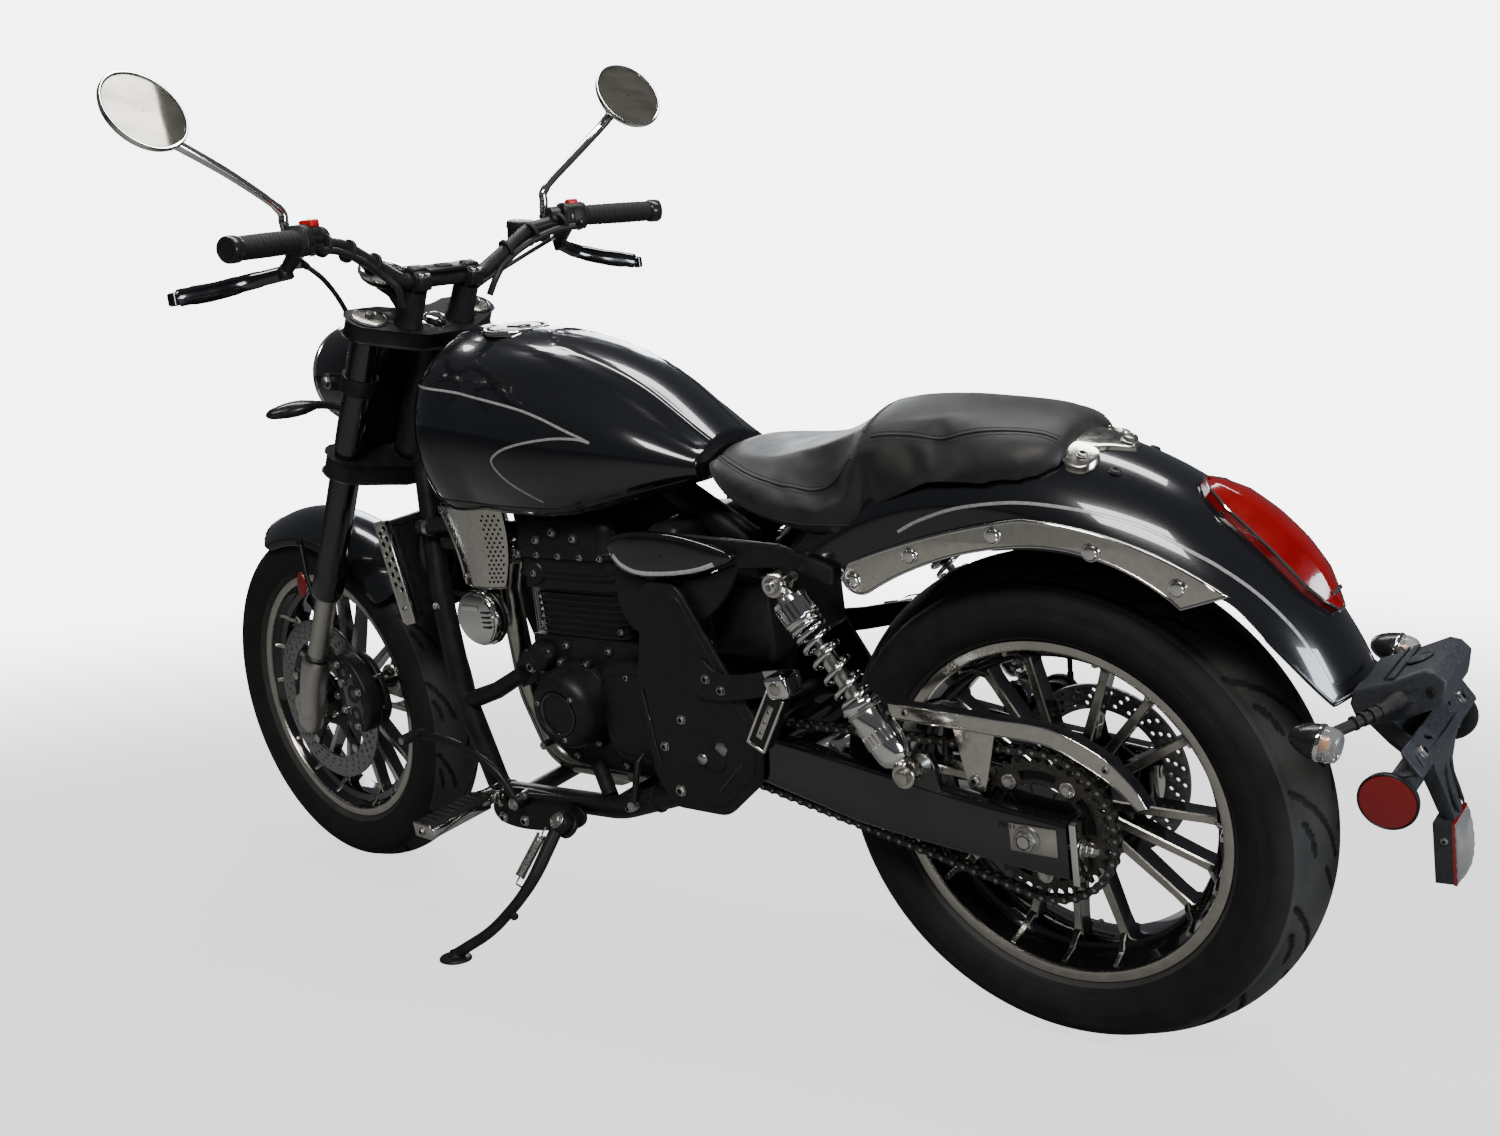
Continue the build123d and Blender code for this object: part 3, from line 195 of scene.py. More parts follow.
material("leather", (0.0085, 0.008, 0.0078), 0.40, base2=(0.016, 0.0155, 0.015), rough2=0.54, vary=22, sheen=0.08,
         bumps=[("cells", 620, 0.28, 0.0006), ("noise", 38, 0.22, 0.002), ("noise", 2200, 0.12, 0.0002)], spec=0.3)
material("thread", (0.02, 0.02, 0.021), 0.7, base2=(0.045, 0.045, 0.047), rough2=0.8, vary=1500,
         bumps=[("noise", 2500, 0.5, 0.0003)])
material("red_lens", (0.17, 0.0, 0.001), 0.12, base2=(0.21, 0.001, 0.002), rough2=0.2, vary=30, coat=0.6,
         bumps=[("voronoi", 260, 0.12, 0.0006)])
material("red_reflector", (0.16, 0.001, 0.002), 0.30, base2=(0.22, 0.002, 0.003), rough2=0.38, vary=900, coat=0.15,
         bumps=[("cells", 500, 0.5, 0.0008)])
material("red_button", (0.42, 0.004, 0.006), 0.3, base2=(0.5, 0.01, 0.012), rough2=0.4, vary=300,
         bumps=[("noise", 1200, 0.1, 0.0003)])
material("amber_lens", (0.62, 0.19, 0.01), 0.1, base2=(0.7, 0.26, 0.02), rough2=0.18, vary=60, coat=0.6,
         bumps=[("voronoi", 350, 0.2, 0.0006)])
material("clear_lens", (0.80, 0.81, 0.82), 0.04, base2=(0.88, 0.89, 0.90), rough2=0.09, vary=60, transmission=0.85, ior=1.46,
         bumps=[("voronoi", 300, 0.25, 0.0008)])
material("smoke_lens", (0.02, 0.02, 0.022), 0.08, base2=(0.03, 0.03, 0.032), rough2=0.14, vary=60, coat=0.8,
         bumps=[("X", 90, 0.1, 0.0006)])
material("mirror_glass", (0.20, 0.19, 0.16), 0.03, metal=0.72, base2=(0.10, 0.094, 0.08), rough2=0.05, vary=14, stretch=(1, 1, 3),
         bumps=[("noise", 8, 0.004, 0.0006)])
material("pinstripe", (0.20, 0.20, 0.20), 0.25, base2=(0.30, 0.30, 0.30), rough2=0.32, vary=200, coat=0.8,
         bumps=[("noise", 900, 0.04, 0.0002)])
material("stripe_light", (0.46, 0.46, 0.45), 0.25, base2=(0.56, 0.56, 0.55), rough2=0.32, vary=200, coat=0.8,
         bumps=[("noise", 900, 0.04, 0.0002)])
material("dial_black", (0.008, 0.008, 0.009), 0.35, base2=(0.014, 0.014, 0.015), rough2=0.45, vary=200,
         bumps=[("noise", 1500, 0.05, 0.0002)])
material("dial_white", (0.62, 0.60, 0.55), 0.5, base2=(0.72, 0.70, 0.66), rough2=0.6, vary=200,
         bumps=[("noise", 1500, 0.05, 0.0002)])
material("glass", (0.92, 0.93, 0.94), 0.02, base2=(0.96, 0.96, 0.97), rough2=0.04, vary=20, transmission=1.0, ior=1.45,
         bumps=[("noise", 40, 0.01, 0.0004)])
material("core", (0.05, 0.05, 0.052), 0.5, metal=0.8, base2=(0.10, 0.10, 0.105), rough2=0.6, vary=300,
         bumps=[("Z", 220, 0.9, 0.001), ("Y", 60, 0.5, 0.001)])
material("exhaust", (0.34, 0.32, 0.28), 0.16, metal=1.0, base2=(0.46, 0.44, 0.40), rough2=0.28, vary=60,
         bumps=[("noise", 500, 0.05, 0.0003)])
material("hose", (0.01, 0.01, 0.01), 0.42, base2=(0.018, 0.018, 0.018), rough2=0.52, vary=300,
         bumps=[("noise", 1400, 0.2, 0.0003)], spec=0.3)
material("label_grey", (0.03, 0.03, 0.03), 0.4, base2=(0.045, 0.045, 0.045), rough2=0.5, vary=100,
         bumps=[("noise", 900, 0.05, 0.0002)])

# CAD nodes that stay: slot name to finish
FINISH = {"frame_black": "satin", "gloss_black": "gloss", "fork_cover": "gloss", "engine_black": "engine",
          "exhaust_steel": "exhaust", "radiator_black": "satin", "chrome": "chrome", "polished_aluminium": "polish",
          "wheel_alloy": "polish", "steel": "steel", "caliper_black": "engine", "black_plastic": "plastic",
          "red_lens": "red_lens", "seat_vinyl": "leather", "grip_rubber": "rubber", "tyre": "tyre"}
node_slot = {s["node"]: s["material_slot"] for s in frame["record"]["subparts"]}
for node, obj in frame["nodes"].items():
    m = MATS[FINISH[node_slot[node]]]
    obj.data.materials.clear()
    obj.data.materials.append(m)


# ------------------------------------------------------------------ mesh building
def arc3(p0, p1, p2, n):
    """n + 1 points on the circle through three (a, b) points."""
    (ax, ay), (bx, by), (cx, cy) = p0, p1, p2
    d = 2 * (ax * (by - cy) + bx * (cy - ay) + cx * (ay - by))
    ux = ((ax * ax + ay * ay) * (by - cy) + (bx * bx + by * by) * (cy - ay) + (cx * cx + cy * cy) * (ay - by)) / d
    uy = ((ax * ax + ay * ay) * (cx - bx) + (bx * bx + by * by) * (ax - cx) + (cx * cx + cy * cy) * (bx - ax)) / d
    a0, a1, a2 = (math.atan2(y - uy, x - ux) for x, y in (p0, p1, p2))
    r = math.hypot(ax - ux, ay - uy)
    sweep = (a2 - a0) % (2 * math.pi)
    if (a1 - a0) % (2 * math.pi) > sweep:
        sweep -= 2 * math.pi
    return [(ux + r * math.cos(a0 + sweep * k / n), uy + r * math.sin(a0 + sweep * k / n)) for k in range(n + 1)]


def curve_through(points, per=8, closed=False):
    """Catmull-Rom line through points."""
    pts = [Vector(p) for p in points]
    n = len(pts)
    out = []
    spans = n if closed else n - 1
    for i in range(spans):
        p1, p2 = pts[i], pts[(i + 1) % n]
        p0 = pts[i - 1] if (closed or i > 0) else p1 + (p1 - p2)
        p3 = pts[(i + 2) % n] if (closed or i + 2 < n) else p2 + (p2 - p1)
        for k in range(per):
            t = k / per
            out.append(0.5 * ((2 * p1) + (p2 - p0) * t + (2 * p0 - 5 * p1 + 4 * p2 - p3) * t * t
                              + (3 * p1 - p0 - 3 * p2 + p3) * t ** 3))
    if not closed:
        out.append(pts[-1].copy())
    return out


def rounded_line(points, radius, per=6):
    """Polyline whose corners are replaced by arcs, as bent tube."""
    pts = [Vector(p) for p in points]
    radii = radius if isinstance(radius, (list, tuple)) else [radius] * (len(pts) - 2)
    out = [pts[0]]
    for i in range(1, len(pts) - 1):
        a, b, c = pts[i - 1], pts[i], pts[i + 1]
        u, v = (a - b).normalized(), (c - b).normalized()
        ang = u.angle(v)
        cut = min(radii[i - 1] / math.tan(ang / 2), 0.49 * min((a - b).length, (c - b).length))
        p, q = b + u * cut, b + v * cut
        r = cut * math.tan(ang / 2)
        centre = b + (u + v).normalized() * (r / math.sin(ang / 2))
        e0, e1 = (p - centre), (q - centre)
        total = e0.angle(e1)
        axis = e0.cross(e1).normalized() if total > 1e-5 else Vector((0, 0, 1))
        steps = max(2, int(per * total / 0.6))
        for k in range(steps + 1):
            out.append(centre + Matrix.Rotation(total * k / steps, 3, axis) @ e0)
    out.append(pts[-1])
    return out


def plane_axes(normal, up=(0, 0, 1)):
    n = Vector(normal).normalized()
    u = Vector(up).cross(n)
    if u.length < 1e-4:
        u = Vector((1, 0, 0)).cross(n)
    u.normalize()
    return u, n.cross(u), n


class Piece:
    """Gathers mesh parts with their materials, in millimetres on the upright machine."""

    def __init__(self, name, *mats):
        self.name, self.mats = name, list(mats)
        self.v, self.f, self.m = [], [], []

    def mi(self, mat):
        if mat not in self.mats:
            self.mats.append(mat)
        return self.mats.index(mat)

    def put(self, verts, faces, mat):
        base = len(self.v)
        k = self.mi(mat)
        self.v.extend(tuple(p) for p in verts)
        self.f.extend(tuple(base + i for i in f) for f in faces)
        self.m.extend([k] * len(faces))
        return self

    def lathe(self, centre, axis, profile, mat, n=64, closed=False, start=0.0, sweep=2 * math.pi, up=(0, 0, 1)):
        """Profile of (along, radius) points turned about an axis."""
        u, v, w = plane_axes(axis, up)
        c = Vector(centre)
        full = abs(sweep - 2 * math.pi) < 1e-6
        rows = n if full else n + 1
        verts, faces = [], []
        m = len(profile)
        for i in range(rows):
            a = start + sweep * i / n
            e = u * math.cos(a) + v * math.sin(a)
            for al, r in profile:
                verts.append(c + w * al + e * r)
        for i in range(n):
            j = (i + 1) % rows
            for k in range(m if closed else m - 1):
                l = (k + 1) % m
                faces.append((i * m + k, j * m + k, j * m + l, i * m + l))
        return self.put(verts, faces, mat)

    def solid(self, centre, axis, profile, mat, n=48, up=(0, 0, 1)):
        """Closed turned solid: the profile is capped on the axis at both ends."""
        prof = [(profile[0][0], 0.001)] + list(profile) + [(profile[-1][0], 0.001)]
        return self.lathe(centre, axis, prof, mat, n, up=up)

    def pipe(self, points, r, mat, n=14, closed=False, caps=True, flat=None):
        """Tube along points; r is one radius or one a point. flat squashes it across its up direction."""
        pts = [Vector(p) for p in points]
        keep = [pts[0]]
        for p in pts[1:]:
            if (p - keep[-1]).length > 1e-3:
                keep.append(p)
        rr = r if isinstance(r, (list, tuple)) else [r] * len(keep)
        if len(rr) != len(keep):
            rr = [rr[min(len(rr) - 1, int(round(i * (len(rr) - 1) / max(1, len(keep) - 1))))] for i in range(len(keep))]
        m = len(keep)
        tang = []
        for i in range(m):
            a = keep[i - 1] if (i > 0 or closed) else keep[i]
            b = keep[(i + 1) % m] if (i < m - 1 or closed) else keep[i]
            tang.append((b - a).normalized())
        ref = Vector((0, 0, 1)) if abs(tang[0].z) < 0.9 else Vector((0, 1, 0))
        side = tang[0].cross(ref).normalized()
        verts, faces = [], []
        for i in range(m):
            side = (side - tang[i] * side.dot(tang[i])).normalized()
            upv = tang[i].cross(side)
            for k in range(n):
                a = 2 * math.pi * k / n
                s2 = flat if flat else 1.0
                verts.append(keep[i] + side * (rr[i] * math.cos(a)) + upv * (rr[i] * s2 * math.sin(a)))
        for i in range(m if closed else m - 1):
            j = (i + 1) % m
            for k in range(n):
                l = (k + 1) % n
                faces.append((i * n + k, i * n + l, j * n + l, j * n + k))
        if caps and not closed:
            faces.append(tuple(range(n))[::-1])
            faces.append(tuple((m - 1) * n + k for k in range(n)))
        return self.put(verts, faces, mat)

    def box(self, centre, size, mat, bevel=2.0, axes=None, seg=2, taper=None):
        """Rounded block. axes are its own x, y and z directions."""
        bm = bmesh.new()
        bmesh.ops.create_cube(bm, size=1.0)
        for p in bm.verts:
            p.co = Vector((p.co.x * size[0], p.co.y * size[1], p.co.z * size[2]))
            if taper and p.co.z > 0:
                p.co.x *= taper[0]
                p.co.y *= taper[1]
        if bevel > 0:
            bmesh.ops.bevel(bm, geom=list(bm.edges), offset=min(bevel, 0.45 * min(size)), segments=seg, affect="EDGES", profile=0.5)
        self._take(bm, centre, axes, mat)
        return self

    def _take(self, bm, centre, axes, mat):
        ax = [Vector(a).normalized() for a in axes] if axes else [Vector((1, 0, 0)), Vector((0, 1, 0)), Vector((0, 0, 1))]
        c = Vector(centre)
        bm.verts.index_update()
        verts = [c + ax[0] * p.co.x + ax[1] * p.co.y + ax[2] * p.co.z for p in bm.verts]
        faces = [tuple(q.index for q in f.verts) for f in bm.faces]
        bm.free()
        self.put(verts, faces, mat)

    def plate(self, origin, u, v, outline, thick, mat, bevel=0.6, holes=(), smooth=0, res=2):
        """Flat plate with holes; outline in (u, v) from origin, centred in its thickness along u x v."""
        cu = bpy.data.curves.new("tmp", "CURVE")
        cu.dimensions = "2D"
        cu.fill_mode = "BOTH"
        bevel = min(bevel, thick * 0.45)
        cu.extrude = thick / 2 - bevel
        cu.bevel_depth = bevel
        cu.bevel_resolution = res
        cu.offset = -bevel
        for loop in [outline] + list(holes):
            sp = cu.splines.new("POLY")
            sp.points.add(len(loop) - 1)
            for q, (a, b) in zip(sp.points, loop):
                q.co = (a, b, 0, 1)
            sp.use_cyclic_u = True
        ob = bpy.data.objects.new("tmp", cu)
        bpy.context.scene.collection.objects.link(ob)
        bpy.context.view_layer.update()
        me = bpy.data.meshes.new_from_object(ob.evaluated_get(bpy.context.evaluated_depsgraph_get()))
        o, U, V = Vector(origin), Vector(u).normalized(), Vector(v).normalized()
        W = U.cross(V)
        verts = [o + U * p.co.x + V * p.co.y + W * p.co.z for p in me.vertices]
        faces = [tuple(f.vertices) for f in me.polygons]
        bpy.data.objects.remove(ob)
        bpy.data.curves.remove(cu)
        bpy.data.meshes.remove(me)
        return self.put(verts, faces, mat)

    def hexhead(self, at, way, r, h, mat, washer=True, socket=False):
        """Bolt head standing on a face, looking along way."""
        u, v, w = plane_axes(way)
        at = Vector(at)
        if washer:
            self.solid(at, w, [(0, r * 1.35), (r * 0.16, r * 1.38), (r * 0.22, r * 1.3)], mat, n=24)
            at = at + w * r * 0.2
        if socket:
            self.lathe(at, w, [(0, r), (h * 0.8, r), (h, r * 0.86), (h, r * 0.5), (h * 0.45, r * 0.48), (h * 0.45, 0.001)], mat, n=20)
        else:
            prof = [(0, 1.0), (h * 0.78, 1.0), (h, 0.8), (h, 0.001)]
            verts, faces = [], []
            n = 6
            for k in range(n):
                a = math.pi / 3 * k
                for al, s in prof:
                    verts.append(at + w * al + (u * math.cos(a) + v * math.sin(a)) * r * s)
            m = len(prof)
            for k in range(n):
                l = (k + 1) % n
                for q in range(m - 1):
                    faces.append((k * m + q, l * m + q, l * m + q + 1, k * m + q + 1))
            self.put(verts, faces, mat)
        return self

    def dome(self, at, way, r, h, mat, n=20):
        prof = [(h * math.sin(t), r * math.cos(t)) for t in [0, 0.35, 0.7, 1.05, 1.35, 1.565]]
        return self.lathe(at, way, [(-0.5, r)] + prof, mat, n=n)

    def grid(self, rows, mat, close_u=False, close_v=False, flip=False):
        """Surface through a list of equal-length point rows."""
        m, n = len(rows), len(rows[0])
        verts = [p for row in rows for p in row]
        faces = []
        for i in range(m if close_u else m - 1):
            j = (i + 1) % m
            for k in range(n if close_v else n - 1):
                l = (k + 1) % n
                q = (i * n + k, i * n + l, j * n + l, j * n + k)
                faces.append(q[::-1] if flip else q)
        return self.put(verts, faces, mat)

    def coil(self, a, b, r, wire, turns, mat, n=10, per=26, flat_ends=True):
        """Helical spring from a to b."""
        a, b = Vector(a), Vector(b)
        u, v, w = plane_axes(b - a)
        L = (b - a).length
        total = turns + (2 if flat_ends else 0)
        pts = []
        steps = int(total * per)
        for i in range(steps + 1):
            t = i / steps * total
            if flat_ends:
                k = 0 if t < 0 else t
                if k < 1:
                    z = wire * k
                elif k > total - 1:
                    z = L - wire * (total - k)
                else:
                    z = wire + (k - 1) / turns * (L - 2 * wire)
            else:
                z = L * t / total
            ang = 2 * math.pi * t
            pts.append(a + w * z + (u * math.cos(ang) + v * math.sin(ang)) * r)
        return self.pipe(pts, wire, mat, n=n)

    def mesh(self, angle=38.0, space=None, weld=True):
        me = bpy.data.meshes.new(self.name)
        me.from_pydata(self.v, [], self.f)
        for name in self.mats:
            me.materials.append(MATS[name])
        me.polygons.foreach_set("material_index", self.m)
        bm = bmesh.new()
        bm.from_mesh(me)
        if weld:
            bmesh.ops.remove_doubles(bm, verts=bm.verts, dist=0.004)
            bmesh.ops.dissolve_degenerate(bm, edges=bm.edges, dist=0.002)
        bmesh.ops.recalc_face_normals(bm, faces=bm.faces)
        lim = math.radians(angle)
        for e in bm.edges:
            e.smooth = len(e.link_faces) == 2 and e.calc_face_angle(0) < lim
        for f in bm.faces:
            f.smooth = True
        bm.to_mesh(me)
        bm.free()
        return me

    def done(self, body, replaces=(), slot=None, angle=38.0, weld=True):
        me = self.mesh(angle, weld=weld)
        me.transform(SPACE[body])
        ob = bpy.data.objects.new(self.name, me)
        bpy.context.scene.collection.objects.link(ob)
        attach(ob, body)
        if replaces:
            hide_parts(*([replaces] if isinstance(replaces, str) else replaces))
        return ob


def circle(cx, cy, r, n=16, a0=0.0):
    return [(cx + r * math.cos(a0 + 2 * math.pi * k / n), cy + r * math.sin(a0 + 2 * math.pi * k / n)) for k in range(n)]


X, Y, Z = Vector((1, 0, 0)), Vector((0, 1, 0)), Vector((0, 0, 1))
REAR_AXLE, FRONT_AXLE = Vector((0, 0, 327.0)), Vector((1447.0, 0, 315.0))

# ------------------------------------------------------------------ tyres
TREAD_REAR = [
    # polylines in (mm round the tread, mm across), repeated round the tyre
    [(0, 66), (16, 52), (40, 34), (70, 18), (104, 6)],
    [(78, -66), (94, -52), (118, -34), (148, -18), (182, -6)],
    [(46, 56), (66, 48), (92, 44)],
    [(124, -56), (144, -48), (170, -44)],
    [(112, 26), (138, 12), (150, 2)],
    [(34, -26), (60, -12), (72, -2)],
]
TREAD_FRONT = [
    [(0, 46), (18, 34), (44, 20), (74, 9)],
    [(60, -46), (78, -34), (104, -20), (134, -9)],
    [(34, 42), (52, 36), (70, 33)],
    [(94, -42), (112, -36), (130, -33)],
]


def groove_depth(u, w, period, lines, width, depth):
    """Depth of the tread grooves at (u, w): smooth-walled channels round polylines."""
    best = np.full(u.shape, 1e9)
    for line in lines:
        for (a0, b0), (a1, b1) in zip(line, line[1:]):
            for k in (-2, -1, 0, 1):
                ax, bx = a0 + k * period, a1 + k * period
                dx, dy = bx - ax, b1 - b0
                t = np.clip(((u - ax) * dx + (w - b0) * dy) / (dx * dx + dy * dy), 0, 1)
                best = np.minimum(best, np.hypot(u - ax - t * dx, w - b0 - t * dy))
    s = np.clip((width / 2 - best) / 1.1 + 0.5, 0, 1)
    return depth * s * s * (3 - 2 * s)


def tyre_piece(name, body, centre, r_out, half, lip_y, crown_r, lines, repeats, n_around, step, width, node):
    edge = 0.66 * half
    z_edge = r_out - crown_r + math.sqrt(crown_r ** 2 - edge ** 2)
    wall_r = r_out - 0.62 * half
    half_prof = []
    n1 = max(6, int(edge / step))
    for i in range(n1 + 1):
        y = edge * i / n1
        half_prof.append((y, r_out - crown_r + math.sqrt(crown_r ** 2 - y ** 2)))
    half_prof += arc3((edge, z_edge), (half - 4, (z_edge + wall_r) / 2 + 2), (half, wall_r), 12)[1:]
    half_prof += arc3((half, wall_r), (half - 5, (wall_r + 230) / 2 - 6), (lip_y, 231.5), 22)[1:]
    half_prof += [(lip_y - 2.5, 230.6), (lip_y - 5, 228)]
    prof = [(-y, r) for y, r in reversed(half_prof[1:])] + half_prof
    P = np.array(prof)
    across = np.concatenate([[0], np.cumsum(np.hypot(*np.diff(P, axis=0).T))])
    across -= across[len(across) // 2]
    d = np.gradient(P, axis=0)
    nrm = np.stack([d[:, 1], -d[:, 0]], 1)
    nrm /= np.linalg.norm(nrm, axis=1)[:, None]
    mid = len(P) // 2
    if nrm[mid, 1] < 0:
        nrm = -nrm
    ang = np.arange(n_around) * 2 * math.pi / n_around
    A, W = np.meshgrid(ang, across, indexing="ij")
    period = 2 * math.pi * r_out / repeats
    U = (A * r_out) % period
    depth = groove_depth(U, W, period, lines, width, 3.2)
    # rings and a knurled band on the wall, well away from the tread
    rr = np.broadcast_to(P[:, 1], A.shape)
    wall = np.abs(np.broadcast_to(P[:, 0], A.shape)) > half * 0.72
    ridge = np.zeros_like(A)
    for ring, high in ((238.5, 0.9), (wall_r - 9, 0.7), (wall_r + 8, 0.5)):
        ridge += high * np.exp(-((rr - ring) / 1.6) ** 2)
    knurl = 0.35 * (np.sin(A * 240) > 0) * np.exp(-((rr - (wall_r - 1)) / 4.5) ** 4)
    off = -depth + (ridge + knurl) * wall
    off[:, :2] = 0
    off[:, -2:] = 0
    Y = P[:, 0][None, :] + nrm[:, 0][None, :] * off
    R = P[:, 1][None, :] + nrm[:, 1][None, :] * off
    verts = np.stack([centre.x + R * np.cos(A), centre.y + Y, centre.z + R * np.sin(A)], -1).reshape(-1, 3)
    m, n = len(P), n_around
    i = np.arange(n)[:, None]
    k = np.arange(m - 1)[None, :]
    j = (i + 1) % n
    faces = np.stack([i * m + k, i * m + k + 1, j * m + k + 1, j * m + k], -1).reshape(-1, 4)
    me = bpy.data.meshes.new(name)
    me.from_pydata(verts.tolist(), [], faces.tolist())
    me.materials.append(MATS["tyre"])
    me.materials.append(MATS["tread"])
    # running surface between the grooves in the lighter tread rubber: a painted highlight for light falling on the
    # tread; grooves and walls keep the darker tyre rubber, which leaves painted shade in the grooves
    lit_tread_mask = (np.abs(np.broadcast_to(P[:, 0], A.shape)) < half * 0.84) & (depth < 0.9)
    nxt = np.roll(lit_tread_mask, -1, axis=0)
    # faces fully on the painted-light running surface get the lighter tread rubber
    on = lit_tread_mask[:, :-1] & lit_tread_mask[:, 1:] & nxt[:, :-1] & nxt[:, 1:]
    me.polygons.foreach_set("material_index", on.astype(np.int32).reshape(-1).tolist())
    me.polygons.foreach_set("use_smooth", [True] * len(me.polygons))
    me.update()
    me.transform(SPACE[body])
    ob = bpy.data.objects.new(name, me)
    bpy.context.scene.collection.objects.link(ob)
    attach(ob, body)
    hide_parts(node)
    return ob


tyre_piece("rear_tyre_tread", "rear_wheel", REAR_AXLE, 327.0, 85.0, 66.0, 78.0, TREAD_REAR, 13,
           680, 2.3, 3.8, "rear_tyre")
tyre_piece("front_tyre_tread", "front_wheel", FRONT_AXLE, 315.0, 59.0, 43.0, 78.0, TREAD_FRONT, 15,
           560, 2.2, 3.4, "front_tyre")


# ------------------------------------------------------------------ rims
def wheel_piece(name, body, centre, lip_y, hub_r, hub_half, phase, face_y, node, bore=8.9):
    p = Piece(name, "polish", "gloss", "engine", "brushed")
    slope_y = min(39.0, lip_y - 12)
    n = 160
    for s in (1, -1):
        lip = [(lip_y - 4.5, 229.4), (lip_y - 3.6, 230.0), (lip_y - 0.9, 230.0), (lip_y, 229.0), (lip_y - 0.2, 219.5), (lip_y - 1.4, 216.6), (lip_y - 4, 215.2)]
        p.lathe(centre, Y * s, lip, "polish", n)
        p.lathe(centre, Y * s, [(lip_y - 4, 215.2), (lip_y - 7, 214.2), (slope_y, 209), (slope_y - 5, 206.2), (face_y + 12, 195.6), (face_y + 7, 194), (0, 194)],
                "gloss", n)
        p.lathe(centre, Y * s, [(0, 200), (face_y + 6, 200), (slope_y, 216), (lip_y - 6.5, 220.5), (lip_y - 4.6, 228.6), (lip_y - 4.5, 229.4)],
                "engine", n)
        # hub end and its stepped barrel
        p.lathe(centre, Y * s, [(0, hub_r - 3), (face_y + 5, hub_r - 3), (face_y + 9, hub_r), (hub_half - 3, hub_r),
                                (hub_half, hub_r - 3), (hub_half, bore + 12), (hub_half - 2, bore + 9), (hub_half - 2, bore)], "gloss", 64)
    for group in range(5):
        for step in (-1, 0, 1):
            ang = math.radians(phase + group * 72.0 + step * 19.7)
            out = Vector((math.cos(ang), 0, math.sin(ang)))
            side = Vector((-math.sin(ang), 0, math.cos(ang)))
            rows = []
            #       r, half width, half depth, chamfer
            table = [(hub_r - 5, 10.5, face_y + 5.5, 2.2), (hub_r + 6, 8.4, face_y + 4.4, 2.0), (hub_r + 20, 7.2, face_y + 3.2, 1.8),
                     (120, 6.4, face_y + 1.6, 1.6), (172, 5.8, face_y + 0.2, 1.5), (188, 6.4, face_y + 0.6, 1.5), (196, 8.2, face_y + 3.0, 1.5)]
            for r, w, h, c in table:
                o = centre + out * r
                ring = [(w - c, h), (w, h - c), (w * 0.86, 0), (w, -h + c), (w - c, -h), (-w + c, -h), (-w, -h + c), (-w * 0.86, 0), (-w, h - c), (-w + c, h)]
                rows.append([o + side * a + Y * b for a, b in ring])
            # bright machined faces and edges, dark sides
            m = len(rows[0])
            for k, mat in enumerate(["brushed", "gloss", "gloss", "brushed", "polish", "brushed", "gloss", "gloss", "brushed", "polish"]):
                l = (k + 1) % m
                p.grid([[row[k], row[l]] for row in rows], mat)
            # the face runs on over the barrel's slope to the lip
            for s in (1, -1):
                w0 = 5.2
                top = [(192, face_y + 2.0), (197.5, face_y + 10), (208.5, slope_y - 4), (213.5, lip_y - 8)]
                rows2 = []
                for q, (r, y) in enumerate(top):
                    w = w0 * (1 - 0.12 * q)
                    o = centre + out * (r - 2.6) + Y * (s * (y + 0.6))
                    dn = out * 5.2 - Y * (s * 1.2)
                    rows2.append([o + side * w + dn * 1.2, o + side * w, o + side * (w - 1.2) - out * 1.4, o - side * (w - 1.2) - out * 1.4, o - side * w, o - side * w + dn * 1.2])
                for k, mat in enumerate(["gloss", "brushed", "polish", "brushed", "gloss"]):
                    p.grid([[row[k], row[k + 1]] for row in rows2], mat)
                p.put([q for q in rows2[-1]], [tuple(range(6))], "polish")
    # balance valve stem
    va = math.radians(phase + 36)
    vo = Vector((math.cos(va), 0, math.sin(va)))
    p.solid(centre + vo * 194, -vo, [(0, 6), (5, 5.4), (9, 3.4), (26, 3.2), (27, 4.2), (36, 4.2), (38, 3)], "rubber", n=16)
    p.done(body, node, angle=30)


wheel_piece("rear_wheel_casting", "rear_wheel", REAR_AXLE, 66.0, 44.0, 66.0, 56.0, 13.6, "rear_rim")
wheel_piece("front_wheel_casting", "front_wheel", FRONT_AXLE, 43.0, 34.0, 48.0, 20.0, 11.0, "front_rim")


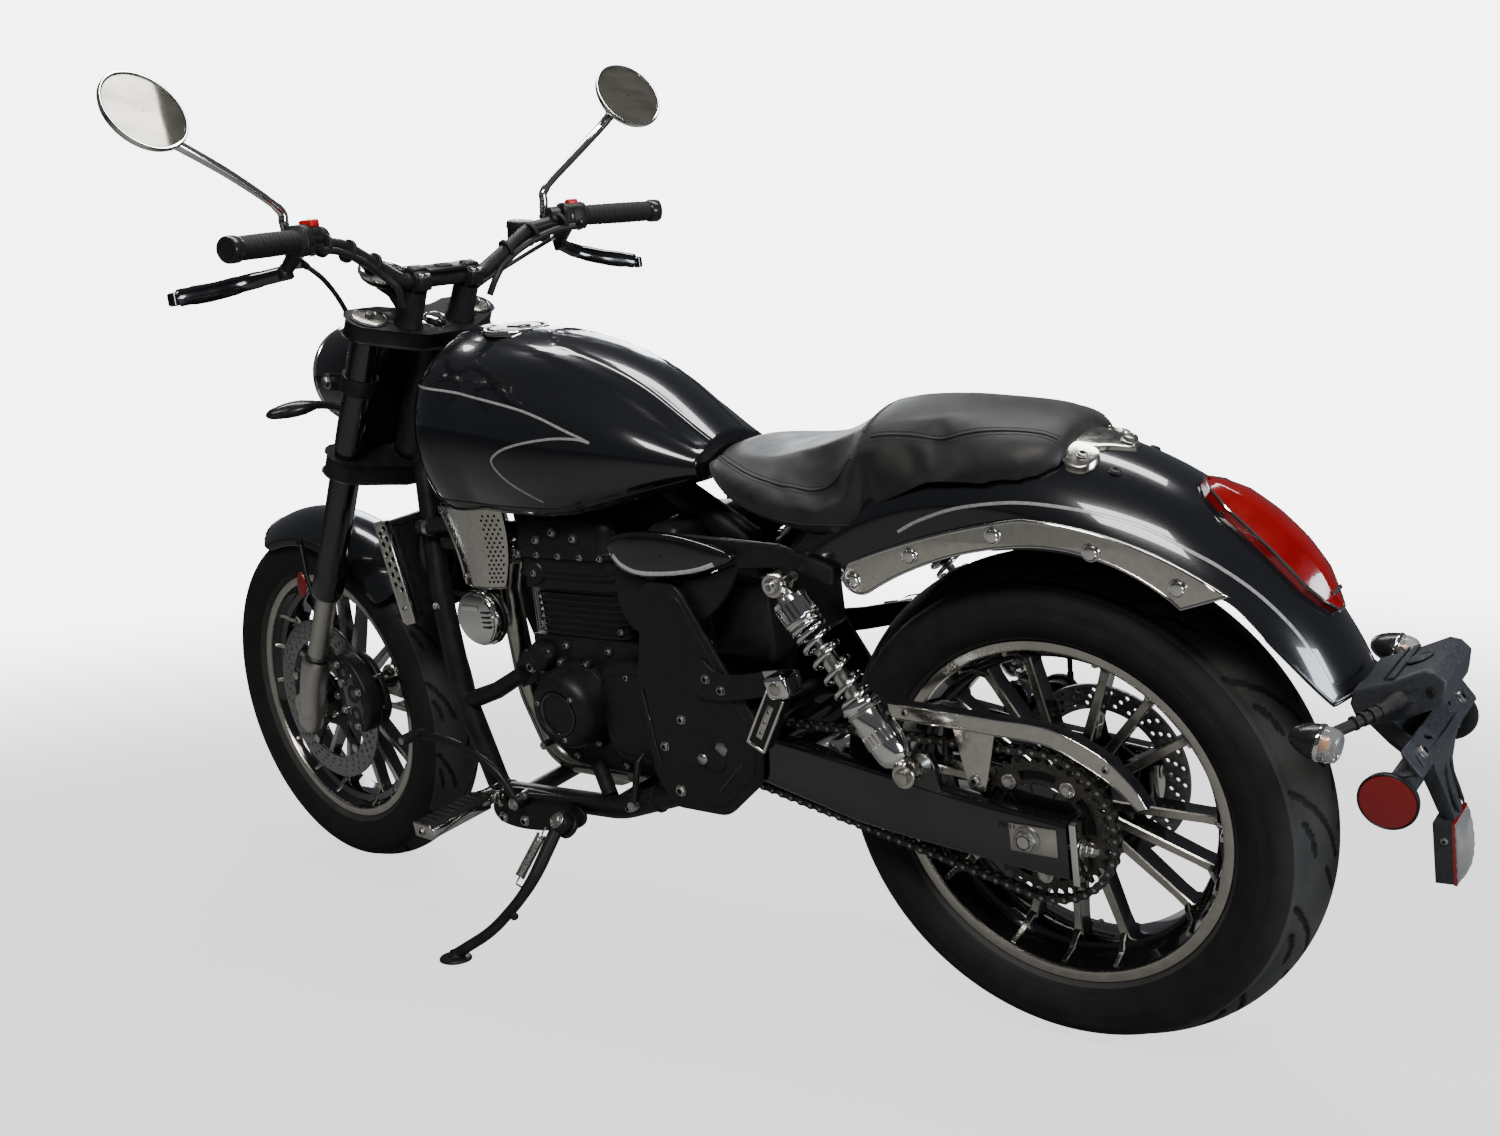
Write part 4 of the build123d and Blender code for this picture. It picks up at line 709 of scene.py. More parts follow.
# ------------------------------------------------------------------ discs and sprocket
def disc_piece(name, body, centre, y, r_out, r_in, carrier_r, inner, node, rows_r, columns, side):
    p = Piece(name, "disc_steel", "engine", "zinc")
    n = 180
    holes = []
    for c in range(columns):
        base = 2 * math.pi * c / columns
        for k, r in enumerate(rows_r):
            a = base + (k - 1) * 2 * math.pi / columns * 0.30
            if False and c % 2:
                continue
            holes.append(circle(r * math.cos(a), r * math.sin(a), 3.0, 10))
    p.plate(centre + Y * y, X, Z, circle(0, 0, r_out - 0.1, n), 4.3, "disc_steel", 0.4, [circle(0, 0, r_in, n)] + holes, res=1)
    # carrier: hub ring with arms out to the floating bobbins
    outline = []
    arms = 5
    for k in range(arms):
        a = math.radians(18 + 72 * k)
        for da, r in ((-0.52, carrier_r), (-0.20, carrier_r + 5), (-0.105, r_in - 14), (-0.10, r_in + 2), (0.10, r_in + 2), (0.105, r_in - 14), (0.20, carrier_r + 5), (0.52, carrier_r)):
            outline.append((r * math.cos(a + da), r * math.sin(a + da)))
    p.plate(centre + Y * y, X, Z, outline, 5.4, "engine", 0.8, [circle(0, 0, 9.2, 32)] +
            [circle((carrier_r - 15) * math.cos(math.radians(54 + 72 * k)), (carrier_r - 15) * math.sin(math.radians(54 + 72 * k)), 7, 16) for k in range(5)])
    for k in range(arms):
        a = math.radians(18 + 72 * k)
        at = centre + Y * (y + side * 2.2) + Vector((math.cos(a), 0, math.sin(a))) * (r_in - 5.5)
        p.solid(at, Y * side, [(0, 8.5), (1.4, 8.5), (1.8, 7.6), (2.4, 4.5)], "zinc", n=20)
        at = centre + Y * (y + side * 2.9) + Vector((math.cos(a), 0, math.sin(a))) * (carrier_r - 14)
        p.hexhead(at, Y * side, 6.2, 3.4, "zinc", socket=True)
    lo, hi = inner
    p.lathe(centre, Y, [(lo, 9.2), (lo, 38 if abs(y) > 60 else 33), (hi, 38 if abs(y) > 60 else 33), (hi, 9.2)], "engine", 48)
    p.done(body, node, angle=35)


disc_piece("rear_brake_disc", "rear_wheel", REAR_AXLE, -84.0, 120.0, 86.0, 48.0, (-82.0, -66.2), "rear_disc", (94, 103, 112), 30, -1)
disc_piece("front_brake_disc", "front_wheel", FRONT_AXLE, 56.0, 149.0, 111.0, 48.0, (48.2, 60.0), "front_disc", (120, 130, 140), 36, 1)

p = Piece("rear_sprocket_plate", "chain", "engine", "zinc", "gloss")
teeth = 39
outline = []
for k in range(teeth):
    for f, r in ((0.0, 84.0), (0.22, 85.2), (0.40, 91.2), (0.60, 91.2), (0.78, 85.2)):
        a = 2 * math.pi * (k + f) / teeth
        outline.append((r * math.cos(a), r * math.sin(a)))
slots = []
for k in range(5):
    a0 = math.radians(72 * k + 18)
    inner = [(62 * math.cos(a0 + t), 62 * math.sin(a0 + t)) for t in (-0.36, -0.18, 0, 0.18, 0.36)]
    outer = [(74 * math.cos(a0 + t), 74 * math.sin(a0 + t)) for t in (0.36, 0.18, 0, -0.18, -0.36)]
    slots.append(inner + outer)
p.plate(REAR_AXLE + Y * 98, X, Z, outline, 5.6, "chain", 0.6, [circle(0, 0, 40, 48)] + slots, res=1)
p.lathe(REAR_AXLE, Y, [(66.3, 9.2), (66.3, 54), (70, 56), (92, 77.5), (94.8, 77.5), (94.8, 9.2)], "engine", 64)
p.lathe(REAR_AXLE, Y, [(94.8, 58), (100.4, 58), (101.8, 56.5), (102.6, 44), (102.9, 40), (102.9, 20), (101, 17), (101, 9.2)], "gloss", 64)
for k in range(5):
    a = math.radians(72 * k + 54)
    at = REAR_AXLE + Y * 100.6 + Vector((math.cos(a), 0, math.sin(a))) * 67
    p.hexhead(at, Y, 7.4, 4.2, "zinc")
for k in range(10):
    a = math.radians(36 * k + 9)
    way = Vector((math.cos(a), 0, math.sin(a)))
    p.box(REAR_AXLE + Y * 101.2 + way * 48, (16, 3, 3.4), "engine", 0.8, axes=(way, Y, way.cross(Y)))
p.done("rear_wheel", "rear_sprocket", angle=32)

# ------------------------------------------------------------------ drive chain
FS = Vector((528.0, 0, 378.0))
span_v = FS - REAR_AXLE
span = math.hypot(span_v.x, span_v.z)
lean_c = math.atan2(span_v.z, span_v.x)
open_c = math.acos((98.5 - 38.0) / span)
loop = []
for c, r, a0, a1, n in ((REAR_AXLE, 98.5, lean_c + open_c, lean_c + 2 * math.pi - open_c, 220), (FS, 38.0, lean_c - open_c, lean_c + open_c, 60)):
    loop += [Vector((c.x + r * math.cos(a0 + (a1 - a0) * k / n), 98.0, c.z + r * math.sin(a0 + (a1 - a0) * k / n))) for k in range(n + 1)]
lens = [0.0]
for a, b in zip(loop, loop[1:] + loop[:1]):
    lens.append(lens[-1] + (b - a).length)
pitches = int(round(lens[-1] / 15.875 / 2)) * 2


def on_loop(s):
    s %= lens[-1]
    lo, hi = 0, len(loop)
    while hi - lo > 1:
        mid = (lo + hi) // 2
        if lens[mid] <= s:
            lo = mid
        else:
            hi = mid
    a, b = loop[lo], loop[(lo + 1) % len(loop)]
    t = (s - lens[lo]) / max(1e-6, lens[lo + 1] - lens[lo])
    return a.lerp(b, t)


pins = [on_loop(lens[-1] * k / pitches) for k in range(pitches)]
p = Piece("drive_chain_links", "chain", "steel")
for k in range(pitches):
    a, b = pins[k], pins[(k + 1) % pitches]
    way = (b - a).normalized()
    nrm = Y.cross(way)
    mid = (a + b) / 2
    L = (b - a).length / 2
    outer = k % 2 == 0
    h = 5.6 if outer else 5.9
    prof = []
    for s in (1, -1):
        for t in (-75, -37, 0, 37, 75):
            ang = math.radians(t)
            prof.append((s * (L + h * math.cos(ang)), s * h * math.sin(ang)))
        prof.append((0.0, s * h * 0.62))
    for s in (1, -1):
        y0, y1 = ((5.4, 7.0) if outer else (3.6, 5.2))
        verts = [mid + way * u + nrm * w + Y * (s * y0) for u, w in prof] + [mid + way * u + nrm * w + Y * (s * y1) for u, w in prof]
        q = len(prof)
        faces = [tuple(range(q, 2 * q)), tuple(range(q))[::-1]] + [(i, (i + 1) % q, q + (i + 1) % q, q + i) for i in range(q)]
        p.put(verts, faces, "chain")
    p.solid(a - Y * 3.5, Y, [(0, 4.9), (7.0, 4.9)], "steel", n=10)
    p.solid(a - Y * 7.3, Y, [(0, 2.1), (0.2, 2.5), (14.4, 2.5), (14.6, 2.1)], "steel", n=8)
p.done("frame", "drive_chain", angle=32, weld=False)


# ------------------------------------------------------------------ tank
# x, bottom z, bottom half width, widest z, half width, shoulder z, shoulder half width, crest z
TANK = [(484, 748, 60, 772, 84, 787, 57, 802), (590, 722, 92, 785, 126, 847, 86, 888), (720, 700, 114, 790, 150, 885, 109, 943),
        (868, 704, 116, 800, 152, 905, 118, 961), (980, 716, 108, 812, 137, 898, 113, 945), (1000, 730, 96, 812, 118, 884, 96, 918)]


def lookup(table, x):
    """Linear table reading."""
    if x <= table[0][0]:
        return table[0][1]
    for (a, u), (b, v) in zip(table, table[1:]):
        if x <= b:
            return u + (v - u) * (x - a) / (b - a)
    return table[-1][1]


def between(table, x):
    """Smooth reading of a section table at x."""
    xs = [row[0] for row in table]
    x = min(max(x, xs[0]), xs[-1])
    i = max(0, min(len(xs) - 2, sum(1 for v in xs if v <= x) - 1))
    h = xs[i + 1] - xs[i]
    t = (x - xs[i]) / h

    def slope(k, c):
        if k == 0:
            return (table[1][c] - table[0][c]) / (xs[1] - xs[0])
        if k == len(xs) - 1:
            return (table[-1][c] - table[-2][c]) / (xs[-1] - xs[-2])
        a = (table[k][c] - table[k - 1][c]) / (xs[k] - xs[k - 1])
        b = (table[k + 1][c] - table[k][c]) / (xs[k + 1] - xs[k])
        return (a * (xs[k + 1] - xs[k]) + b * (xs[k] - xs[k - 1])) / (xs[k + 1] - xs[k - 1])

    out = []
    for c in range(1, 8):
        m0, m1 = slope(i, c), slope(i + 1, c)
        out.append((2 * t ** 3 - 3 * t ** 2 + 1) * table[i][c] + (t ** 3 - 2 * t ** 2 + t) * h * m0
                   + (-2 * t ** 3 + 3 * t ** 2) * table[i + 1][c] + (t ** 3 - t ** 2) * h * m1)
    return out


def ring_of(table, x, n, soften):
    zb, wb, zm, wm, zs, ws, zt = between(table, x)
    pts = [(-wb + 2 * wb * k / 16, zb) for k in range(16)]
    pts += arc3((wb, zb), (wm, zm), (ws, zs), 48)[:-1]
    pts += arc3((ws, zs), (0, zt), (-ws, zs), 64)[:-1]
    pts += arc3((-ws, zs), (-wm, zm), (-wb, zb), 48)[:-1]
    P = np.array(pts + [pts[0]])
    d = np.concatenate([[0], np.cumsum(np.hypot(*np.diff(P, axis=0).T))])
    # start and stop at the middle of the top so that both sides are alike
    s0 = np.interp(0.5, [0, 1], [0, d[-1]])
    s = (np.arange(n) / n) * d[-1]
    q = np.stack([np.interp(s, d, P[:, 0]), np.interp(s, d, P[:, 1])], 1)
    if soften > 0:
        step = d[-1] / n
        k = max(1, int(3 * soften / step))
        w = np.exp(-0.5 * (np.arange(-k, k + 1) * step / soften) ** 2)
        w /= w.sum()
        ext = np.concatenate([q[-k:], q, q[:k]])
        q = np.stack([np.convolve(ext[:, c], w, "valid") for c in (0, 1)], 1)
    return q


OUTER_CREASE = [(484, 62), (530, 70), (622, 76), (721, 74), (826, 60), (918, 46), (1000, 40)]
TONGUE = [(484, 40), (545, 46), (600, 50), (680, 52), (740, 46), (765, 34), (778, 12)]


def tank_surface():
    rows = []
    nx, nr = ((142, 164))
    R = 15.0
    for i in range(9):
        a = math.pi / 2 * i / 8
        rows.append((1000 - R + R * math.cos(a) if i < 8 else 1000 - R, R * (1 - math.sin(a))))
    rows = rows[:-1]
    for i in range(nx + 1):
        rows.append((1000 - R - (1000 - R - 486) * i / nx, 0.0))
    rows.append((484.4, 3.0))
    grid = []
    for x, inset in rows:
        q = ring_of(TANK, x, nr, 9.0)
        c = q.mean(0)
        out = []
        yc, yt = lookup(OUTER_CREASE, x), lookup(TONGUE, x)
        for y, z in q:
            top = z > c[1] + 20
            lift = 0.0
            if top:
                s = min(1, max(0, (yc + 2.5 - abs(y)) / 5.0))
                lift += 2.0 * s * s * (3 - 2 * s)
                if x < 779:
                    lift += 1.7 * math.exp(-((abs(y) - yt) / 2.6) ** 2)
                    if abs(y) < yt:
                        lift -= 1.1 * min(1.0, (yt - abs(y)) / 5)
            v = Vector((y - c[0], z - c[1]))
            k = (v.length - inset) / v.length
            out.append(Vector((x, c[0] + v.x * k, c[1] + v.y * k + lift * (1 if inset == 0 else 0.3))))
        grid.append(out)
    return grid


def bvh_of(piece):
    return BVHTree.FromPolygons([Vector(v) for v in piece.v], piece.f)


def ribbon(p, tree, points, width, lift, mat, steps=3.0, limit=40.0, core=(None, 0.0, 800.0)):
    """Thin painted line: a flat strip lying on a surface along points near it."""
    pts = []
    for a, b in zip(points, points[1:]):
        n = max(1, int((b - a).length / steps))
        pts += [a.lerp(b, k / n) for k in range(n)]
    pts.append(points[-1])
    rows = []
    for k, q in enumerate(pts):
        hit = tree.find_nearest(q, limit)
        if hit[0] is None:
            continue
        way = (pts[min(k + 1, len(pts) - 1)] - pts[max(k - 1, 0)]).normalized()
        nrm = hit[1]
        if nrm.dot(hit[0] - Vector((hit[0].x if core[0] is None else core[0], core[1], core[2]))) < 0:
            nrm = -nrm
        side = nrm.cross(way).normalized()
        row = []
        for w in (-0.5, -0.17, 0.17, 0.5):
            s = hit[0] + side * (w * width)
            h2 = tree.find_nearest(s, limit)
            base = h2[0] if h2[0] is not None else s
            row.append(base + nrm * (lift * (1.0 if abs(w) < 0.4 else 0.55)))
        rows.append(row)
    if len(rows) > 1:
        p.grid(rows, mat)
    return rows


def shoot(tree, origins, way):
    out = []
    for o in origins:
        h = tree.ray_cast(o, way)
        if h[0] is not None:
            out.append(h[0].copy())
    return out


p = Piece("tank_shell", "gloss_flake", "gloss", "satin", "pinstripe")
grid = tank_surface()
p.grid(grid, "gloss_flake", close_v=True)
for row in (grid[0], grid[-1]):
    c = sum(row, Vector()) / len(row)
    inner = [c + (q - c) * 0.5 for q in row]
    p.grid([row, inner, [c.copy() for _ in row]], "gloss_flake", close_v=True)
tank_tree = bvh_of(p)
MAIN = [(989, 903), (955, 900), (915, 895), (880, 889.5), (844, 883), (807, 876), (770, 868), (740, 860), (711, 850), (686, 840), (662, 830), (645, 823), (628, 815)]
BACK = [(628, 815), (645, 820), (668, 822.5), (690, 823), (707, 822), (728, 820), (748, 817), (768, 813), (784, 808), (797, 801), (804, 795), (804, 788), (800, 781), (792, 771),
        (781, 761), (767, 751), (754, 743), (743, 736), (731, 729)]
for s in (1, -1):
    for line in (MAIN, BACK):
        smooth = curve_through([(x, s * 300, z) for x, z in line], per=4)
        pts = shoot(tank_tree, smooth, Vector((0, -s, 0)))
        ribbon(p, tank_tree, pts, 3.6, 0.25, "pinstripe")
# seam flange under the rim
for s in (1, -1):
    seam = shoot(tank_tree, [Vector((x, s * 300, lookup([(484, 757), (590, 737), (720, 716), (868, 720), (985, 732)], x))) for x in range(500, 985, 8)], Vector((0, -s, 0)))
    p.pipe(seam, 1.7, "gloss", n=8)
p.done("frame", "fuel_tank", angle=50, weld=True)

# ------------------------------------------------------------------ filler cap
CAP_Z = Vector((-0.06, 0, 1)).normalized()
CAP_C = Vector((868, 0, 958.5))
p = Piece("filler_cap_parts", "chrome", "polish", "satin", "steel")
p.lathe(CAP_C, CAP_Z, [(0, 52), (3.5, 52), (6.2, 50.6), (7.2, 48.4), (7.0, 46), (5.0, 44.5), (4.4, 43)], "chrome", 96)
p.lathe(CAP_C, CAP_Z, [(4.4, 43), (3.2, 42), (3.2, 40.5)], "satin", 96)
p.lathe(CAP_C, CAP_Z, [(3.2, 40.5), (5.6, 39.8), (7.0, 38.5), (7.6, 36), (7.9, 20), (8.0, 0.01)], "polish", 96)
p.box(CAP_C + CAP_Z * 8.4 + X * -8, (34, 20, 2.4), "polish", 1.0, axes=(Vector((1, 0, 0.06)), Y, CAP_Z))
p.box(CAP_C + CAP_Z * 9.2 + X * -20, (10, 14, 2.4), "chrome", 1.0, axes=(Vector((1, 0, 0.06)), Y, CAP_Z))
for k in range(6):
    a = math.radians(60 * k + 30)
    p.hexhead(CAP_C + CAP_Z * 5.8 + X * (48 * math.cos(a)) + Y * (48 * math.sin(a)), CAP_Z, 2.6, 1.4, "steel", washer=False, socket=True)
p.done("frame", "filler_cap", angle=35)


# ------------------------------------------------------------------ fenders
def fender_piece(name, body, node, centre, r_top, half, r_side, r_low, arc, edge_at, mat, thick, nt, bead=2.6, stripe=None):
    sag = r_top - r_side
    ra = (half ** 2 + sag ** 2) / (2 * sag)
    rc = r_top - ra
    phi = math.asin(half / ra)
    arc_len = ra * phi

    def at(theta, s, inset=0.0):
        sg = 1 if s >= 0 else -1
        s = abs(s)
        if s <= arc_len:
            f = s / ra
            y, r = (ra - inset) * math.sin(f), rc + (ra - inset) * math.cos(f)
        else:
            y, r = half - inset, r_side - (s - arc_len)
        return centre + Vector((r * math.cos(theta), sg * y, r * math.sin(theta)))

    p = Piece(name, mat, "satin", "pinstripe", "gloss")
    cols = 46
    outer, inner, left, right_e, ends = [], [], [], [], []
    for i in range(nt + 1):
        th = math.radians(arc[0] + (arc[1] - arc[0]) * i / nt)
        kind, val = edge_at(th)
        if kind == "y":
            s_edge = ra * math.asin(val / ra)
        else:
            r_e = max(val, r_low)
            s_edge = arc_len + (r_side - r_e) if r_e <= r_side else ra * math.acos(min(1, max(-1, (r_e - rc) / ra)))
        outer.append([at(th, s_edge * (2 * k / cols - 1)) for k in range(cols + 1)])
        inner.append([at(th, s_edge * (2 * k / cols - 1), thick) for k in range(cols + 1)])
        ends.append((th, s_edge))
    p.grid(outer, mat)
    p.grid(inner, "satin")
    for k in (0, cols):
        p.grid([[o[k], q[k]] for o, q in zip(outer, inner)], mat)
    for i in (0, nt):
        p.grid([[o, q] for o, q in zip(outer[i], inner[i])], mat)
    edge = [row[cols].copy() for row in outer]
    loop_pts = [row[0] for row in outer] + outer[-1][1:-1] + [row[cols] for row in reversed(outer)] + outer[0][1:-1][::-1]
    mid_shift = [q.lerp(centre + Vector((q - centre)), 1) for q in loop_pts]
    p.pipe([q - Vector((0, math.copysign(thick / 2, q.y) if abs(q.y) > half * 0.8 else 0, 0)) for q in mid_shift], bead, mat, n=10, closed=True)
    if stripe:
        for sg in (1, -1):
            rows = []
            for th, se in ends:
                if not stripe[0] <= math.degrees(th) <= stripe[1]:
                    continue
                rows.append([at(th, sg * (se - stripe[2] + w)) + (at(th, sg * (se - stripe[2] + w)) - at(th, sg * (se - stripe[2] + w), 1.0)) * (0.25 if abs(w) < 1.5 else 0.12)
                             for w in (-1.8, -0.6, 0.6, 1.8)])
            p.grid(rows, "pinstripe")
    return p, at, ends, arc_len


FENDER_C = Vector((60.0, 0, 350.0))
EDGE = [(236, 640), (198, 621), (140, 646), (94, 668), (36, 684), (-20, 690), (-72, 687), (-120, 677), (-166, 660), (-207, 646), (-250, 635),
        (-300, 580), (-338, 533), (-372, 488), (-400, 440)]
edge_pts = [(q.x, q.y) for q in curve_through([(x, z, 0) for x, z in EDGE[1:]], per=8)]
edge_pts = [(236, 632)] + edge_pts
edge_polar = sorted((math.atan2(z - 350, x - 60), math.hypot(x - 60, z - 350)) for x, z in edge_pts)


def rear_edge(th):
    if th < math.radians(38.6):
        return "y", 84.0
    if th < math.radians(58.7):
        return "r", 290.0 / math.sin(th)
    return "r", lookup(edge_polar, th)


p, rear_at, rear_ends, rear_arc = fender_piece("rear_fender_shell", "frame", "rear_fender", FENDER_C, 466.0, 118.0, 390.0, 339.0, (24.0, 158.0), rear_edge, "gloss_flake", 4.0,
                                               200)
rear_tree = bvh_of(p)
LINE = curve_through([(150, 703, 0), (120, 718, 0), (67, 735, 0), (9, 742.5, 0), (-38, 741.5, 0), (-94, 733, 0), (-139, 721, 0), (-175, 706, 0), (-206, 688, 0),
                      (-232, 672, 0), (-260, 651, 0), (-283, 630, 0), (-306, 604, 0), (-323, 580, 0), (-340, 550, 0), (-352, 524, 0)], per=5)
for s in (1, -1):
    ribbon(p, rear_tree, shoot(rear_tree, [Vector((q.x, s * 300, q.y)) for q in LINE], Vector((0, -s, 0))), 4.0, 0.3, "pinstripe", core=(60.0, 0.0, 350.0))
# bolts of the strut on the fender
for th in (100.0, 128.0):
    p.hexhead(rear_at(math.radians(th), 30), (rear_at(math.radians(th), 30) - rear_at(math.radians(th), 30, 4)).normalized(), 5, 3, "satin", socket=True)
p.done("frame", "rear_fender", angle=50)


def front_edge(th):
    a0, a1 = math.radians(67.0), math.radians(138.0)
    d = min(th - a0, a1 - th)
    corner = math.radians(6.0)
    if d >= corner:
        return "r", 290.0
    k = 1 - math.sqrt(max(0.0, 1 - (1 - d / corner) ** 2))
    return "r", 290.0 + 26.0 * k


p, front_at, front_ends, front_arc = fender_piece("front_fender_shell", "fork", "front_fender", FRONT_AXLE, 348.0, 69.0, 302.0, 290.0, (67.0, 138.0), front_edge, "gloss_flake", 3.5,
                                                  100, bead=2.0)
# stays down to the fork legs
for s in (1, -1):
    for th, t0 in ((92, 520), (112, 560)):
        a = front_at(math.radians(th), s * (front_arc + 6))
        b = steer(t0 - 30, 33.5 - (14 if th > 100 else -10), s * 84)
        p.pipe([a, a.lerp(b, 0.35) + Y * (s * 5), b], 4.0, "satin", n=10)
        p.hexhead(a + Y * (s * 1), Y * s, 5.5, 3.5, "satin")
    p.box(front_at(math.radians(102), s * (front_arc + 4)) + Y * (s * 2), (70, 4, 16), "satin", 1.5, axes=(Vector((math.sin(math.radians(102)), 0, -math.cos(math.radians(102)))), Y, Vector((math.cos(math.radians(102)), 0, math.sin(math.radians(102))))))
p.done("fork", "front_fender", angle=50)

# ------------------------------------------------------------------ seat
def world_copy(node, name):
    src = frame["nodes"][node]
    me = src.data.copy()
    me.transform(src.matrix_world)
    ob = bpy.data.objects.new(name, me)
    bpy.context.scene.collection.objects.link(ob)
    return ob


def apply_all(ob):
    dg = bpy.context.evaluated_depsgraph_get()
    me = bpy.data.meshes.new_from_object(ob.evaluated_get(dg))
    old = ob.data
    ob.modifiers.clear()
    ob.data = me
    if old.users == 0:
        bpy.data.meshes.remove(old)


seat = world_copy("seat", "seat_cushion")
seat.data.materials.clear()
seat.data.materials.append(MATS["leather"])
m = seat.modifiers.new("r", "REMESH")
m.mode = "VOXEL"
m.voxel_size = 0.0068
m.use_smooth_shade = True
apply_all(seat)
me = seat.data
co = np.empty(len(me.vertices) * 3)
me.vertices.foreach_get("co", co)
co = co.reshape(-1, 3)
no = np.empty(len(me.vertices) * 3)
me.vertices.foreach_get("normal", no)
no = no.reshape(-1, 3)
start = co.copy()
# a slightly smaller body before it is blown up
co = co - no * 0.0035
me.vertices.foreach_set("co", co.ravel())
me.update()
m = seat.modifiers.new("s", "SMOOTH")
m.factor, m.iterations = 0.5, 10
apply_all(seat)
m = seat.modifiers.new("c", "CLOTH")
st = m.settings
st.use_pressure = True
st.uniform_pressure_force = 4.0
st.quality = 5
st.tension_stiffness = 25
st.compression_stiffness = 25
st.shear_stiffness = 15
st.bending_stiffness = 2.0
st.effector_weights.gravity = 0.0
m.collision_settings.use_collision = False
for f in range(1, 21):
    bpy.context.scene.frame_set(f)
apply_all(seat)
bpy.context.scene.frame_set(1)
me = seat.data
now = np.empty(len(me.vertices) * 3)
me.vertices.foreach_get("co", now)
now = now.reshape(-1, 3)
if len(now) == len(start):
    # upper faces may crown 5 mm over the solid, sides and what lies on tank or fender stay put
    up = np.clip(no[:, 2], 0, 1)
    cap = 0.0012 + 0.0045 * up ** 2
    out = ((now - start) * no).sum(1)
    over = np.clip(out - cap, 0, None)
    now = now - no * over[:, None]
    me.vertices.foreach_set("co", now.ravel())
    me.update()
m = seat.modifiers.new("s", "SMOOTH")
m.factor, m.iterations = 0.5, 3
apply_all(seat)
m = seat.modifiers.new("u", "SUBSURF")
m.levels = m.render_levels = 1
apply_all(seat)
seat.data.polygons.foreach_set("use_smooth", [True] * len(seat.data.polygons))
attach(seat, "frame")
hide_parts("seat")
inv = (MM @ PARK).inverted()
seat_pts = [inv @ v.co for v in seat.data.vertices]
seat_tree = BVHTree.FromPolygons(seat_pts, [tuple(f.vertices) for f in seat.data.polygons])
p = Piece("seat_seams", "thread", "leather")


def seam(line, way, r=1.6, mat="leather", stitch=True, gap=4.2, offset=5.5):
    pts = shoot(seat_tree, [Vector(q) for q in curve_through(line, per=8)], Vector(way))
    if len(pts) < 3:
        return
    sm = []
    for k in range(len(pts)):
        a = pts[max(0, k - 1):k + 2]
        sm.append(sum(a, Vector()) / len(a))
    p.pipe(sm, r, mat, n=8)
    if stitch:
        for off in (-offset, offset):
            acc = 0.0
            for a, b in zip(sm, sm[1:]):
                L = (b - a).length
                w = (b - a).normalized()
                while acc < L:
                    q = a + w * acc
                    h = seat_tree.find_nearest(q)
                    side = h[1].cross(w).normalized()
                    h2 = seat_tree.find_nearest(q + side * off)
                    p.box(h2[0] + h2[1] * 0.25, (2.6, 0.8, 0.7), "thread", 0.0, axes=(w, side, h2[1]))
                    acc += gap
                acc -= L


for s in (1, -1):
    # piping along the pillion's and the rider's upper edges
    seam([(-50, s * 64, 900), (0, s * 76, 900), (60, s * 82, 900), (130, s * 86, 900), (196, s * 90, 900)], (0, 0, -1))
    seam([(214, s * 100, 900), (290, s * 112, 900), (360, s * 112, 900), (420, s * 88, 900), (468, s * 50, 900)], (0, 0, -1))
    # lower welt of the base
    seam([(-40, s * 300, 772), (60, s * 300, 742), (140, s * 300, 722), (200, s * 300, 712)], (0, -s, 0), r=1.4, stitch=False)
    seam([(214, s * 300, 708), (290, s * 300, 712), (360, s * 300, 727), (420, s * 300, 747)], (0, -s, 0), r=1.4, stitch=False)
seam([(206, -84, 900), (206, -40, 900), (206, 0, 900), (206, 40, 900), (206, 84, 900)], (0, 0, -1), r=1.8)
p.done("frame", angle=50)
# ------------------------------------------------------------------ tail: lamp, plate bracket, reflectors
def polar(theta, r, y=0.0):
    """Point about the rear fender's centre, theta in degrees."""
    a = math.radians(theta)
    return FENDER_C + Vector((r * math.cos(a), y, r * math.sin(a)))


def button(p, at, way, r, h, mat, hole=0.5):
    """Round bolt head with a hexagon socket, on a thin washer."""
    u, v, w = plane_axes(way)
    at = Vector(at)
    p.solid(at - w * 0.4, w, [(0, r * 1.18), (h * 0.28, r * 1.18), (h * 0.34, r * 1.1)], mat, n=28)
    a = at + w * (h * 0.3)
    p.lathe(a, w, [(0, r), (h * 0.3, r), (h * 0.6, r * 0.88), (h * 0.7, r * hole * 1.15)], mat, n=28)
    ring = [(r * hole * 1.15, h * 0.7), (r * hole, h * 0.66), (r * hole, h * 0.2)]
    p.lathe(a, w, [(z, q) for q, z in ring] + [(h * 0.15, 0.01)], "satin", n=6)


def around(outline, cx, cy, k):
    """Outline drawn in towards its middle by k millimetres (roughly)."""
    out = []
    for x, y in outline:
        d = math.hypot(x - cx, y - cy)
        out.append((x + (cx - x) * k / d, y + (cy - y) * k / d))
    return out


def bar_plate(p, xs, y0, y1, mat, bevel=1.0, res=3, holes=()):
    """Plate drawn in x, z standing between two y planes."""
    p.plate((0, (y0 + y1) / 2, 0), -X, Z, [(-x, z) for x, z in xs], abs(y1 - y0), mat, bevel, [[(-x, z) for x, z in h] for h in holes], res=res)


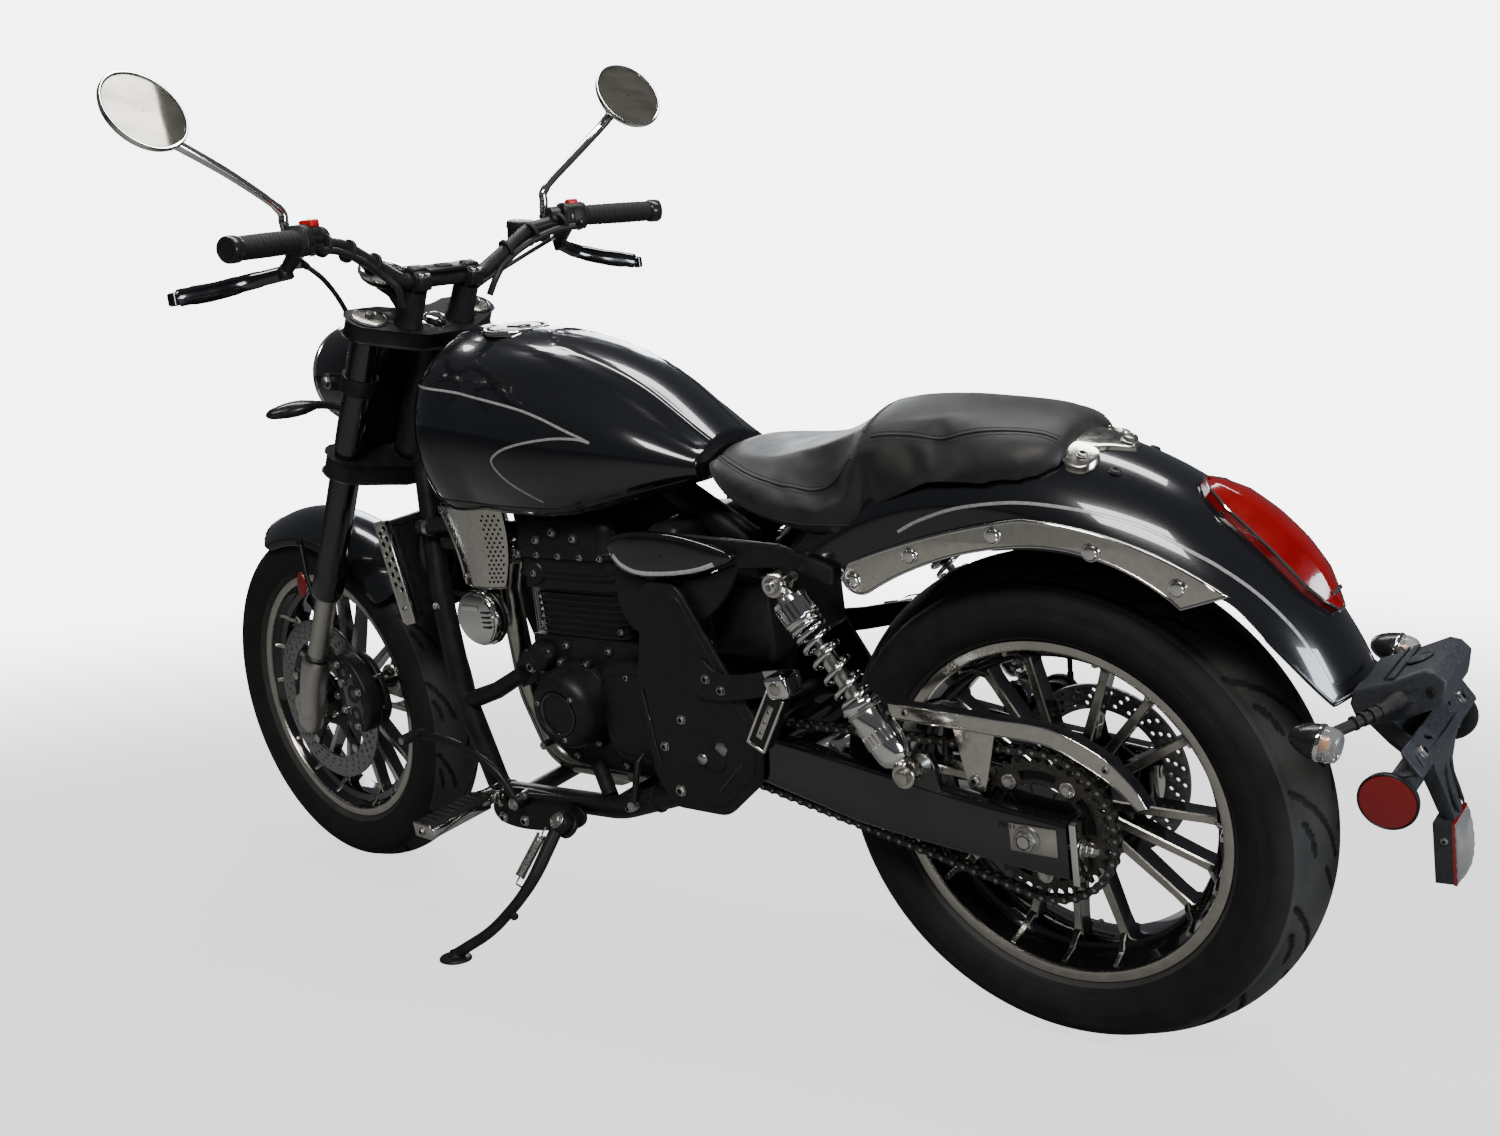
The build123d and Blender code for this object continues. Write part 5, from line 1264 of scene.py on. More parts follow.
p = Piece("taillight_lens", "red_lens", "chrome", "satin", "clear_lens")
LENS = [(122.6, 3, 473, 469), (124.5, 23, 474, 480), (128.0, 35, 472, 487), (133.0, 37, 471, 490), (138.0, 37, 471, 490), (142.5, 34, 471, 487), (145.6, 24, 473, 481), (147.6, 9, 474, 475)]
rows = []
fine = []
for k in range(len(LENS) - 1):
    a, b = LENS[k], LENS[k + 1]
    for t in range(4):
        fine.append(tuple(u + (v - u) * t / 4 for u, v in zip(a, b)))
fine.append(LENS[-1])
for th, w, lo, hi in fine:
    top = w * 0.45
    r_edge = lo - 8
    section = [(-w, r_edge - 3), (-w, lo), (-w + 2.0, lo + 1.6), (-top - 1.6, hi - 0.8), (-top, hi), (0, hi + 1.2), (top, hi), (top + 1.6, hi - 0.8), (w - 2.0, lo + 1.6), (w, lo), (w, r_edge - 3)]
    rows.append([polar(th, r, y) for y, r in section])
p.grid(rows, "red_lens")
for end in (0, -1):
    p.put(rows[end], [tuple(range(len(rows[end])))], "red_lens")
# silver edge that frames the lens, and the small clip at its lower end
for s in (1, -1):
    p.pipe([polar(th, lo + 0.6, s * (w + 1.0)) for th, w, lo, hi in fine], 1.5, "chrome", n=8)
p.pipe([polar(fine[0][0] - 0.25, fine[0][2], y) for y in (-4, 0, 4)], 1.5, "chrome", n=8)
p.pipe([polar(fine[-1][0] + 0.25, fine[-1][2], y) for y in (-10, 0, 10)], 1.5, "chrome", n=8)
a = polar(145.4, 481.5, 0)
rad = (a - FENDER_C).normalized()
p.box(a + rad * 0.6, (5, 30, 1.6), "chrome", 0.6, axes=(Vector((rad.z, 0, -rad.x)), Y, rad))
p.done("frame", "taillight", angle=24)

p = Piece("plate_bracket_body", "plastic", "satin", "red_lens", "red_reflector", "clear_lens", "chrome", "steel")
TOP = [(-372, 486), (-362, 512), (-366, 528), (-398, 540), (-440, 560), (-452, 558), (-462, 548), (-460, 530), (-458, 520), (-418, 500)]
bar_plate(p, TOP, -57, 57, "plastic", 5.0, 4)
# lid seam, recess and inner lip of the box
run = Vector((-440, 0, 560)) - Vector((-366, 0, 528))
run.normalize()
nrm = Vector((run.z, 0, -run.x))
nrm = nrm if nrm.z > 0 else -nrm
for t in (0.44,):
    c = Vector((-366, 0, 528)).lerp(Vector((-440, 0, 560)), t)
    p.box(c + nrm * 1.6, (2.2, 104, 2.0), "satin", 0.6, axes=(run, Y, nrm))
    p.box(c + nrm * 0.6 + run * 8, (9, 108, 2.6), "plastic", 0.8, axes=(run, Y, nrm))
c = Vector((-366, 0, 528)).lerp(Vector((-440, 0, 560)), 0.78)
p.lathe(c + Y * 6 + nrm * 1.4, nrm, [(0.2, 15), (1.4, 14.2), (1.4, 12.6), (0.0, 11.6), (-0.2, 0.01)], "plastic", n=40)
for s in (1, -1):
    for x, z in ((-380, 500), (-446, 536)):
        button(p, (x, s * 57.2, z), Y * s, 4.4, 3.4, "satin")
    p.box((-410, s * 57.6, 520), (40, 2.2, 9), "plastic", 1.0, axes=(Vector((-0.93, 0, 0.37)), Y * s, Vector((0.37, 0, 0.93))))
# tongue that rises inside the fender
TONGUE = [(-356, 532), (-380, 520), (-404, 486), (-440, 452), (-424, 440), (-396, 462), (-372, 486), (-362, 512)]
bar_plate(p, TONGUE, -36, 36, "plastic", 3.0, 3)
for s in (1, -1):
    bar_plate(p, [(-378, 514), (-436, 462), (-426, 448), (-372, 494)], s * 36, s * 41, "plastic", 1.6, 2)
# arm down to the plate lamp, with its ribs and its long curved groove
ARM_OUT = [(-446, 548), (-459, 544), (-461, 530), (-452, 486), (-445, 440), (-450, 405), (-460, 372), (-456, 366), (-446, 368), (-436, 396), (-428, 430), (-430, 470), (-440, 510)]
rows = []
for x0, z0, x1, z1, w in ((-428, 470, -446, 474, 66), (-428, 458, -448, 460, 60), (-427, 444, -446, 444, 46), (-428, 428, -446, 426, 31), (-432, 410, -450, 408, 23), (-440, 384, -457, 380, 18), (-446, 370, -459, 368, 16)):
    rows.append([Vector((x0, -w, z0)), Vector((x0 - 3, -w - 1, z0)), Vector((x1 + 3, -w - 1, z1)), Vector((x1, -w, z1)), Vector((x1 - 1.5, -w * 0.6, z1)), Vector((x1 - 2.5, 0, z1)), Vector((x1 - 1.5, w * 0.6, z1)), Vector((x1, w, z1)),
                 Vector((x1 + 3, w + 1, z1)), Vector((x0 - 3, w + 1, z0)), Vector((x0, w, z0))])
p.grid(rows, "plastic", close_v=True)
p.put(rows[0], [tuple(range(11))], "plastic")
p.put(rows[-1], [tuple(range(11))], "plastic")
for s in (1, -1):
    g = [Vector((-447.4, s * 9, 436)), Vector((-449.5, s * 12, 418)), Vector((-455.5, s * 13, 398)), Vector((-461.5, s * 12, 381))]
    p.pipe(curve_through(g, 6), [1.2, 2.4, 2.8, 2.8, 2.4, 1.4], "satin", n=8)
# cross bar with its slots and two bolts
def slot_shape(cx, cy, length, w, tilt):
    pts = []
    c, s_ = math.cos(tilt), math.sin(tilt)
    for k in range(7):
        a = -math.pi / 2 + math.pi * k / 6
        x, y = length / 2 + w / 2 * math.cos(a), w / 2 * math.sin(a)
        pts.append((cx + x * c - y * s_, cy + x * s_ + y * c))
    for k in range(7):
        a = math.pi / 2 + math.pi * k / 6
        x, y = -length / 2 + w / 2 * math.cos(a), w / 2 * math.sin(a)
        pts.append((cx + x * c - y * s_, cy + x * s_ + y * c))
    return pts


BAR = [(-122, 426), (-118, 423), (118, 423), (122, 426), (122, 449), (118, 453), (34, 455), (28, 462), (-28, 462), (-34, 455), (-118, 453), (-122, 449)]
holes = [circle(60, 438, 3.3, 20), circle(-60, 438, 3.3, 20), slot_shape(86, 438, 20, 6, 0.9), slot_shape(-86, 438, 20, 6, -0.9), slot_shape(44, 444, 8, 5, 0.2), slot_shape(-44, 444, 8, 5, -0.2)]
p.plate((-428.5, 0, 0), -Y, Z, [(-y, z) for y, z in BAR][::-1], 7.0, "plastic", 1.6, [[(-y, z) for y, z in h] for h in holes], res=3)
# slotted upper lip of the bar, leaning forward under the box
LIP = [(-120, -14), (-116, -17), (116, -17), (120, -14), (120, 13), (116, 17), (-116, 17), (-120, 13)]
p.plate((-441, 0, 476.5), -Y, Vector((0.595, 0, 0.804)), LIP, 4.0, "plastic", 1.2, [slot_shape(46, 3, 14, 4.4, 0.5), slot_shape(-46, 3, 14, 4.4, -0.5), slot_shape(100, -4, 10, 4.4, 1.4), slot_shape(-100, -4, 10, 4.4, 1.4)], res=3)
for s in (1, -1):
    button(p, (-442.8, s * 82, 477.8), Vector((-0.804, 0, 0.595)), 7.0, 4.6, "steel")
    p.box((-431, s * 70, 461), (30, 92, 3.4), "plastic", 1.2, axes=(Vector((0.96, 0, -0.28)), Y, Vector((0.28, 0, 0.96))))
    p.box((-423, s * 70, 454), (16, 92, 3.4), "plastic", 1.2)
    button(p, (-432.2, s * 106, 437), -X, 6.2, 4.4, "steel")
# round reflectors looking out to the sides: cup, ring, prismatic disc
for s in (1, -1):
    o = Vector((-420, s * 119, 438))
    w = Y * s
    p.solid(o, w, [(0, 20), (1.5, 26), (4, 30.5), (11, 31.5), (12, 30.6)], "satin", n=64)
    p.lathe(o, w, [(11.0, 31.6), (12.8, 31.2), (13.4, 30.2), (12.9, 29.4), (12.0, 29.1)], "satin", n=64)
    p.lathe(o, w, [(12.0, 29.3), (13.0, 28.6), (13.4, 24), (13.6, 0.01)], "red_reflector", n=64)
    p.hexhead(o - w * 1.0, -w, 5, 4, "steel")
    p.box((-424, s * 112, 438), (26, 14, 16), "satin", 2.0)
# plate lamp: dark box, thin red edge, clear bulging glass over a pale backing
p.put([Vector(q) for q in ((-438, -29, 372), (-438, 29, 372), (-440, 29, 300), (-440, -29, 300), (-458, -29, 373), (-458, 29, 373), (-460, 29, 301), (-460, -29, 301))],
      [(0, 1, 2, 3), (4, 5, 6, 7), (0, 1, 5, 4), (3, 2, 6, 7), (0, 3, 7, 4), (1, 2, 6, 5)], "plastic")
p.put([Vector(q) for q in ((-457.6, -29.6, 374), (-457.6, 29.6, 374), (-459.6, 29.6, 300), (-459.6, -29.6, 300), (-460.6, -29.6, 374), (-460.6, 29.6, 374), (-462.6, 29.6, 300), (-462.6, -29.6, 300))],
      [(0, 1, 2, 3), (4, 5, 6, 7), (0, 1, 5, 4), (3, 2, 6, 7), (0, 3, 7, 4), (1, 2, 6, 5)], "red_lens")
p.put([Vector(q) for q in ((-461.2, -26, 370), (-461.2, 26, 370), (-463.0, 26, 304), (-463.0, -26, 304))], [(0, 1, 2, 3)], "chrome")
rows = []
for k in range(13):
    z = 301 + 72 * k / 12
    e = math.sin(math.pi * k / 12) ** 0.5 if 0 < k < 12 else 0.0
    x0 = -462.4 + 1.8 * k / 12
    rows.append([Vector((x0 - (0.6 + 8.6 * e) * math.sqrt(max(0.0, 1 - (abs(y) / 29.0) ** 4)) - (0.8 if k % 2 else 0.0), y, z)) for y in (-29, -27.5, -25, -18, -9, 0, 9, 18, 25, 27.5, 29)])
p.grid(rows, "clear_lens")
for s in (1, -1):
    button(p, (-450, s * 29.4, 352), Y * s, 3.6, 2.6, "steel")
p.done("frame", "plate_bracket", angle=40)

# indicators at the tail: black cup, ring, clear bullet glass, bulb shade
p = Piece("rear_indicator_lamps", "plastic_gloss", "chrome", "clear_lens", "amber_lens", "rubber")
for s in (1, -1):
    p.pipe(curve_through([(-418, s * 58, 527), (-402, s * 78, 518), (-388, s * 98, 513), (-372, s * 122, 509), (-358, s * 142, 506)], 5), [9, 7.5, 6.6, 6.4, 6.6], "rubber", n=16)
    for k in range(5):
        c = Vector((-406 + 6 * k, s * (72 + 9 * k), 519.6 - 1.8 * k))
        p.solid(c, Vector((0.5, s * 0.85, -0.16)), [(-1.4, 8.2), (1.4, 8.2)], "rubber", n=20)
    a, b = Vector((-330, s * 150, 510)), Vector((-380, s * 150, 500))
    w = (b - a).normalized()
    p.lathe(a, w, [(-1.5, 0.01), (-1.2, 6), (2, 10), (8, 14), (15, 17), (22, 18.9), (27, 19.8), (29, 19.8), (29, 17)], "plastic_gloss", n=48)
    p.lathe(a, w, [(27.5, 19.9), (28.6, 20.9), (31.4, 20.9), (32.6, 20.0), (32.6, 18.6)], "chrome", n=48)
    p.lathe(a, w, [(32.0, 19.2), (38, 19.5), (45, 18.2), (49, 16.0), (51.2, 12.5), (52, 8), (52.2, 0.01)], "clear_lens", n=48)
    p.lathe(a, w, [(31.5, 18.4), (28, 15), (22, 9), (20, 4)], "chrome", n=40)
    p.solid(a + w * 24, w, [(0, 4), (6, 6), (12, 6), (15, 4)], "amber_lens", n=24)
p.done("frame", "rear_indicators", angle=40)

# ------------------------------------------------------------------ struts on the rear fender
LOW = arc3((238, 640), (226, 624), (210, 619), 10)
SIDE = [q for q in arc3((238, 642), (222, 622), (198, 623), 8)]
for a, b, c in (((198, 623), (94, 670), (-20, 692)), ((-20, 692), (-120, 679), (-207, 629))):
    SIDE += arc3(a, b, c, 14)[1:]
TOPSIDE = []
for a, b, c in (((-262, 648), (-150, 703), (-20, 727)), ((-20, 727), (98, 703), (223, 663))):
    TOPSIDE += arc3(a, b, c, 14)[(1 if TOPSIDE else 0):]
STRUT = SIDE + TOPSIDE
p = Piece("strut_panels", "chrome_worn", "chrome", "satin", "steel")
for s in (1, -1):
    bar_plate(p, STRUT, s * 120.6, s * 125.4, "chrome_worn", 1.4, 3)
    # rolled edges that stand a little proud
    loop = [Vector((x, s * 125.6, z)) for x, z in STRUT]
    line = []
    for k, q in enumerate(loop):
        a, b = loop[k - 1], loop[(k + 1) % len(loop)]
        t = (b - a).normalized()
        line.append((q, Vector((-t.z, 0, t.x))))
    area = sum(a.x * b.z - b.x * a.z for a, b in zip(loop, loop[1:] + loop[:1]))
    sg = 1 if area > 0 else -1
    p.pipe([q + n_in * (sg * 2.4) for q, n_in in line], 1.5, "chrome", n=8, closed=True)
    for x, z in ((219, 640), (132, 676), (16, 706), (-106, 691), (-205, 655)):
        at = Vector((x, s * 125.4, z))
        p.lathe(at, Y * s, [(0.4, 11.2), (1.6, 10.6), (1.9, 9.8), (1.6, 9.0)], "chrome", n=36)
        p.solid(at, Y * s, [(0, 8.8), (2.6, 8.6), (4.6, 7.4), (5.2, 5.4)], "chrome", n=28)
        p.lathe(at + Y * (s * 5.3), Y * s, [(0.0, 4.2), (-2.0, 3.8), (-2.2, 0.01)], "satin", n=6)
p.done("frame", "fender_struts", angle=40)

# silver bracket that holds the back of the seat to the fender
p = Piece("seat_bracket", "chrome_worn", "satin", "steel", "chrome")


def draped(p, outline, thick, mat):
    """Thin plate that follows the fender's top; outline in (forward, left)."""
    cx = sum(x for x, y in outline) / len(outline)
    cy = sum(y for x, y in outline) / len(outline)
    pts = [(q.x, q.y) for q in curve_through([(x, y, 0) for x, y in outline], 5, closed=True)]
    rows = []
    for k, lift in ((1.0, -1.5), (1.0, thick - 0.8), (0.96, thick), (0.7, thick), (0.4, thick), (0.03, thick)):
        hit = shoot(rear_tree, [Vector((cx + (x - cx) * k, cy + (y - cy) * k, 1000)) for x, y in pts], Vector((0, 0, -1)))
        rows.append([h + Z * lift for h in hit])
    p.grid(rows, mat, close_v=True)


def on_fender(x, y, lift=0.0):
    return shoot(rear_tree, [Vector((x, y, 1000))], Vector((0, 0, -1)))[0] + Z * lift


draped(p, [(-56, 44), (-78, 42), (-92, 30), (-106, 20), (-117, 10), (-119, 0), (-117, -10), (-106, -20), (-92, -30), (-78, -42), (-56, -44), (-50, 0)], 5.0, "chrome_worn")
up = (on_fender(-106, 0) - FENDER_C).normalized()
p.hexhead(on_fender(-106, 0, 5.2), up, 8.0, 5.0, "steel", washer=True)
for s in (1, -1):
    draped(p, [(-58, s * 46), (-56, s * 74), (-78, s * 76), (-90, s * 62), (-90, s * 48), (-74, s * 42)], 8.0, "chrome_worn")
    button(p, on_fender(-74, s * 61, 7.6), (up + Y * s * 0.2).normalized(), 6.0, 3.6, "steel")
    button(p, on_fender(-112, s * 58, 0.2), (up + Y * s * 0.2).normalized(), 6.4, 3.0, "satin")
p.done("frame", (), angle=40)
# ------------------------------------------------------------------ rear shocks
p = Piece("shock_absorbers", "chrome", "polish", "steel", "satin", "rubber", "chrome_worn")
for s in (1, -1):
    a, b = Vector((305, s * 169, 643)), Vector((141, s * 169, 406))
    w = (b - a).normalized()
    L = (b - a).length
    at = lambda f: a + w * (L * f)
    u, v, _ = plane_axes(w, (0, 1, 0))
    for c, tip in ((a, 1), (b, -1)):
        p.lathe(c - Y * 13, Y, [(0, 8.5), (0, 15.2), (1.2, 16), (24.8, 16), (26, 15.2), (26, 8.5)], "chrome_worn", n=48)
        p.lathe(c - Y * 12.4, Y, [(0, 6.8), (0, 9.2), (24.8, 9.2), (24.8, 6.8)], "rubber", n=32)
        outer = c + Y * (s * 13)
        p.solid(outer, Y * s, [(0, 10.5), (2.0, 10.5), (2.4, 9.6)], "steel", n=32)
        if tip == 1:
            p.hexhead(outer + Y * (s * 2.2), Y * s, 8.6, 5.6, "chrome", washer=False, socket=True)
            p.solid(outer + Y * (s * 3), Y * s, [(0, 3.6), (6, 3.4)], "steel", n=20)
        else:
            p.solid(outer + Y * (s * 2.0), Y * s, [(0, 9.8), (2, 10.2), (4.6, 9.6), (5.6, 7.5)], "polish", n=40)
        p.solid(c - Y * (s * 16), -Y * s, [(0, 8), (1.6, 8), (20, 6.9)], "steel", n=28)
    # neck under the upper eye, faceted cap, top collars
    p.solid(at(0.035), w, [(0, 11.0), (6, 12.5), (10, 15), (14, 17)], "chrome_worn", n=32)
    p.lathe(at(0.075), w, [(0, 0.01), (0, 20.5), (2.5, 23.2), (8, 24), (8, 24)], "chrome", n=60)
    flute = []
    for k in range(7):
        d = 8 + k * (L * 0.105 - 8) / 6
        flute.append([at(0.075) + w * d + (u * math.cos(t) + v * math.sin(t)) * (23.4 - 1.5 * abs(math.sin(4 * t)) ** 0.5) for t in [2 * math.pi * q / 64 for q in range(64)]])
    p.grid(flute, "chrome", close_v=True)
    p.lathe(at(0.075) + w * (L * 0.105), w, [(0, 23.4), (1.4, 25.0), (3.4, 25.6), (5.2, 25.0), (6, 22.6), (6, 12)], "chrome", n=60)
    # piston rod and damper tube inside the spring
    p.pipe([at(0.19), at(0.46)], 6.0, "steel", n=24)
    p.pipe([at(0.34), at(0.66)], 11.5, "chrome_worn", n=32)
    p.solid(at(0.335), w, [(0, 9), (1.5, 12), (4, 12.4), (5, 11)], "steel", n=32)
    p.solid(at(0.23), w, [(0, 6), (2, 9.5), (12, 10.5), (16, 8), (17, 6)], "rubber", n=32)
    # spring: three close turns at the top, wide turns below
    pts = []
    turns = [(0.0, 0.0), (1.0, 7.2), (2.0, 17.5), (3.0, 30.0), (4.0, 53.0), (5.0, 79.0), (6.0, 105.0), (6.9, 126.0), (7.7, 133.0)]
    z0 = 0.197 * L
    span = 0.640 * L - 6 - z0
    for k in range(int(7.7 * 30) + 1):
        t = k / 30
        i = max(q for q in range(len(turns) - 1) if turns[q][0] <= t + 1e-9)
        (t0, d0), (t1, d1) = turns[i], turns[i + 1]
        d = (d0 + (d1 - d0) * (t - t0) / (t1 - t0)) / 133.0 * span
        pts.append(a + w * (z0 + d) + (u * math.cos(2 * math.pi * t) + v * math.sin(2 * math.pi * t)) * 20.6)
    p.pipe(pts, 3.5, "chrome", n=12)
    # lower seat of the spring, preload ring, can with its drain hole, tapered foot
    p.lathe(at(0.632), w, [(-4, 12), (-3, 25.4), (-1, 26.8), (4, 27.0), (6, 26.0), (6.6, 24.2), (9, 24.2)], "chrome", n=64)
    p.lathe(at(0.632) + w * 9, w, [(0, 24.2), (1, 25.2), (4, 25.2), (5, 24.4)], "polish", n=64)
    can = at(0.632) + w * 12
    d_end = 0.955 * L - 0.632 * L - 12
    p.lathe(can, w, [(0, 22), (0, 23.4), (2, 24.4), (d_end * 0.30, 24.6), (d_end * 0.33, 24.1), (d_end * 0.60, 24.4), (d_end * 0.80, 23.6), (d_end * 0.90, 20.6), (d_end * 0.96, 15), (d_end, 11), (d_end + 6, 10.5)], "chrome", n=72)
    for t in (0.0, 2.1, 4.2):
        n_ = (u * math.cos(t) + v * math.sin(t))
        p.solid(can + w * 10 + n_ * 23.6, n_, [(0, 3.2), (1.2, 3.0)], "satin", n=16)
    for q in range(24):
        t = 2 * math.pi * q / 24
        n_ = (u * math.cos(t) + v * math.sin(t))
        p.box(can + w * (d_end * 0.46) + n_ * 24.0, (d_end * 0.22, 2.2, 1.8), "chrome_worn", 0.6, axes=(w, w.cross(n_), n_))
p.done("frame", "shocks", angle=36)

# ------------------------------------------------------------------ swingarm, its axle blocks and bolts
ARM = [(478, 356), (478, 418), (440, 420), (138, 375), (60, 363), (-58, 352), (-60, 350), (-60, 280), (-56, 278), (-20, 279), (150, 294), (250, 306), (430, 350)]
p = Piece("swingarm_beams", "gloss", "satin", "polish", "chrome", "steel", "rubber", "red_reflector")
for s in (1, -1):
    y0, y1 = s * 110, s * 137.2
    rows = []
    for x, top, bot in ((478, 418, 356), (440, 420, 352.5), (380, 411, 337.7), (300, 399, 318.3), (250, 391.7, 306), (200, 384.3, 300), (150, 376.8, 294), (110, 370.5, 290.5), (70, 365, 286.9), (30, 361, 283.3), (-20, 356.5, 279), (-52, 353, 278)):
        h = top - bot
        mid = (top + bot) / 2
        c = 7.0
        sec = []
        for yy, zz, a0 in ((y1 - s * c, top - c, 0), (y0 + s * c, top - c, 1), (y0 + s * c, bot + c, 2), (y1 - s * c, bot + c, 3)):
            for k in range(5):
                ang = math.pi / 2 * (a0 + k / 4)
                sec.append(Vector((x, yy + s * c * math.cos(ang), zz + c * math.sin(ang))))
        rows.append(sec)
    p.grid(rows, "gloss", close_v=True)
    for e in (0, -1):
        p.put(rows[e], [tuple(range(len(rows[e])))], "gloss")
    # weld bead and pressed hollow behind the pivot, pinch seam along the lower edge
    p.pipe([Vector((444, s * 137.4, 414)), Vector((452, s * 138.2, 388)), Vector((446, s * 137.4, 358))], 2.2, "satin", n=8)
    p.pipe([Vector((x, s * 123.6, z)) for x, z in ((430, 350), (250, 306), (150, 294), (-20, 279), (-50, 278))], 2.4, "satin", n=8)
    for x, z in ((470, 388),):
        p.solid((x - 14, s * 137.2, z), Y * s, [(0, 20), (3, 20), (4, 18.5)], "satin", n=44)
        p.hexhead((x - 14, s * 141.2, z), Y * s, 11, 6.5, "steel")
    # axle block sliding in the fork end, scale marks, axle end plate and adjuster bolt
    p.box((-8, s * 137.6, 327), (64, 4.6, 38), "polish", 1.6)
    for k in range(5):
        p.box((16 + 5 * k, s * 139.8, 344 - 3), (1.1, 1.0, 6), "satin", 0)
    bar_plate(p, [(-56, 274), (-56, 355), (-65, 355), (-65, 274)], s * 110, s * 138.5, "chrome", 1.4, 3)
    p.pipe([Vector((-40, s * 124, 318)), Vector((-88, s * 124, 318))], 4.6, "zinc", n=18)
    p.hexhead((-66, s * 124, 318), -X, 8.4, 6.5, "zinc")
    p.hexhead((-75, s * 124, 318), -X, 7.4, 5.5, "zinc", washer=False)
    # shock stud
    p.solid((141, s * 137, 406), Y * s, [(0, 14), (3, 12), (18, 8.6)], "steel", n=32)
    bar_plate(p, [(118, 366), (164, 374), (160, 402), (152, 419), (132, 419), (124, 404)], s * 122, s * 136.6, "gloss", 2.4, 3)
p.pipe([Vector((395, -112, 372)), Vector((395, 112, 372))], 26.5, "gloss", n=40)
for y in (-104, 104):
    p.solid((395, y - 3, 372), Y, [(0, 28.4), (6, 28.4)], "satin", n=40)
# chain slider on the left beam's back end
p.box((425, 104, 424), (86, 22, 8), "rubber", 2.5, axes=(Vector((0.99, 0, 0.1)), Y, Vector((-0.1, 0, 0.99))))
p.done("frame", "swingarm", angle=40)

# rear axle nuts and washers
p = Piece("rear_axle_fastening", "zinc", "steel", "satin", "chrome")
p.pipe([Vector((0, -146, 327)), Vector((0, 146, 327))], 8.4, "steel", n=28)
for s in (1, -1):
    p.solid((0, s * 139.6, 327), Y * s, [(0, 17.5), (2.2, 17.5), (2.8, 16.6)], "steel", n=44)
    p.hexhead((0, s * 142.2, 327), Y * s, 13.8, 8.6, "zinc", washer=False)
    p.lathe((0, s * 150, 327), Y * s, [(0, 9.6), (1.2, 9.4), (1.4, 8.2), (-2.5, 7.6), (-2.5, 0.01)], "satin", n=32)
    p.solid((0, s * 146.8, 327), Y * s, [(0, 6.6), (2.6, 6.2)], "steel", n=24)
p.done("frame", "rear_axle", angle=36)

# ------------------------------------------------------------------ chain guard
GUARD_TOP = curve_through([(196, 471, 0), (128, 469.5, 0), (48, 466.5, 0), (-28, 462.5, 0), (-90, 437.5, 0), (-127, 405.5, 0), (-145, 378, 0)], 8)
GUARD_LOW = curve_through([(-135, 374, 0), (-107, 400.5, 0), (-66, 424.5, 0), (-22, 442.5, 0), (46, 446.5, 0), (128, 449.5, 0), (196, 452.5, 0)], 8)
face = [(q.x, q.y) for q in GUARD_TOP] + [(q.x, q.y) for q in GUARD_LOW]
p = Piece("chain_guard_cover", "chrome_worn", "chrome", "satin", "steel", "zinc")
bar_plate(p, face, 112.0, 114.4, "chrome_worn", 0.9, 3)
# top leaf, turned in over the chain, with a bright rolled lip
rows = []
for q in GUARD_TOP:
    rows.append([Vector((q.x, 114.0, q.y - 0.2)), Vector((q.x, 112.4, q.y + 1.0)), Vector((q.x, 108, q.y + 1.4)), Vector((q.x, 98, q.y + 0.8)), Vector((q.x, 91.5, q.y - 0.6)), Vector((q.x, 91.2, q.y - 4.0))])
p.grid(rows, "satin")
rows = []
for q in GUARD_TOP:
    rows.append([Vector((q.x, 113.2, q.y - 2.6)), Vector((q.x, 108, q.y - 1.6)), Vector((q.x, 98, q.y - 1.8)), Vector((q.x, 92.6, q.y - 3.2)), Vector((q.x, 91.2, q.y - 4.0))])
p.grid(rows, "satin")
p.pipe([Vector((q.x, 113.4, q.y + 0.2)) for q in GUARD_TOP], 1.7, "chrome", n=10)
p.pipe([Vector((q.x, 114.2, q.y + 0.6)) for q in GUARD_LOW], 1.1, "chrome", n=8)
TAB = [(108, 452), (104, 449), (90, 378), (86, 369), (74, 366), (66, 370), (62, 380), (46, 446), (42, 452)]
bar_plate(p, TAB, 112.2, 114.6, "chrome_worn", 0.8, 3, holes=[circle(79, 382, 4.4, 20)])
button(p, (79, 114.9, 382), Y, 6.6, 4.4, "steel")
p.solid((79, 106, 382), Y, [(0, 7), (6.5, 7)], "zinc", n=20)
for x, z in ((-98, 421), (172, 462)):
    button(p, (x, 114.4, z), Y, 4.4, 3.0, "steel")
# light bracket bar between the guard and the beam, as seen under the tab
p.box((104, 100, 392), (50, 3, 12), "zinc", 1.0, axes=(Vector((0.98, 0, 0.16)), Y, Vector((-0.16, 0, 0.98))))
p.done("frame", "chain_guard", angle=40)

# ------------------------------------------------------------------ rear caliper and its carrier
CAL = [(56, 446), (84, 440), (112, 404), (108, 388), (92, 374), (62, 390), (34, 416), (40, 434)]
p = Piece("rear_caliper_body", "engine", "satin", "steel", "zinc", "hose")
CALR = [(q.x, q.y) for q in curve_through([(x, z, 0) for x, z in CAL], 4, closed=True)]
bar_plate(p, CALR, -112.0, -104.0, "engine", 2.4, 3)
bar_plate(p, around(CALR, 72, 410, 6), -112.6, -91.5, "engine", 3.0, 3)
p.solid((72, -112, 410), -Y, [(0, 17), (1.2, 17), (2.0, 15.5), (2.0, 9), (0.8, 8), (0.8, 0.01)], "satin", n=44)
for x, z in ((52, 430), (94, 392)):
    p.hexhead((x, -112.4, z), -Y, 5.4, 4.0, "zinc")
p.pipe([Vector((98, -108, 410)), Vector((110, -108, 420))], 3.4, "zinc", n=14)
p.done("frame", "rear_caliper", angle=40)

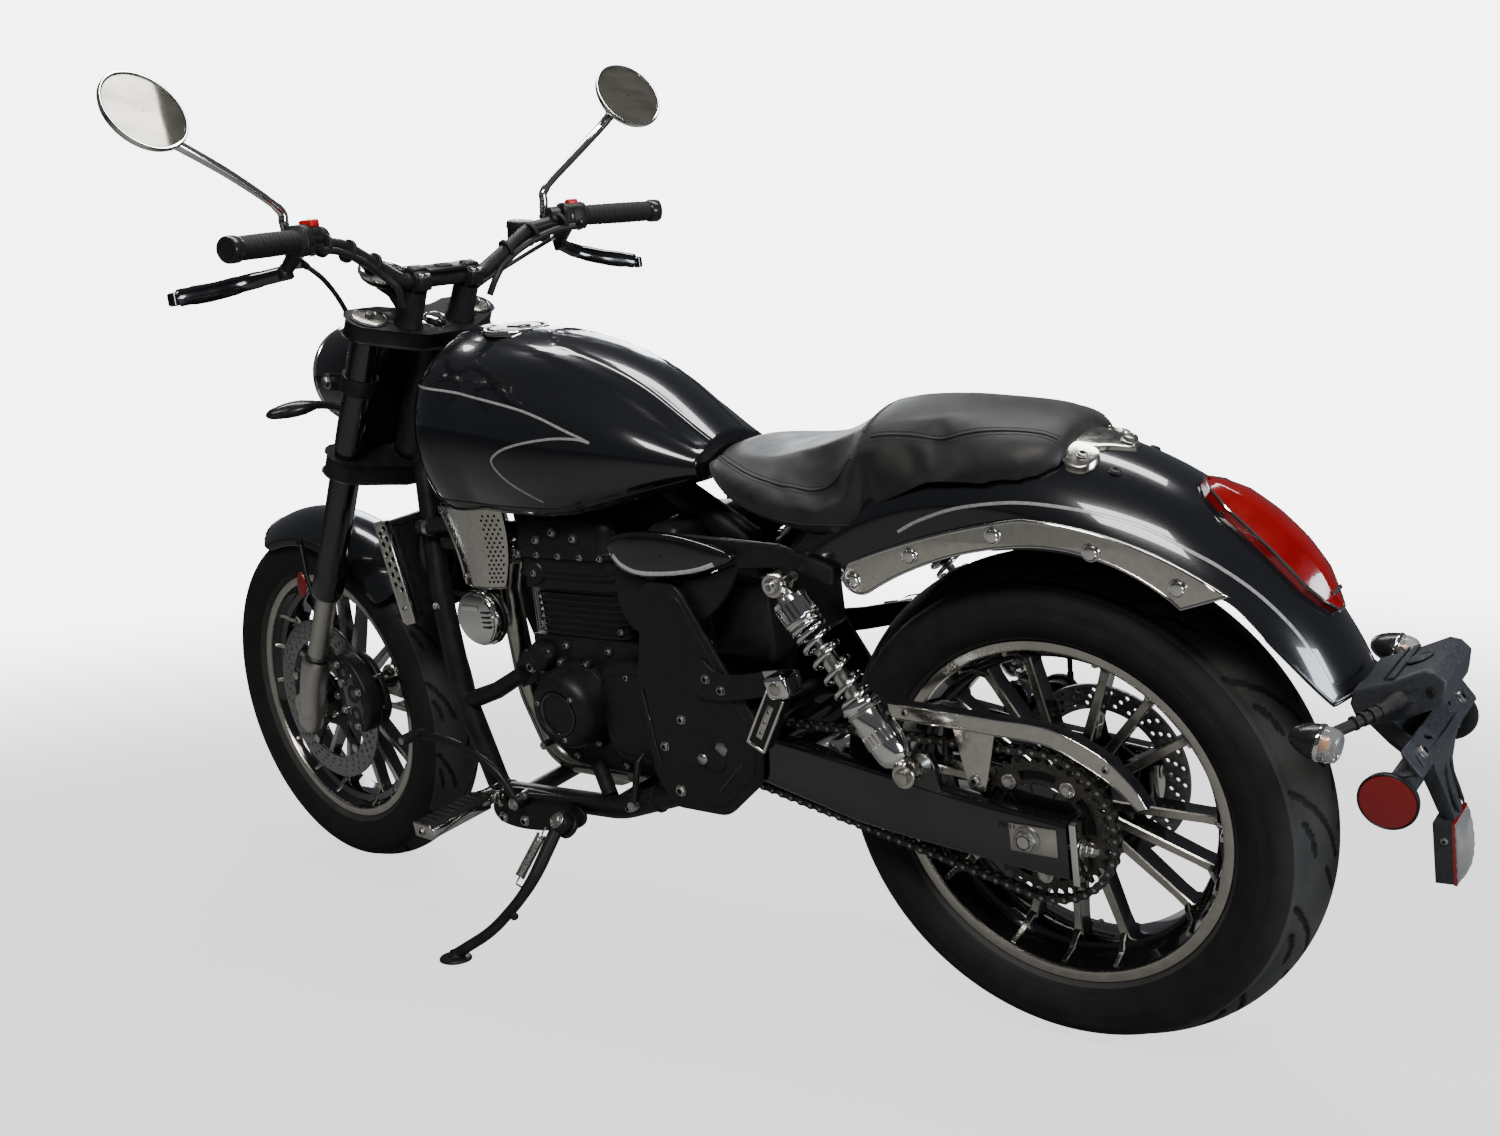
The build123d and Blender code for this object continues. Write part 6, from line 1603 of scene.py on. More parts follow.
# ------------------------------------------------------------------ passenger pegs
p = Piece("passenger_peg_parts", "chrome_worn", "chrome", "polish", "rubber", "steel", "satin")
PLATE = [(470, 520), (430, 500), (318, 520), (304, 512), (303, 500), (316, 488), (436, 462), (486, 470)]
for s in (1, -1):
    bar_plate(p, [(q.x, q.y) for q in curve_through([(x, z, 0) for x, z in PLATE], 3, closed=True)], s * 146.6, s * 152.2, "satin", 1.8, 3)
    bar_plate(p, [(362, 514), (338, 518), (304, 514), (303, 498), (318, 488), (352, 484)], s * 151.6, s * 154.4, "chrome_worn", 1.0, 2)
    for x, z in ((462, 492), (438, 478)):
        button(p, (x, s * 152.2, z), Y * s, 6.2, 4.2, "steel")
    # square head with its round bolt
    p.box((320, s * 168, 504), (35, 35, 33), "chrome", 7.0, axes=(Vector((0.98, 0, -0.2)), Y, Vector((0.2, 0, 0.98))), seg=4)
    p.lathe((320, s * 185.2, 504), Y * s, [(-0.4, 10.6), (0.8, 10.2), (1.0, 8.8)], "chrome", n=36)
    p.solid((320, s * 185.2, 504), Y * s, [(0, 8.6), (1.6, 8.4), (2.4, 6.8)], "polish", n=32)
    # folded peg: rubber body with an aluminium insert on its outer face
    a, b = Vector((323, s * 170.5, 494)), Vector((362, s * 176, 420))
    w = (b - a).normalized()
    n_ = (Y * s - w * w.dot(Y * s)).normalized()
    t_ = w.cross(n_)
    mid = a.lerp(b, 0.5) + w * 2
    p.box(mid, (30, 24, (b - a).length + 2), "rubber", 5.0, axes=(t_, n_, w), seg=4)
    for q in (1, -1):
        p.box(mid + n_ * 10.4 + t_ * (q * 13.6), (4.2, 5.6, (b - a).length + 1), "chrome", 1.6, axes=(t_, n_, w), seg=3)
    p.box(mid + n_ * 10.4 + w * ((b - a).length / 2 - 1.0), (27, 5.6, 4.6), "chrome", 1.6, axes=(t_, n_, w), seg=3)
    p.box(mid + n_ * 12.2, (10, 1.8, (b - a).length * 0.62), "chrome_worn", 0.8, axes=(t_, n_, w))
    for k in (-0.2, 0.0, 0.2):
        button(p, mid + n_ * 13.0 + w * ((b - a).length * k), n_, 2.6, 1.4, "polish")
    for k in range(7):
        for q in (-8.4, 8.4):
            p.box(mid + n_ * 12.0 + t_ * q + w * ((b - a).length * (k - 3) * 0.12), (3.2, 1.6, 4.6), "rubber", 0.5, axes=(t_, n_, w))
p.done("frame", "passenger_pegs", angle=40)
# ------------------------------------------------------------------ fork: clamps, covers, legs
S_AX = (steer(1000) - steer(900)).normalized()
F_AX = (steer(900, 10) - steer(900, 0)).normalized()
OFF, HALF = 33.5, 101.5


def at_fork(t, f=0.0, y=0.0):
    return steer(t, f, y)


def clamp(p, outline, t0, t1, mat, bevel=3.0, holes=()):
    """Plate square to the steering axis; outline in (forward, left) for the left half."""
    full = [(f, y) for f, y in outline] + [(f, -y) for f, y in reversed(outline) if abs(y) > 0.01]
    p.plate(at_fork((t0 + t1) / 2), F_AX, Y, full, abs(t1 - t0), mat, bevel, holes, res=3)


p = Piece("clamp_bridges", "satin", "gloss", "chrome", "polish", "steel", "rubber", "zinc")
UP = [(-33, 0), (-33, 38), (-24, 60), (-4, 96), (8, 116), (14, 127), (26, 133.5), (38, 135.5), (50, 133), (60, 126), (65, 116), (65.5, 92), (64, 62), (56, 44), (51, 28), (51, 0)]
LO = [(-30, 0), (-30, 26), (-20, 52), (-6, 92), (4, 116), (10, 126), (24, 132.5), (36, 133.5), (50, 131.5), (60, 124), (65.5, 114), (65, 60), (62, 0)]
clamp(p, UP, 1086.5, 1115.5, "satin", 4.0)
clamp(p, LO, 834.5, 871.5, "satin", 4.0)
# shallow pocket and rib on the upper bridge, pinch bolts of both
for s in (1, -1):
    c = at_fork(1115.6, OFF, s * HALF)
    p.lathe(c, S_AX, [(-0.4, 29.5), (1.6, 29.2), (2.4, 28.0), (2.4, 26.5)], "satin", n=56)
    p.lathe(c, S_AX, [(2.2, 26.6), (3.8, 26.0), (4.6, 24.4), (5.0, 15), (5.0, 0.01)], "polish", n=56)
    p.hexhead(c + S_AX * 5.0, S_AX, 9.6, 6.6, "polish", washer=False)
    for t0, t1 in ((1096, 1101), (842, 848), (858, 864)):
        p.hexhead(at_fork((t0 + t1) / 2, 64.5, s * (HALF - 16)), F_AX, 5.0, 4.6, "zinc", washer=False, socket=True)
    p.plate(at_fork(1116.4, 20, s * 70), F_AX, Y, [(-22, -12 * 1.0), (24, -14), (26, 12), (-6, 10)], 1.6, "satin", 0.6)
c = at_fork(1115.6)
p.lathe(c, S_AX, [(-0.5, 24), (1.6, 23.6), (2.2, 22)], "chrome", n=48)
p.hexhead(c + S_AX * 1.6, S_AX, 17.5, 9.0, "chrome", washer=False)
p.solid(c + S_AX * 10.4, S_AX, [(0, 9.5), (1.6, 9.2)], "chrome", n=32)
p.pipe([at_fork(862), at_fork(1126)], 13.0, "steel", n=32)
for t in (874, 878):
    p.solid(at_fork(t), S_AX, [(0, 27), (3, 27)], "satin", n=40)
# steering stop under the lower bridge
p.box(at_fork(846, 60, 0), (8, 30, 16), "satin", 2.0, axes=(F_AX, Y, S_AX))
# riser posts and the two riser clamps with their bolts and the key tab between them
for s in (1, -1):
    base = at_fork(1116.4, 2, s * 50)
    top = Vector((1008, s * 50, 1048))
    w = (top - base).normalized()
    p.solid(base, w, [(0, 23), (4, 22.4), (8, 20.6), ((top - base).length - 14, 19.6)], "satin", n=44)
    p.solid((1008, s * 36.5, 1048), Y * s, [(0, 19.4), (1.2, 20.2), (25.8, 20.2), (27, 19.4)], "satin", n=56)
    for d in (1, -1):
        side = Vector((0.94 * d, 0, 0.34 * d)).normalized()
        upw = Vector((-0.34, 0, 0.94))
        p.box(Vector((1008, s * 50, 1048)) + side * 19 + upw * 1.5, (13, 25.5, 22), "satin", 3.0, axes=(side, Y, upw))
        for y in (44, 56):
            p.lathe(Vector((1008, s * y, 1048)) + side * 19.5 + upw * 11.8, upw, [(0, 4.4), (4.4, 4.4), (5.0, 3.6), (5.0, 2.3), (2.2, 2.2), (2.2, 0.01)], "zinc", n=20)
    p.box(Vector((1008, s * 50, 1048)) + Vector((-0.34, 0, 0.94)) * 19.5, (20, 25, 5), "satin", 2.0, axes=(Vector((0.94, 0, 0.34)), Y, Vector((-0.34, 0, 0.94))))
p.box(Vector((1008, 0, 1048)) + Vector((-0.34, 0, 0.94)) * 16.5, (26, 72, 6), "satin", 2.2, axes=(Vector((0.94, 0, 0.34)), Y, Vector((-0.34, 0, 0.94))))
p.box(Vector((1008, 0, 1048)) + Vector((-0.34, 0, 0.94)) * 20, (16, 26, 3), "rubber", 1.2, axes=(Vector((0.94, 0, 0.34)), Y, Vector((-0.34, 0, 0.94))))
p.done("fork", "triple_clamps", angle=38)

p = Piece("fork_covers", "gloss", "satin", "chrome", "steel", "rubber")
for s in (1, -1):
    c = lambda t: at_fork(t, OFF, s * HALF)
    base = c(589)
    p.lathe(base, S_AX, [(0, 17), (0, 24.6), (2, 26.2), (6, 26.6), (30, 26.6), (44, 26.2), (52, 24.9), (58, 24.5), (240, 24.5), (244, 24.0), (246, 24.5), (282, 24.5), (286, 24.0), (290, 24.5), (494, 24.5), (497, 23.6), (532, 23.6)], "gloss", n=72)
    p.lathe(base, S_AX, [(-1.2, 17.6), (-1.2, 22.4), (0.4, 23.4), (3, 23.4)], "rubber", n=56)
    # clamp bands of the headlight brackets
    for t in (992, 1012):
        p.lathe(c(t), S_AX, [(-1.5, 24.4), (-1.5, 25.2), (1.5, 25.2), (1.5, 24.4)], "satin", n=56)
p.done("fork", "fork_tubes", angle=40)

p = Piece("fork_legs", "brushed", "satin", "gloss", "chrome", "steel", "red_reflector", "rubber", "zinc", "engine")
for s in (1, -1):
    c = lambda t, f=0, y=0: at_fork(t, OFF + f, s * (HALF + y))
    p.lathe(c(430), S_AX, [(0, 17.6), (20, 18.0), (154, 18.0), (160, 17.4)], "brushed", n=72)
    # wiper ring at the top of the bright tube, seal cap at the lower body
    p.lathe(c(449), S_AX, [(-2, 18), (-1, 20.6), (3, 21.6), (8, 21.2), (10, 18.4)], "satin", n=56)
    # lower body that swells into the axle boss
    rows = []
    prof = ((452, 19, 19, 0), (446, 22.5, 21.5, 0), (437, 24.6, 21.8, 0), (400, 25.0, 20.8, 1), (360, 26.0, 18.0, 3), (330, 26.5, 15.8, 5), (311, 27, 14.8, 6), (300, 25, 14.2, 6), (292, 20, 13, 6))
    for t, a, b, dy in prof:
        o = at_fork(t, OFF + (0 if t > 430 else (437 - t) * 0.0), s * (HALF - dy))
        ring = []
        for k in range(36):
            q = 2 * math.pi * k / 36
            cx, cy = math.cos(q), math.sin(q)
            m = (abs(cx) ** 3.2 + abs(cy) ** 3.2) ** (-1 / 3.2)
            ring.append(o + F_AX * (a * cx * m) + Y * (b * cy * m))
        rows.append(ring)
    p.grid(rows, "brushed", close_v=True)
    for e in (0, -1):
        p.put(rows[e], [tuple(range(36))], "brushed")
    # axle clamp with its pinch bolt, reflector on the outside
    p.solid((1447, s * 75.5, 315), Y * s, [(0, 25), (2, 26.5), (33, 26.5), (36, 25), (36, 16)], "brushed", n=56)
    p.solid((1447, s * 74, 315), -Y * s, [(-1, 18), (2.4, 16.8)], "satin", n=40)
    p.hexhead(at_fork(304, OFF + 27, s * (HALF - 6)), F_AX, 5.2, 5.0, "zinc", washer=False, socket=True)
    # reflector stalk, chrome cup and oval red lens
    o = Vector((1370, s * 119.5, 551))
    ring1, ring2, ring3, ring4 = [], [], [], []
    for k in range(48):
        q = 2 * math.pi * k / 48
        e = Vector((13.0 * math.cos(q), 0, 23.0 * math.sin(q)))
        e = Matrix.Rotation(math.radians(-8), 3, "Y") @ e
        ring1.append(o + e * 0.8 - Y * (s * 4.6))
        ring2.append(o + e * 1.0 - Y * (s * 1.8))
        ring3.append(o + e * 0.93 + Y * (s * 0.4))
        ring4.append(o + e * 0.5 + Y * (s * 1.3))
    p.grid([ring1, ring2], "chrome", close_v=True)
    p.put(ring1, [tuple(range(48))], "chrome")
    p.grid([ring2, ring3, ring4, [o + Y * (s * 1.5)] * 48], "red_reflector", close_v=True)
# brace plates that carry the fender inside the legs
for s in (1, -1):
    for t in (500, 470):
        p.solid(at_fork(t, OFF, s * (HALF - 17)), -Y * s, [(-4, 9), (1.5, 9)], "zinc", n=28)
p.done("fork", "fork_lowers", angle=38)

p = Piece("front_axle_ends", "steel", "zinc", "satin", "chrome")
p.pipe([Vector((1447, -88, 315)), Vector((1447, 88, 315))], 8.4, "steel", n=32)
p.hexhead((1447, 104, 315), Y, 12.5, 7.0, "zinc")
p.hexhead((1447, -104, 315), -Y, 13.5, 8.5, "zinc")
p.done("fork", "front_axle", angle=36)

# ------------------------------------------------------------------ front caliper
fx, fz = 1447.0, 315.0
CALF = [(-96, 104), (-118, 104), (-142, 92), (-165, 66), (-178, 40), (-181, 8), (-176, -10), (-164, -26), (-146, -34), (-122, -26), (-100, -8), (-92, 20), (-90, 60), (-92, 88)]
CALF = [(fx + q.x, fz + q.y) for q in curve_through([(a, b, 0) for a, b in CALF], 4, closed=True)]
p = Piece("front_caliper_body", "engine", "satin", "steel", "zinc", "hose", "chrome")
cx, cz = fx - 135, fz + 36
bar_plate(p, around(CALF, cx, cz, 2), 60.5, 91.0, "engine", 5.0, 4)
bar_plate(p, around(CALF, cx, cz, 8), 38.6, 50.6, "engine", 3.0, 3)
bar_plate(p, around(CALF, cx, cz, 20), 86.0, 92.0, "gloss", 2.0, 3)
for dx, dz, r in ((-118, 74, 15.5), (-140, 38, 17), (-140, 0, 15.5)):
    p.lathe((fx + dx, 92.0, fz + dz), Y, [(-1, r), (0.8, r - 0.6), (1.2, r - 3), (0.2, r - 4), (-0.3, 0.01)], "satin", n=44)
for dx, dz in ((-104, 88), (-158, 44), (-142, -20), (-108, 6)):
    p.hexhead((fx + dx, 91.8, fz + dz), Y, 5.4, 4.2, "zinc", washer=True, socket=True)
p.solid((fx - 112, 91.5, fz + 56), Y, [(0, 8.2), (5.5, 7.8), (6, 6)], "steel", n=28)
for k, (a, b) in enumerate((((-96, 92), (-60, 104)), ((-110, -8), (-70, -20)))):
    p.pipe([Vector((fx + a[0], 84, fz + a[1])), Vector((fx + b[0], 90, fz + b[1]))], 7.0, "engine", n=16)
# bridge pins over the disc
for dx, dz in ((-168, 60), (-172, 4)):
    p.pipe([Vector((fx + dx + 10, 44, fz + dz)), Vector((fx + dx + 10, 66, fz + dz))], 5.0, "zinc", n=16)
p.done("fork", "front_caliper", angle=38)

# ------------------------------------------------------------------ headlight
p = Piece("headlight_lamp", "gloss", "chrome", "clear_lens", "polish", "satin", "rubber", "steel")
HC = Vector((1238, 0, 900))
p.lathe(HC, X, [(-82, 0.01), (-82.5, 20), (-81, 40), (-74, 52), (-62, 61.5), (-48, 69.5), (-32, 76), (-14, 79.6), (4, 81.2), (30, 81.2), (42, 81.0)], "gloss", n=96)
p.lathe(HC, X, [(41, 80.6), (42, 82.0), (46, 82.4), (52, 80.6), (55, 77), (55.5, 73), (53, 71.5)], "chrome", n=96)
p.lathe(HC, X, [(54, 72), (60, 62), (65, 46), (67.5, 26), (68, 0.01)], "clear_lens", n=80)
p.lathe(HC, X, [(52, 71), (38, 62), (18, 44), (2, 22), (0, 10)], "polish", n=80)
p.solid(HC + X * 2, X, [(0, 7), (16, 8), (34, 8), (40, 5)], "chrome", n=32)
p.solid(HC + X * -80, -X, [(0, 18), (4, 17.6), (5, 14)], "rubber", n=40)
for s in (1, -1):
    arm = [(1230, 914), (1230, 886), (1196, 884), (1150, 885), (1147, 911), (1190, 913)]
    bar_plate(p, arm, s * 92.2, s * 96.8, "satin", 1.6, 3)
    p.hexhead((1222, s * 96.8, 900), Y * s, 9, 7, "steel")
    p.solid((1222, s * 80, 900), Y * s, [(0, 9), (12.5, 9)], "satin", n=28)
    c = at_fork(991, OFF, s * HALF)
    p.lathe(c, S_AX, [(-1, 24.6), (-1, 28.4), (0, 29.3), (24, 29.3), (25.5, 28.4), (25.5, 24.6)], "satin", n=64)
    p.hexhead(at_fork(1003, OFF + 28, s * (HALF - 8)), F_AX, 5, 4, "zinc", washer=False)
    a = at_fork(1003, OFF + 20, s * (HALF - 6))
    p.pipe([a, a.lerp(Vector((1190, s * 94.5, 900)), 0.5) + Vector((6, 0, 0)), Vector((1176, s * 94.5, 899))], 7.0, "satin", n=16, flat=0.5)
p.done("fork", "headlight", angle=38)

p = Piece("front_indicator_pods", "plastic_gloss", "amber_lens", "chrome", "rubber", "smoke_lens")
for s in (1, -1):
    a0 = Vector(at_fork(958, 49.5, s * 128))
    p.pipe(curve_through([Vector(at_fork(958, 40, s * 118)), a0, a0.lerp(Vector((1206, s * 132, 868)), 0.6), Vector((1206, s * 134, 868))], 6), [8.5, 7.6, 6.8, 6.6, 7.0], "rubber", n=18)
    a, b = Vector((1206, s * 130, 868)), Vector((1228, s * 212, 862))
    w = (b - a).normalized()
    u, v, _ = plane_axes(w)
    rows = []
    prof = [(-1, 2.5), (1, 7.5), (10, 11), (26, 15.6), (40, 16.4), (52, 15.8), (66, 13.4), (78, 10.4), (84, 6.5), (86.5, 2.0)]
    for d, r in prof:
        rows.append([a + w * d + u * (r * 1.02 * math.cos(q)) + v * (r * (0.86 if math.sin(q) > 0 else 0.7) * math.sin(q)) for q in [2 * math.pi * k / 40 for k in range(40)]])
    p.grid(rows, "plastic_gloss", close_v=True)
    p.put(rows[0], [tuple(range(40))], "plastic_gloss")
    p.put(rows[-1], [tuple(range(40))], "plastic_gloss")
    # lens facing forwards
    lens = []
    for d in (24, 34, 50, 66, 78):
        r = lookup(prof, d)
        lens.append([a + w * d + u * (r * 1.07 * math.cos(q)) + v * (r * 0.8 * math.sin(q)) for q in [math.radians(x_) for x_ in (-58, -35, -12, 12, 35, 58)]])
    sign = 1 if (lens[2][2] - (a + w * 50)).x > 0 else -1
    if sign < 0:
        lens = [[a + w * d + u * (-lookup(prof, d) * 1.07 * math.cos(q)) + v * (lookup(prof, d) * 0.8 * math.sin(q)) for q in [math.radians(x_) for x_ in (-58, -35, -12, 12, 35, 58)]] for d in (24, 34, 50, 66, 78)]
    p.grid(lens, "amber_lens")
p.done("fork", "front_indicators", angle=40)

# ------------------------------------------------------------------ handlebar, grips, switches, levers, cables
p = Piece("handlebar_tube", "satin", "hose", "rubber")
pts = []
for s in (1, -1):
    line = rounded_line([Vector((1008, 0, 1048)), Vector((1008, s * 78, 1048)), Vector((996, s * 176, 1108)), Vector((974, s * 262, 1122)), Vector((926, s * 404, 1118))], [42, 60, 60], per=14)
    radii = [12.7 if abs(q.y) < 82 else (12.7 - 1.7 * min(1, (abs(q.y) - 82) / 40)) for q in line]
    p.pipe(line, radii, "satin", n=32)
    # wiring loom strapped to the tube from the switch housing to the clamps
    loom = curve_through([Vector((956, s * 240, 1106)), Vector((969, s * 205, 1102)), Vector((983, s * 160, 1086)), Vector((994, s * 120, 1062)), Vector((994, s * 96, 1040)), Vector((1004, s * 84, 1012))], 8)
    p.pipe(loom, 5.4, "hose", n=16)
    for y, x, z in ((226, 972.5, 1112.5), (176, 989, 1101.5), (128, 1001, 1079)):
        c = Vector((x, s * y, z))
        t = (Vector((974, s * 262, 1122)) - Vector((1008, s * 78, 1048))).normalized()
        p.solid(c - t * 3, t, [(0, 16.6), (0.8, 17.4), (5.2, 17.4), (6, 16.6)], "rubber", n=32)
p.done("fork", "handlebar", angle=45)

p = Piece("controls", "rubber", "engine", "plastic_gloss", "satin", "red_button", "zinc", "chrome", "gloss", "steel", "polish", "smoke_lens")
for s in (1, -1):
    a, b = Vector((974, s * 262, 1122)), Vector((926, s * 404, 1118))
    w = (b - a).normalized()
    g0, g1 = a + w * 9, b - w * 12
    L = (g1 - g0).length
    u, v, _ = plane_axes(w)
    # grip: flange, ribbed body, flared end and bar-end cap
    p.lathe(g0, w, [(-1, 11.4), (-1, 20.5), (0, 21.5), (3, 21.5), (4.5, 19), (7, 16.6)], "rubber", n=48)
    rows = []
    n_r = 84
    for k in range(n_r + 1):
        d = 7 + (L - 16) * k / n_r
        rr = []
        for j in range(48):
            q = 2 * math.pi * j / 48
            r = 16.4 + 0.5 * math.sin(math.pi * k / n_r)
            rib = 0.55 if (int(d / 4.4) % 2 == 0 and abs(math.sin(q * 1.5)) > 0.42) else 0.0
            rr.append(g0 + w * d + (u * math.cos(q) + v * math.sin(q)) * (r - rib))
        rows.append(rr)
    p.grid(rows, "rubber", close_v=True)
    p.lathe(g0, w, [(L - 9.5, 16.2), (L - 8, 17.6), (L - 6.5, 16.2)], "rubber", n=48)
    p.lathe(b, w, [(-20, 16.2), (-18.5, 17.8), (-16, 18.6), (-10, 18.8), (-2, 18.4), (0, 17.2), (0.4, 12)], "plastic_gloss", n=48)
    p.lathe(b, w, [(0.4, 12.4), (-1.0, 11.6), (-1.2, 0.01)], "satin", n=40)
    # switch housing: two rounded halves with a seam, buttons and screws
    o = a - w * 30
    fwd_ = (X - w * w.dot(X)).normalized()
    upw = w.cross(fwd_) if w.cross(fwd_).z > 0 else -w.cross(fwd_)
    rows = []
    for d, k in ((0, 0.84), (1.2, 0.94), (3, 1.0), (18, 1.0), (20, 0.975), (22, 1.0), (36, 1.0), (38.6, 0.94), (40, 0.84)):
        ring = []
        for j in range(44):
            q = 2 * math.pi * j / 44
            cx, cy = math.cos(q), math.sin(q)
            m = (abs(cx) ** 3 + abs(cy) ** 3) ** (-1 / 3)
            ring.append(o + w * d + fwd_ * (21.4 * k * cx * m) + upw * (22.4 * k * cy * m))
        rows.append(ring)
    p.grid(rows, "engine", close_v=True)
    p.put(rows[0], [tuple(range(44))], "engine")
    p.put(rows[-1], [tuple(range(44))], "engine")
    back = -fwd_
    if s == 1:
        p.box(o + w * 13 + upw * 22 + back * 8, (19, 24, 11), "red_button", 3.0, axes=(w, fwd_, upw), seg=3)
        p.box(o + w * 29 + back * 21, (11, 5, 10), "plastic_gloss", 1.6, axes=(w, back, upw))
        p.box(o + w * 14 + back * 21.4, (14, 5, 7), "plastic_gloss", 1.4, axes=(w, back, upw))
        p.solid(o + w * 14 + back * 21 - upw * 12, back, [(0, 5.4), (3.6, 5.0), (4.2, 3.8)], "plastic_gloss", n=24)
        p.box(o + w * 29 + back * 19.5 - upw * 13, (10, 4.5, 8), "satin", 1.2, axes=(w, back, upw))
    else:
        p.box(o + w * 20 + upw * 22 + back * 7, (18, 17, 10), "red_button", 3.0, axes=(w, fwd_, upw), seg=3)
        p.box(o + w * 14 + back * 21, (9, 5, 16), "plastic_gloss", 1.4, axes=(w, back, upw))
        p.solid(o + w * 28 + back * 21 - upw * 10, back, [(0, 5.4), (3.6, 5.0), (4.2, 3.8)], "plastic_gloss", n=24)
    for d in (8, 32):
        p.solid(o + w * d - upw * 22.2, -upw, [(0, 3.4), (1.6, 3.2)], "zinc", n=16)
    # lever perch with its clamp, pivot and blade
    pa, pb = Vector((986, s * 254, 1116)), Vector((1026, s * 262, 1080))
    q0 = o - w * 6
    p.solid(q0 - w * 14, w, [(0, 15.5), (1.5, 17), (16.5, 17), (18, 15.5)], "satin", n=44)
    p.pipe([pa.lerp(pb, 0.15), pa.lerp(pb, 0.6), pb], [12.5, 10.5, 9.2], "satin", n=24)
    p.solid(pb + Vector((-4, 0, -9)), Vector((0.25, 0, 1)), [(0, 10), (1, 11), (15, 11), (16.5, 10)], "satin", n=32)
    p.hexhead(pb + Vector((0.6, 0, 7.8)), Vector((0.25, 0, 1)), 5.2, 4.0, "zinc")
    tip = Vector((1065, 418, 1060)) if s == 1 else Vector((985, -400, 1035))
    mid1 = pb.lerp(tip, 0.28) + Vector((16, 0, -2))
    mid2 = pb.lerp(tip, 0.62) + Vector((9, 0, -3))
    path = curve_through([pb, mid1, mid2, pb.lerp(tip, 0.9) + Vector((1, 0, 0)), tip], 8)
    m = len(path)
    rows = []
    for k, q in enumerate(path):
        t = (path[min(k + 1, m - 1)] - path[max(k - 1, 0)]).normalized()
        f_ = (X - t * t.dot(X)).normalized()
        z_ = t.cross(f_)
        h = [11.0, 12.0, 13.0, 13.4, 12.4, 9.8][min(5, int(6 * k / m))]
        wd = 4.8 if k < m - 3 else 5.8
        rows.append([q + f_ * (wd * math.cos(g)) + z_ * (h * math.sin(g)) for g in [2 * math.pi * j / 18 for j in range(18)]])
    p.grid(rows, "gloss", close_v=True)
    p.put(rows[0], [tuple(range(18))], "gloss")
    p.put(rows[-1], [tuple(range(18))], "gloss")
    p.solid(tip - Vector((0, 0, 9.4)), Z, [(0, 5), (2, 7.4), (16.6, 7.4), (18.6, 5)], "gloss", n=24)
# brake reservoir
ra, rb = Vector((1082, -226, 1084)), Vector((1074, -226, 1124))
w = (rb - ra).normalized()
p.lathe(ra, w, [(0, 0.01), (0, 20), (3, 22.4), (28, 23)], "plastic_gloss", n=56)
p.lathe(ra, w, [(28, 23), (28.5, 24.4), (36, 24.4), (40, 23), (40.8, 20), (40.8, 0.01)], "satin", n=56)
for k in range(3):
    q = 2 * math.pi * k / 3
    p.solid(ra + w * 40.6 + X * (17 * math.cos(q)) + Y * (17 * math.sin(q)), w, [(0, 2.8), (0.8, 2.4)], "zinc", n=14)
p.pipe(curve_through([Vector((1078, -232, 1092)), Vector((1060, -238, 1096)), Vector((1036, -250, 1092))], 6), 8.5, "satin", n=20)
# clutch cable adjuster on the left
p.pipe([Vector((1020, 250, 1090)), Vector((1022, 232, 1090))], 6.5, "zinc", n=16)
p.done("fork", "hand_controls", angle=38)

p = Piece("cables", "hose", "zinc", "satin")
for r, line in ((4.0, [(1016, 238, 1092), (1060, 178, 1064), (1100, 128, 1026), (1140, 80, 972), (1172, 30, 912)]),
                (3.5, [(1000, -250, 1098), (1052, -192, 1062), (1096, -132, 1024), (1138, -82, 972), (1170, -30, 912)]),
                (4.5, [(1060, -230, 1090), (1086, -182, 1066), (1118, -128, 1024), (1156, -86, 974), (1181, -38, 926)])):
    pts = curve_through([Vector(q) for q in line], 12)
    p.pipe(pts, r, "hose", n=16)
    d = (pts[3] - pts[0]).normalized()
    p.pipe([pts[0] - d * 2, pts[0] + d * 16], r + 1.6, "rubber", n=16)
    p.pipe([pts[0] + d * 15, pts[0] + d * 22], r + 0.8, "zinc", n=16)
p.done("fork", "control_cables", angle=50)

# wiring cover between the fork tubes, behind the headlight
p = Piece("wiring_cover", "satin", "hose", "plastic_gloss")
rows = []
for t, f, hy in ((874, 44, 70), (884, 42, 76), (930, 40, 78), (985, 42, 76), (1030, 46, 64), (1056, 50, 40)):
    o = at_fork(t, f)
    ring = []
    for k in range(32):
        g = 2 * math.pi * k / 32
        c_, s_ = math.cos(g), math.sin(g)
        m_ = (abs(c_) ** 4 + abs(s_) ** 4) ** (-0.25)
        ring.append(o + F_AX * (9 * c_ * m_) + Y * (hy * s_ * m_))
    rows.append(ring)
p.grid(rows, "satin", close_v=True)
for e in (0, -1):
    p.put(rows[e], [tuple(range(32))], "satin")
for y0, y1 in ((-30, -52), (18, 40), (44, 20)):
    p.pipe(curve_through([at_fork(1050, 58, y0), at_fork(1000, 64, (y0 + y1) / 2), at_fork(930, 60, y1), at_fork(880, 50, y1 * 0.8)], 8), 5.0, "hose", n=12)
p.done("fork", (), angle=45)

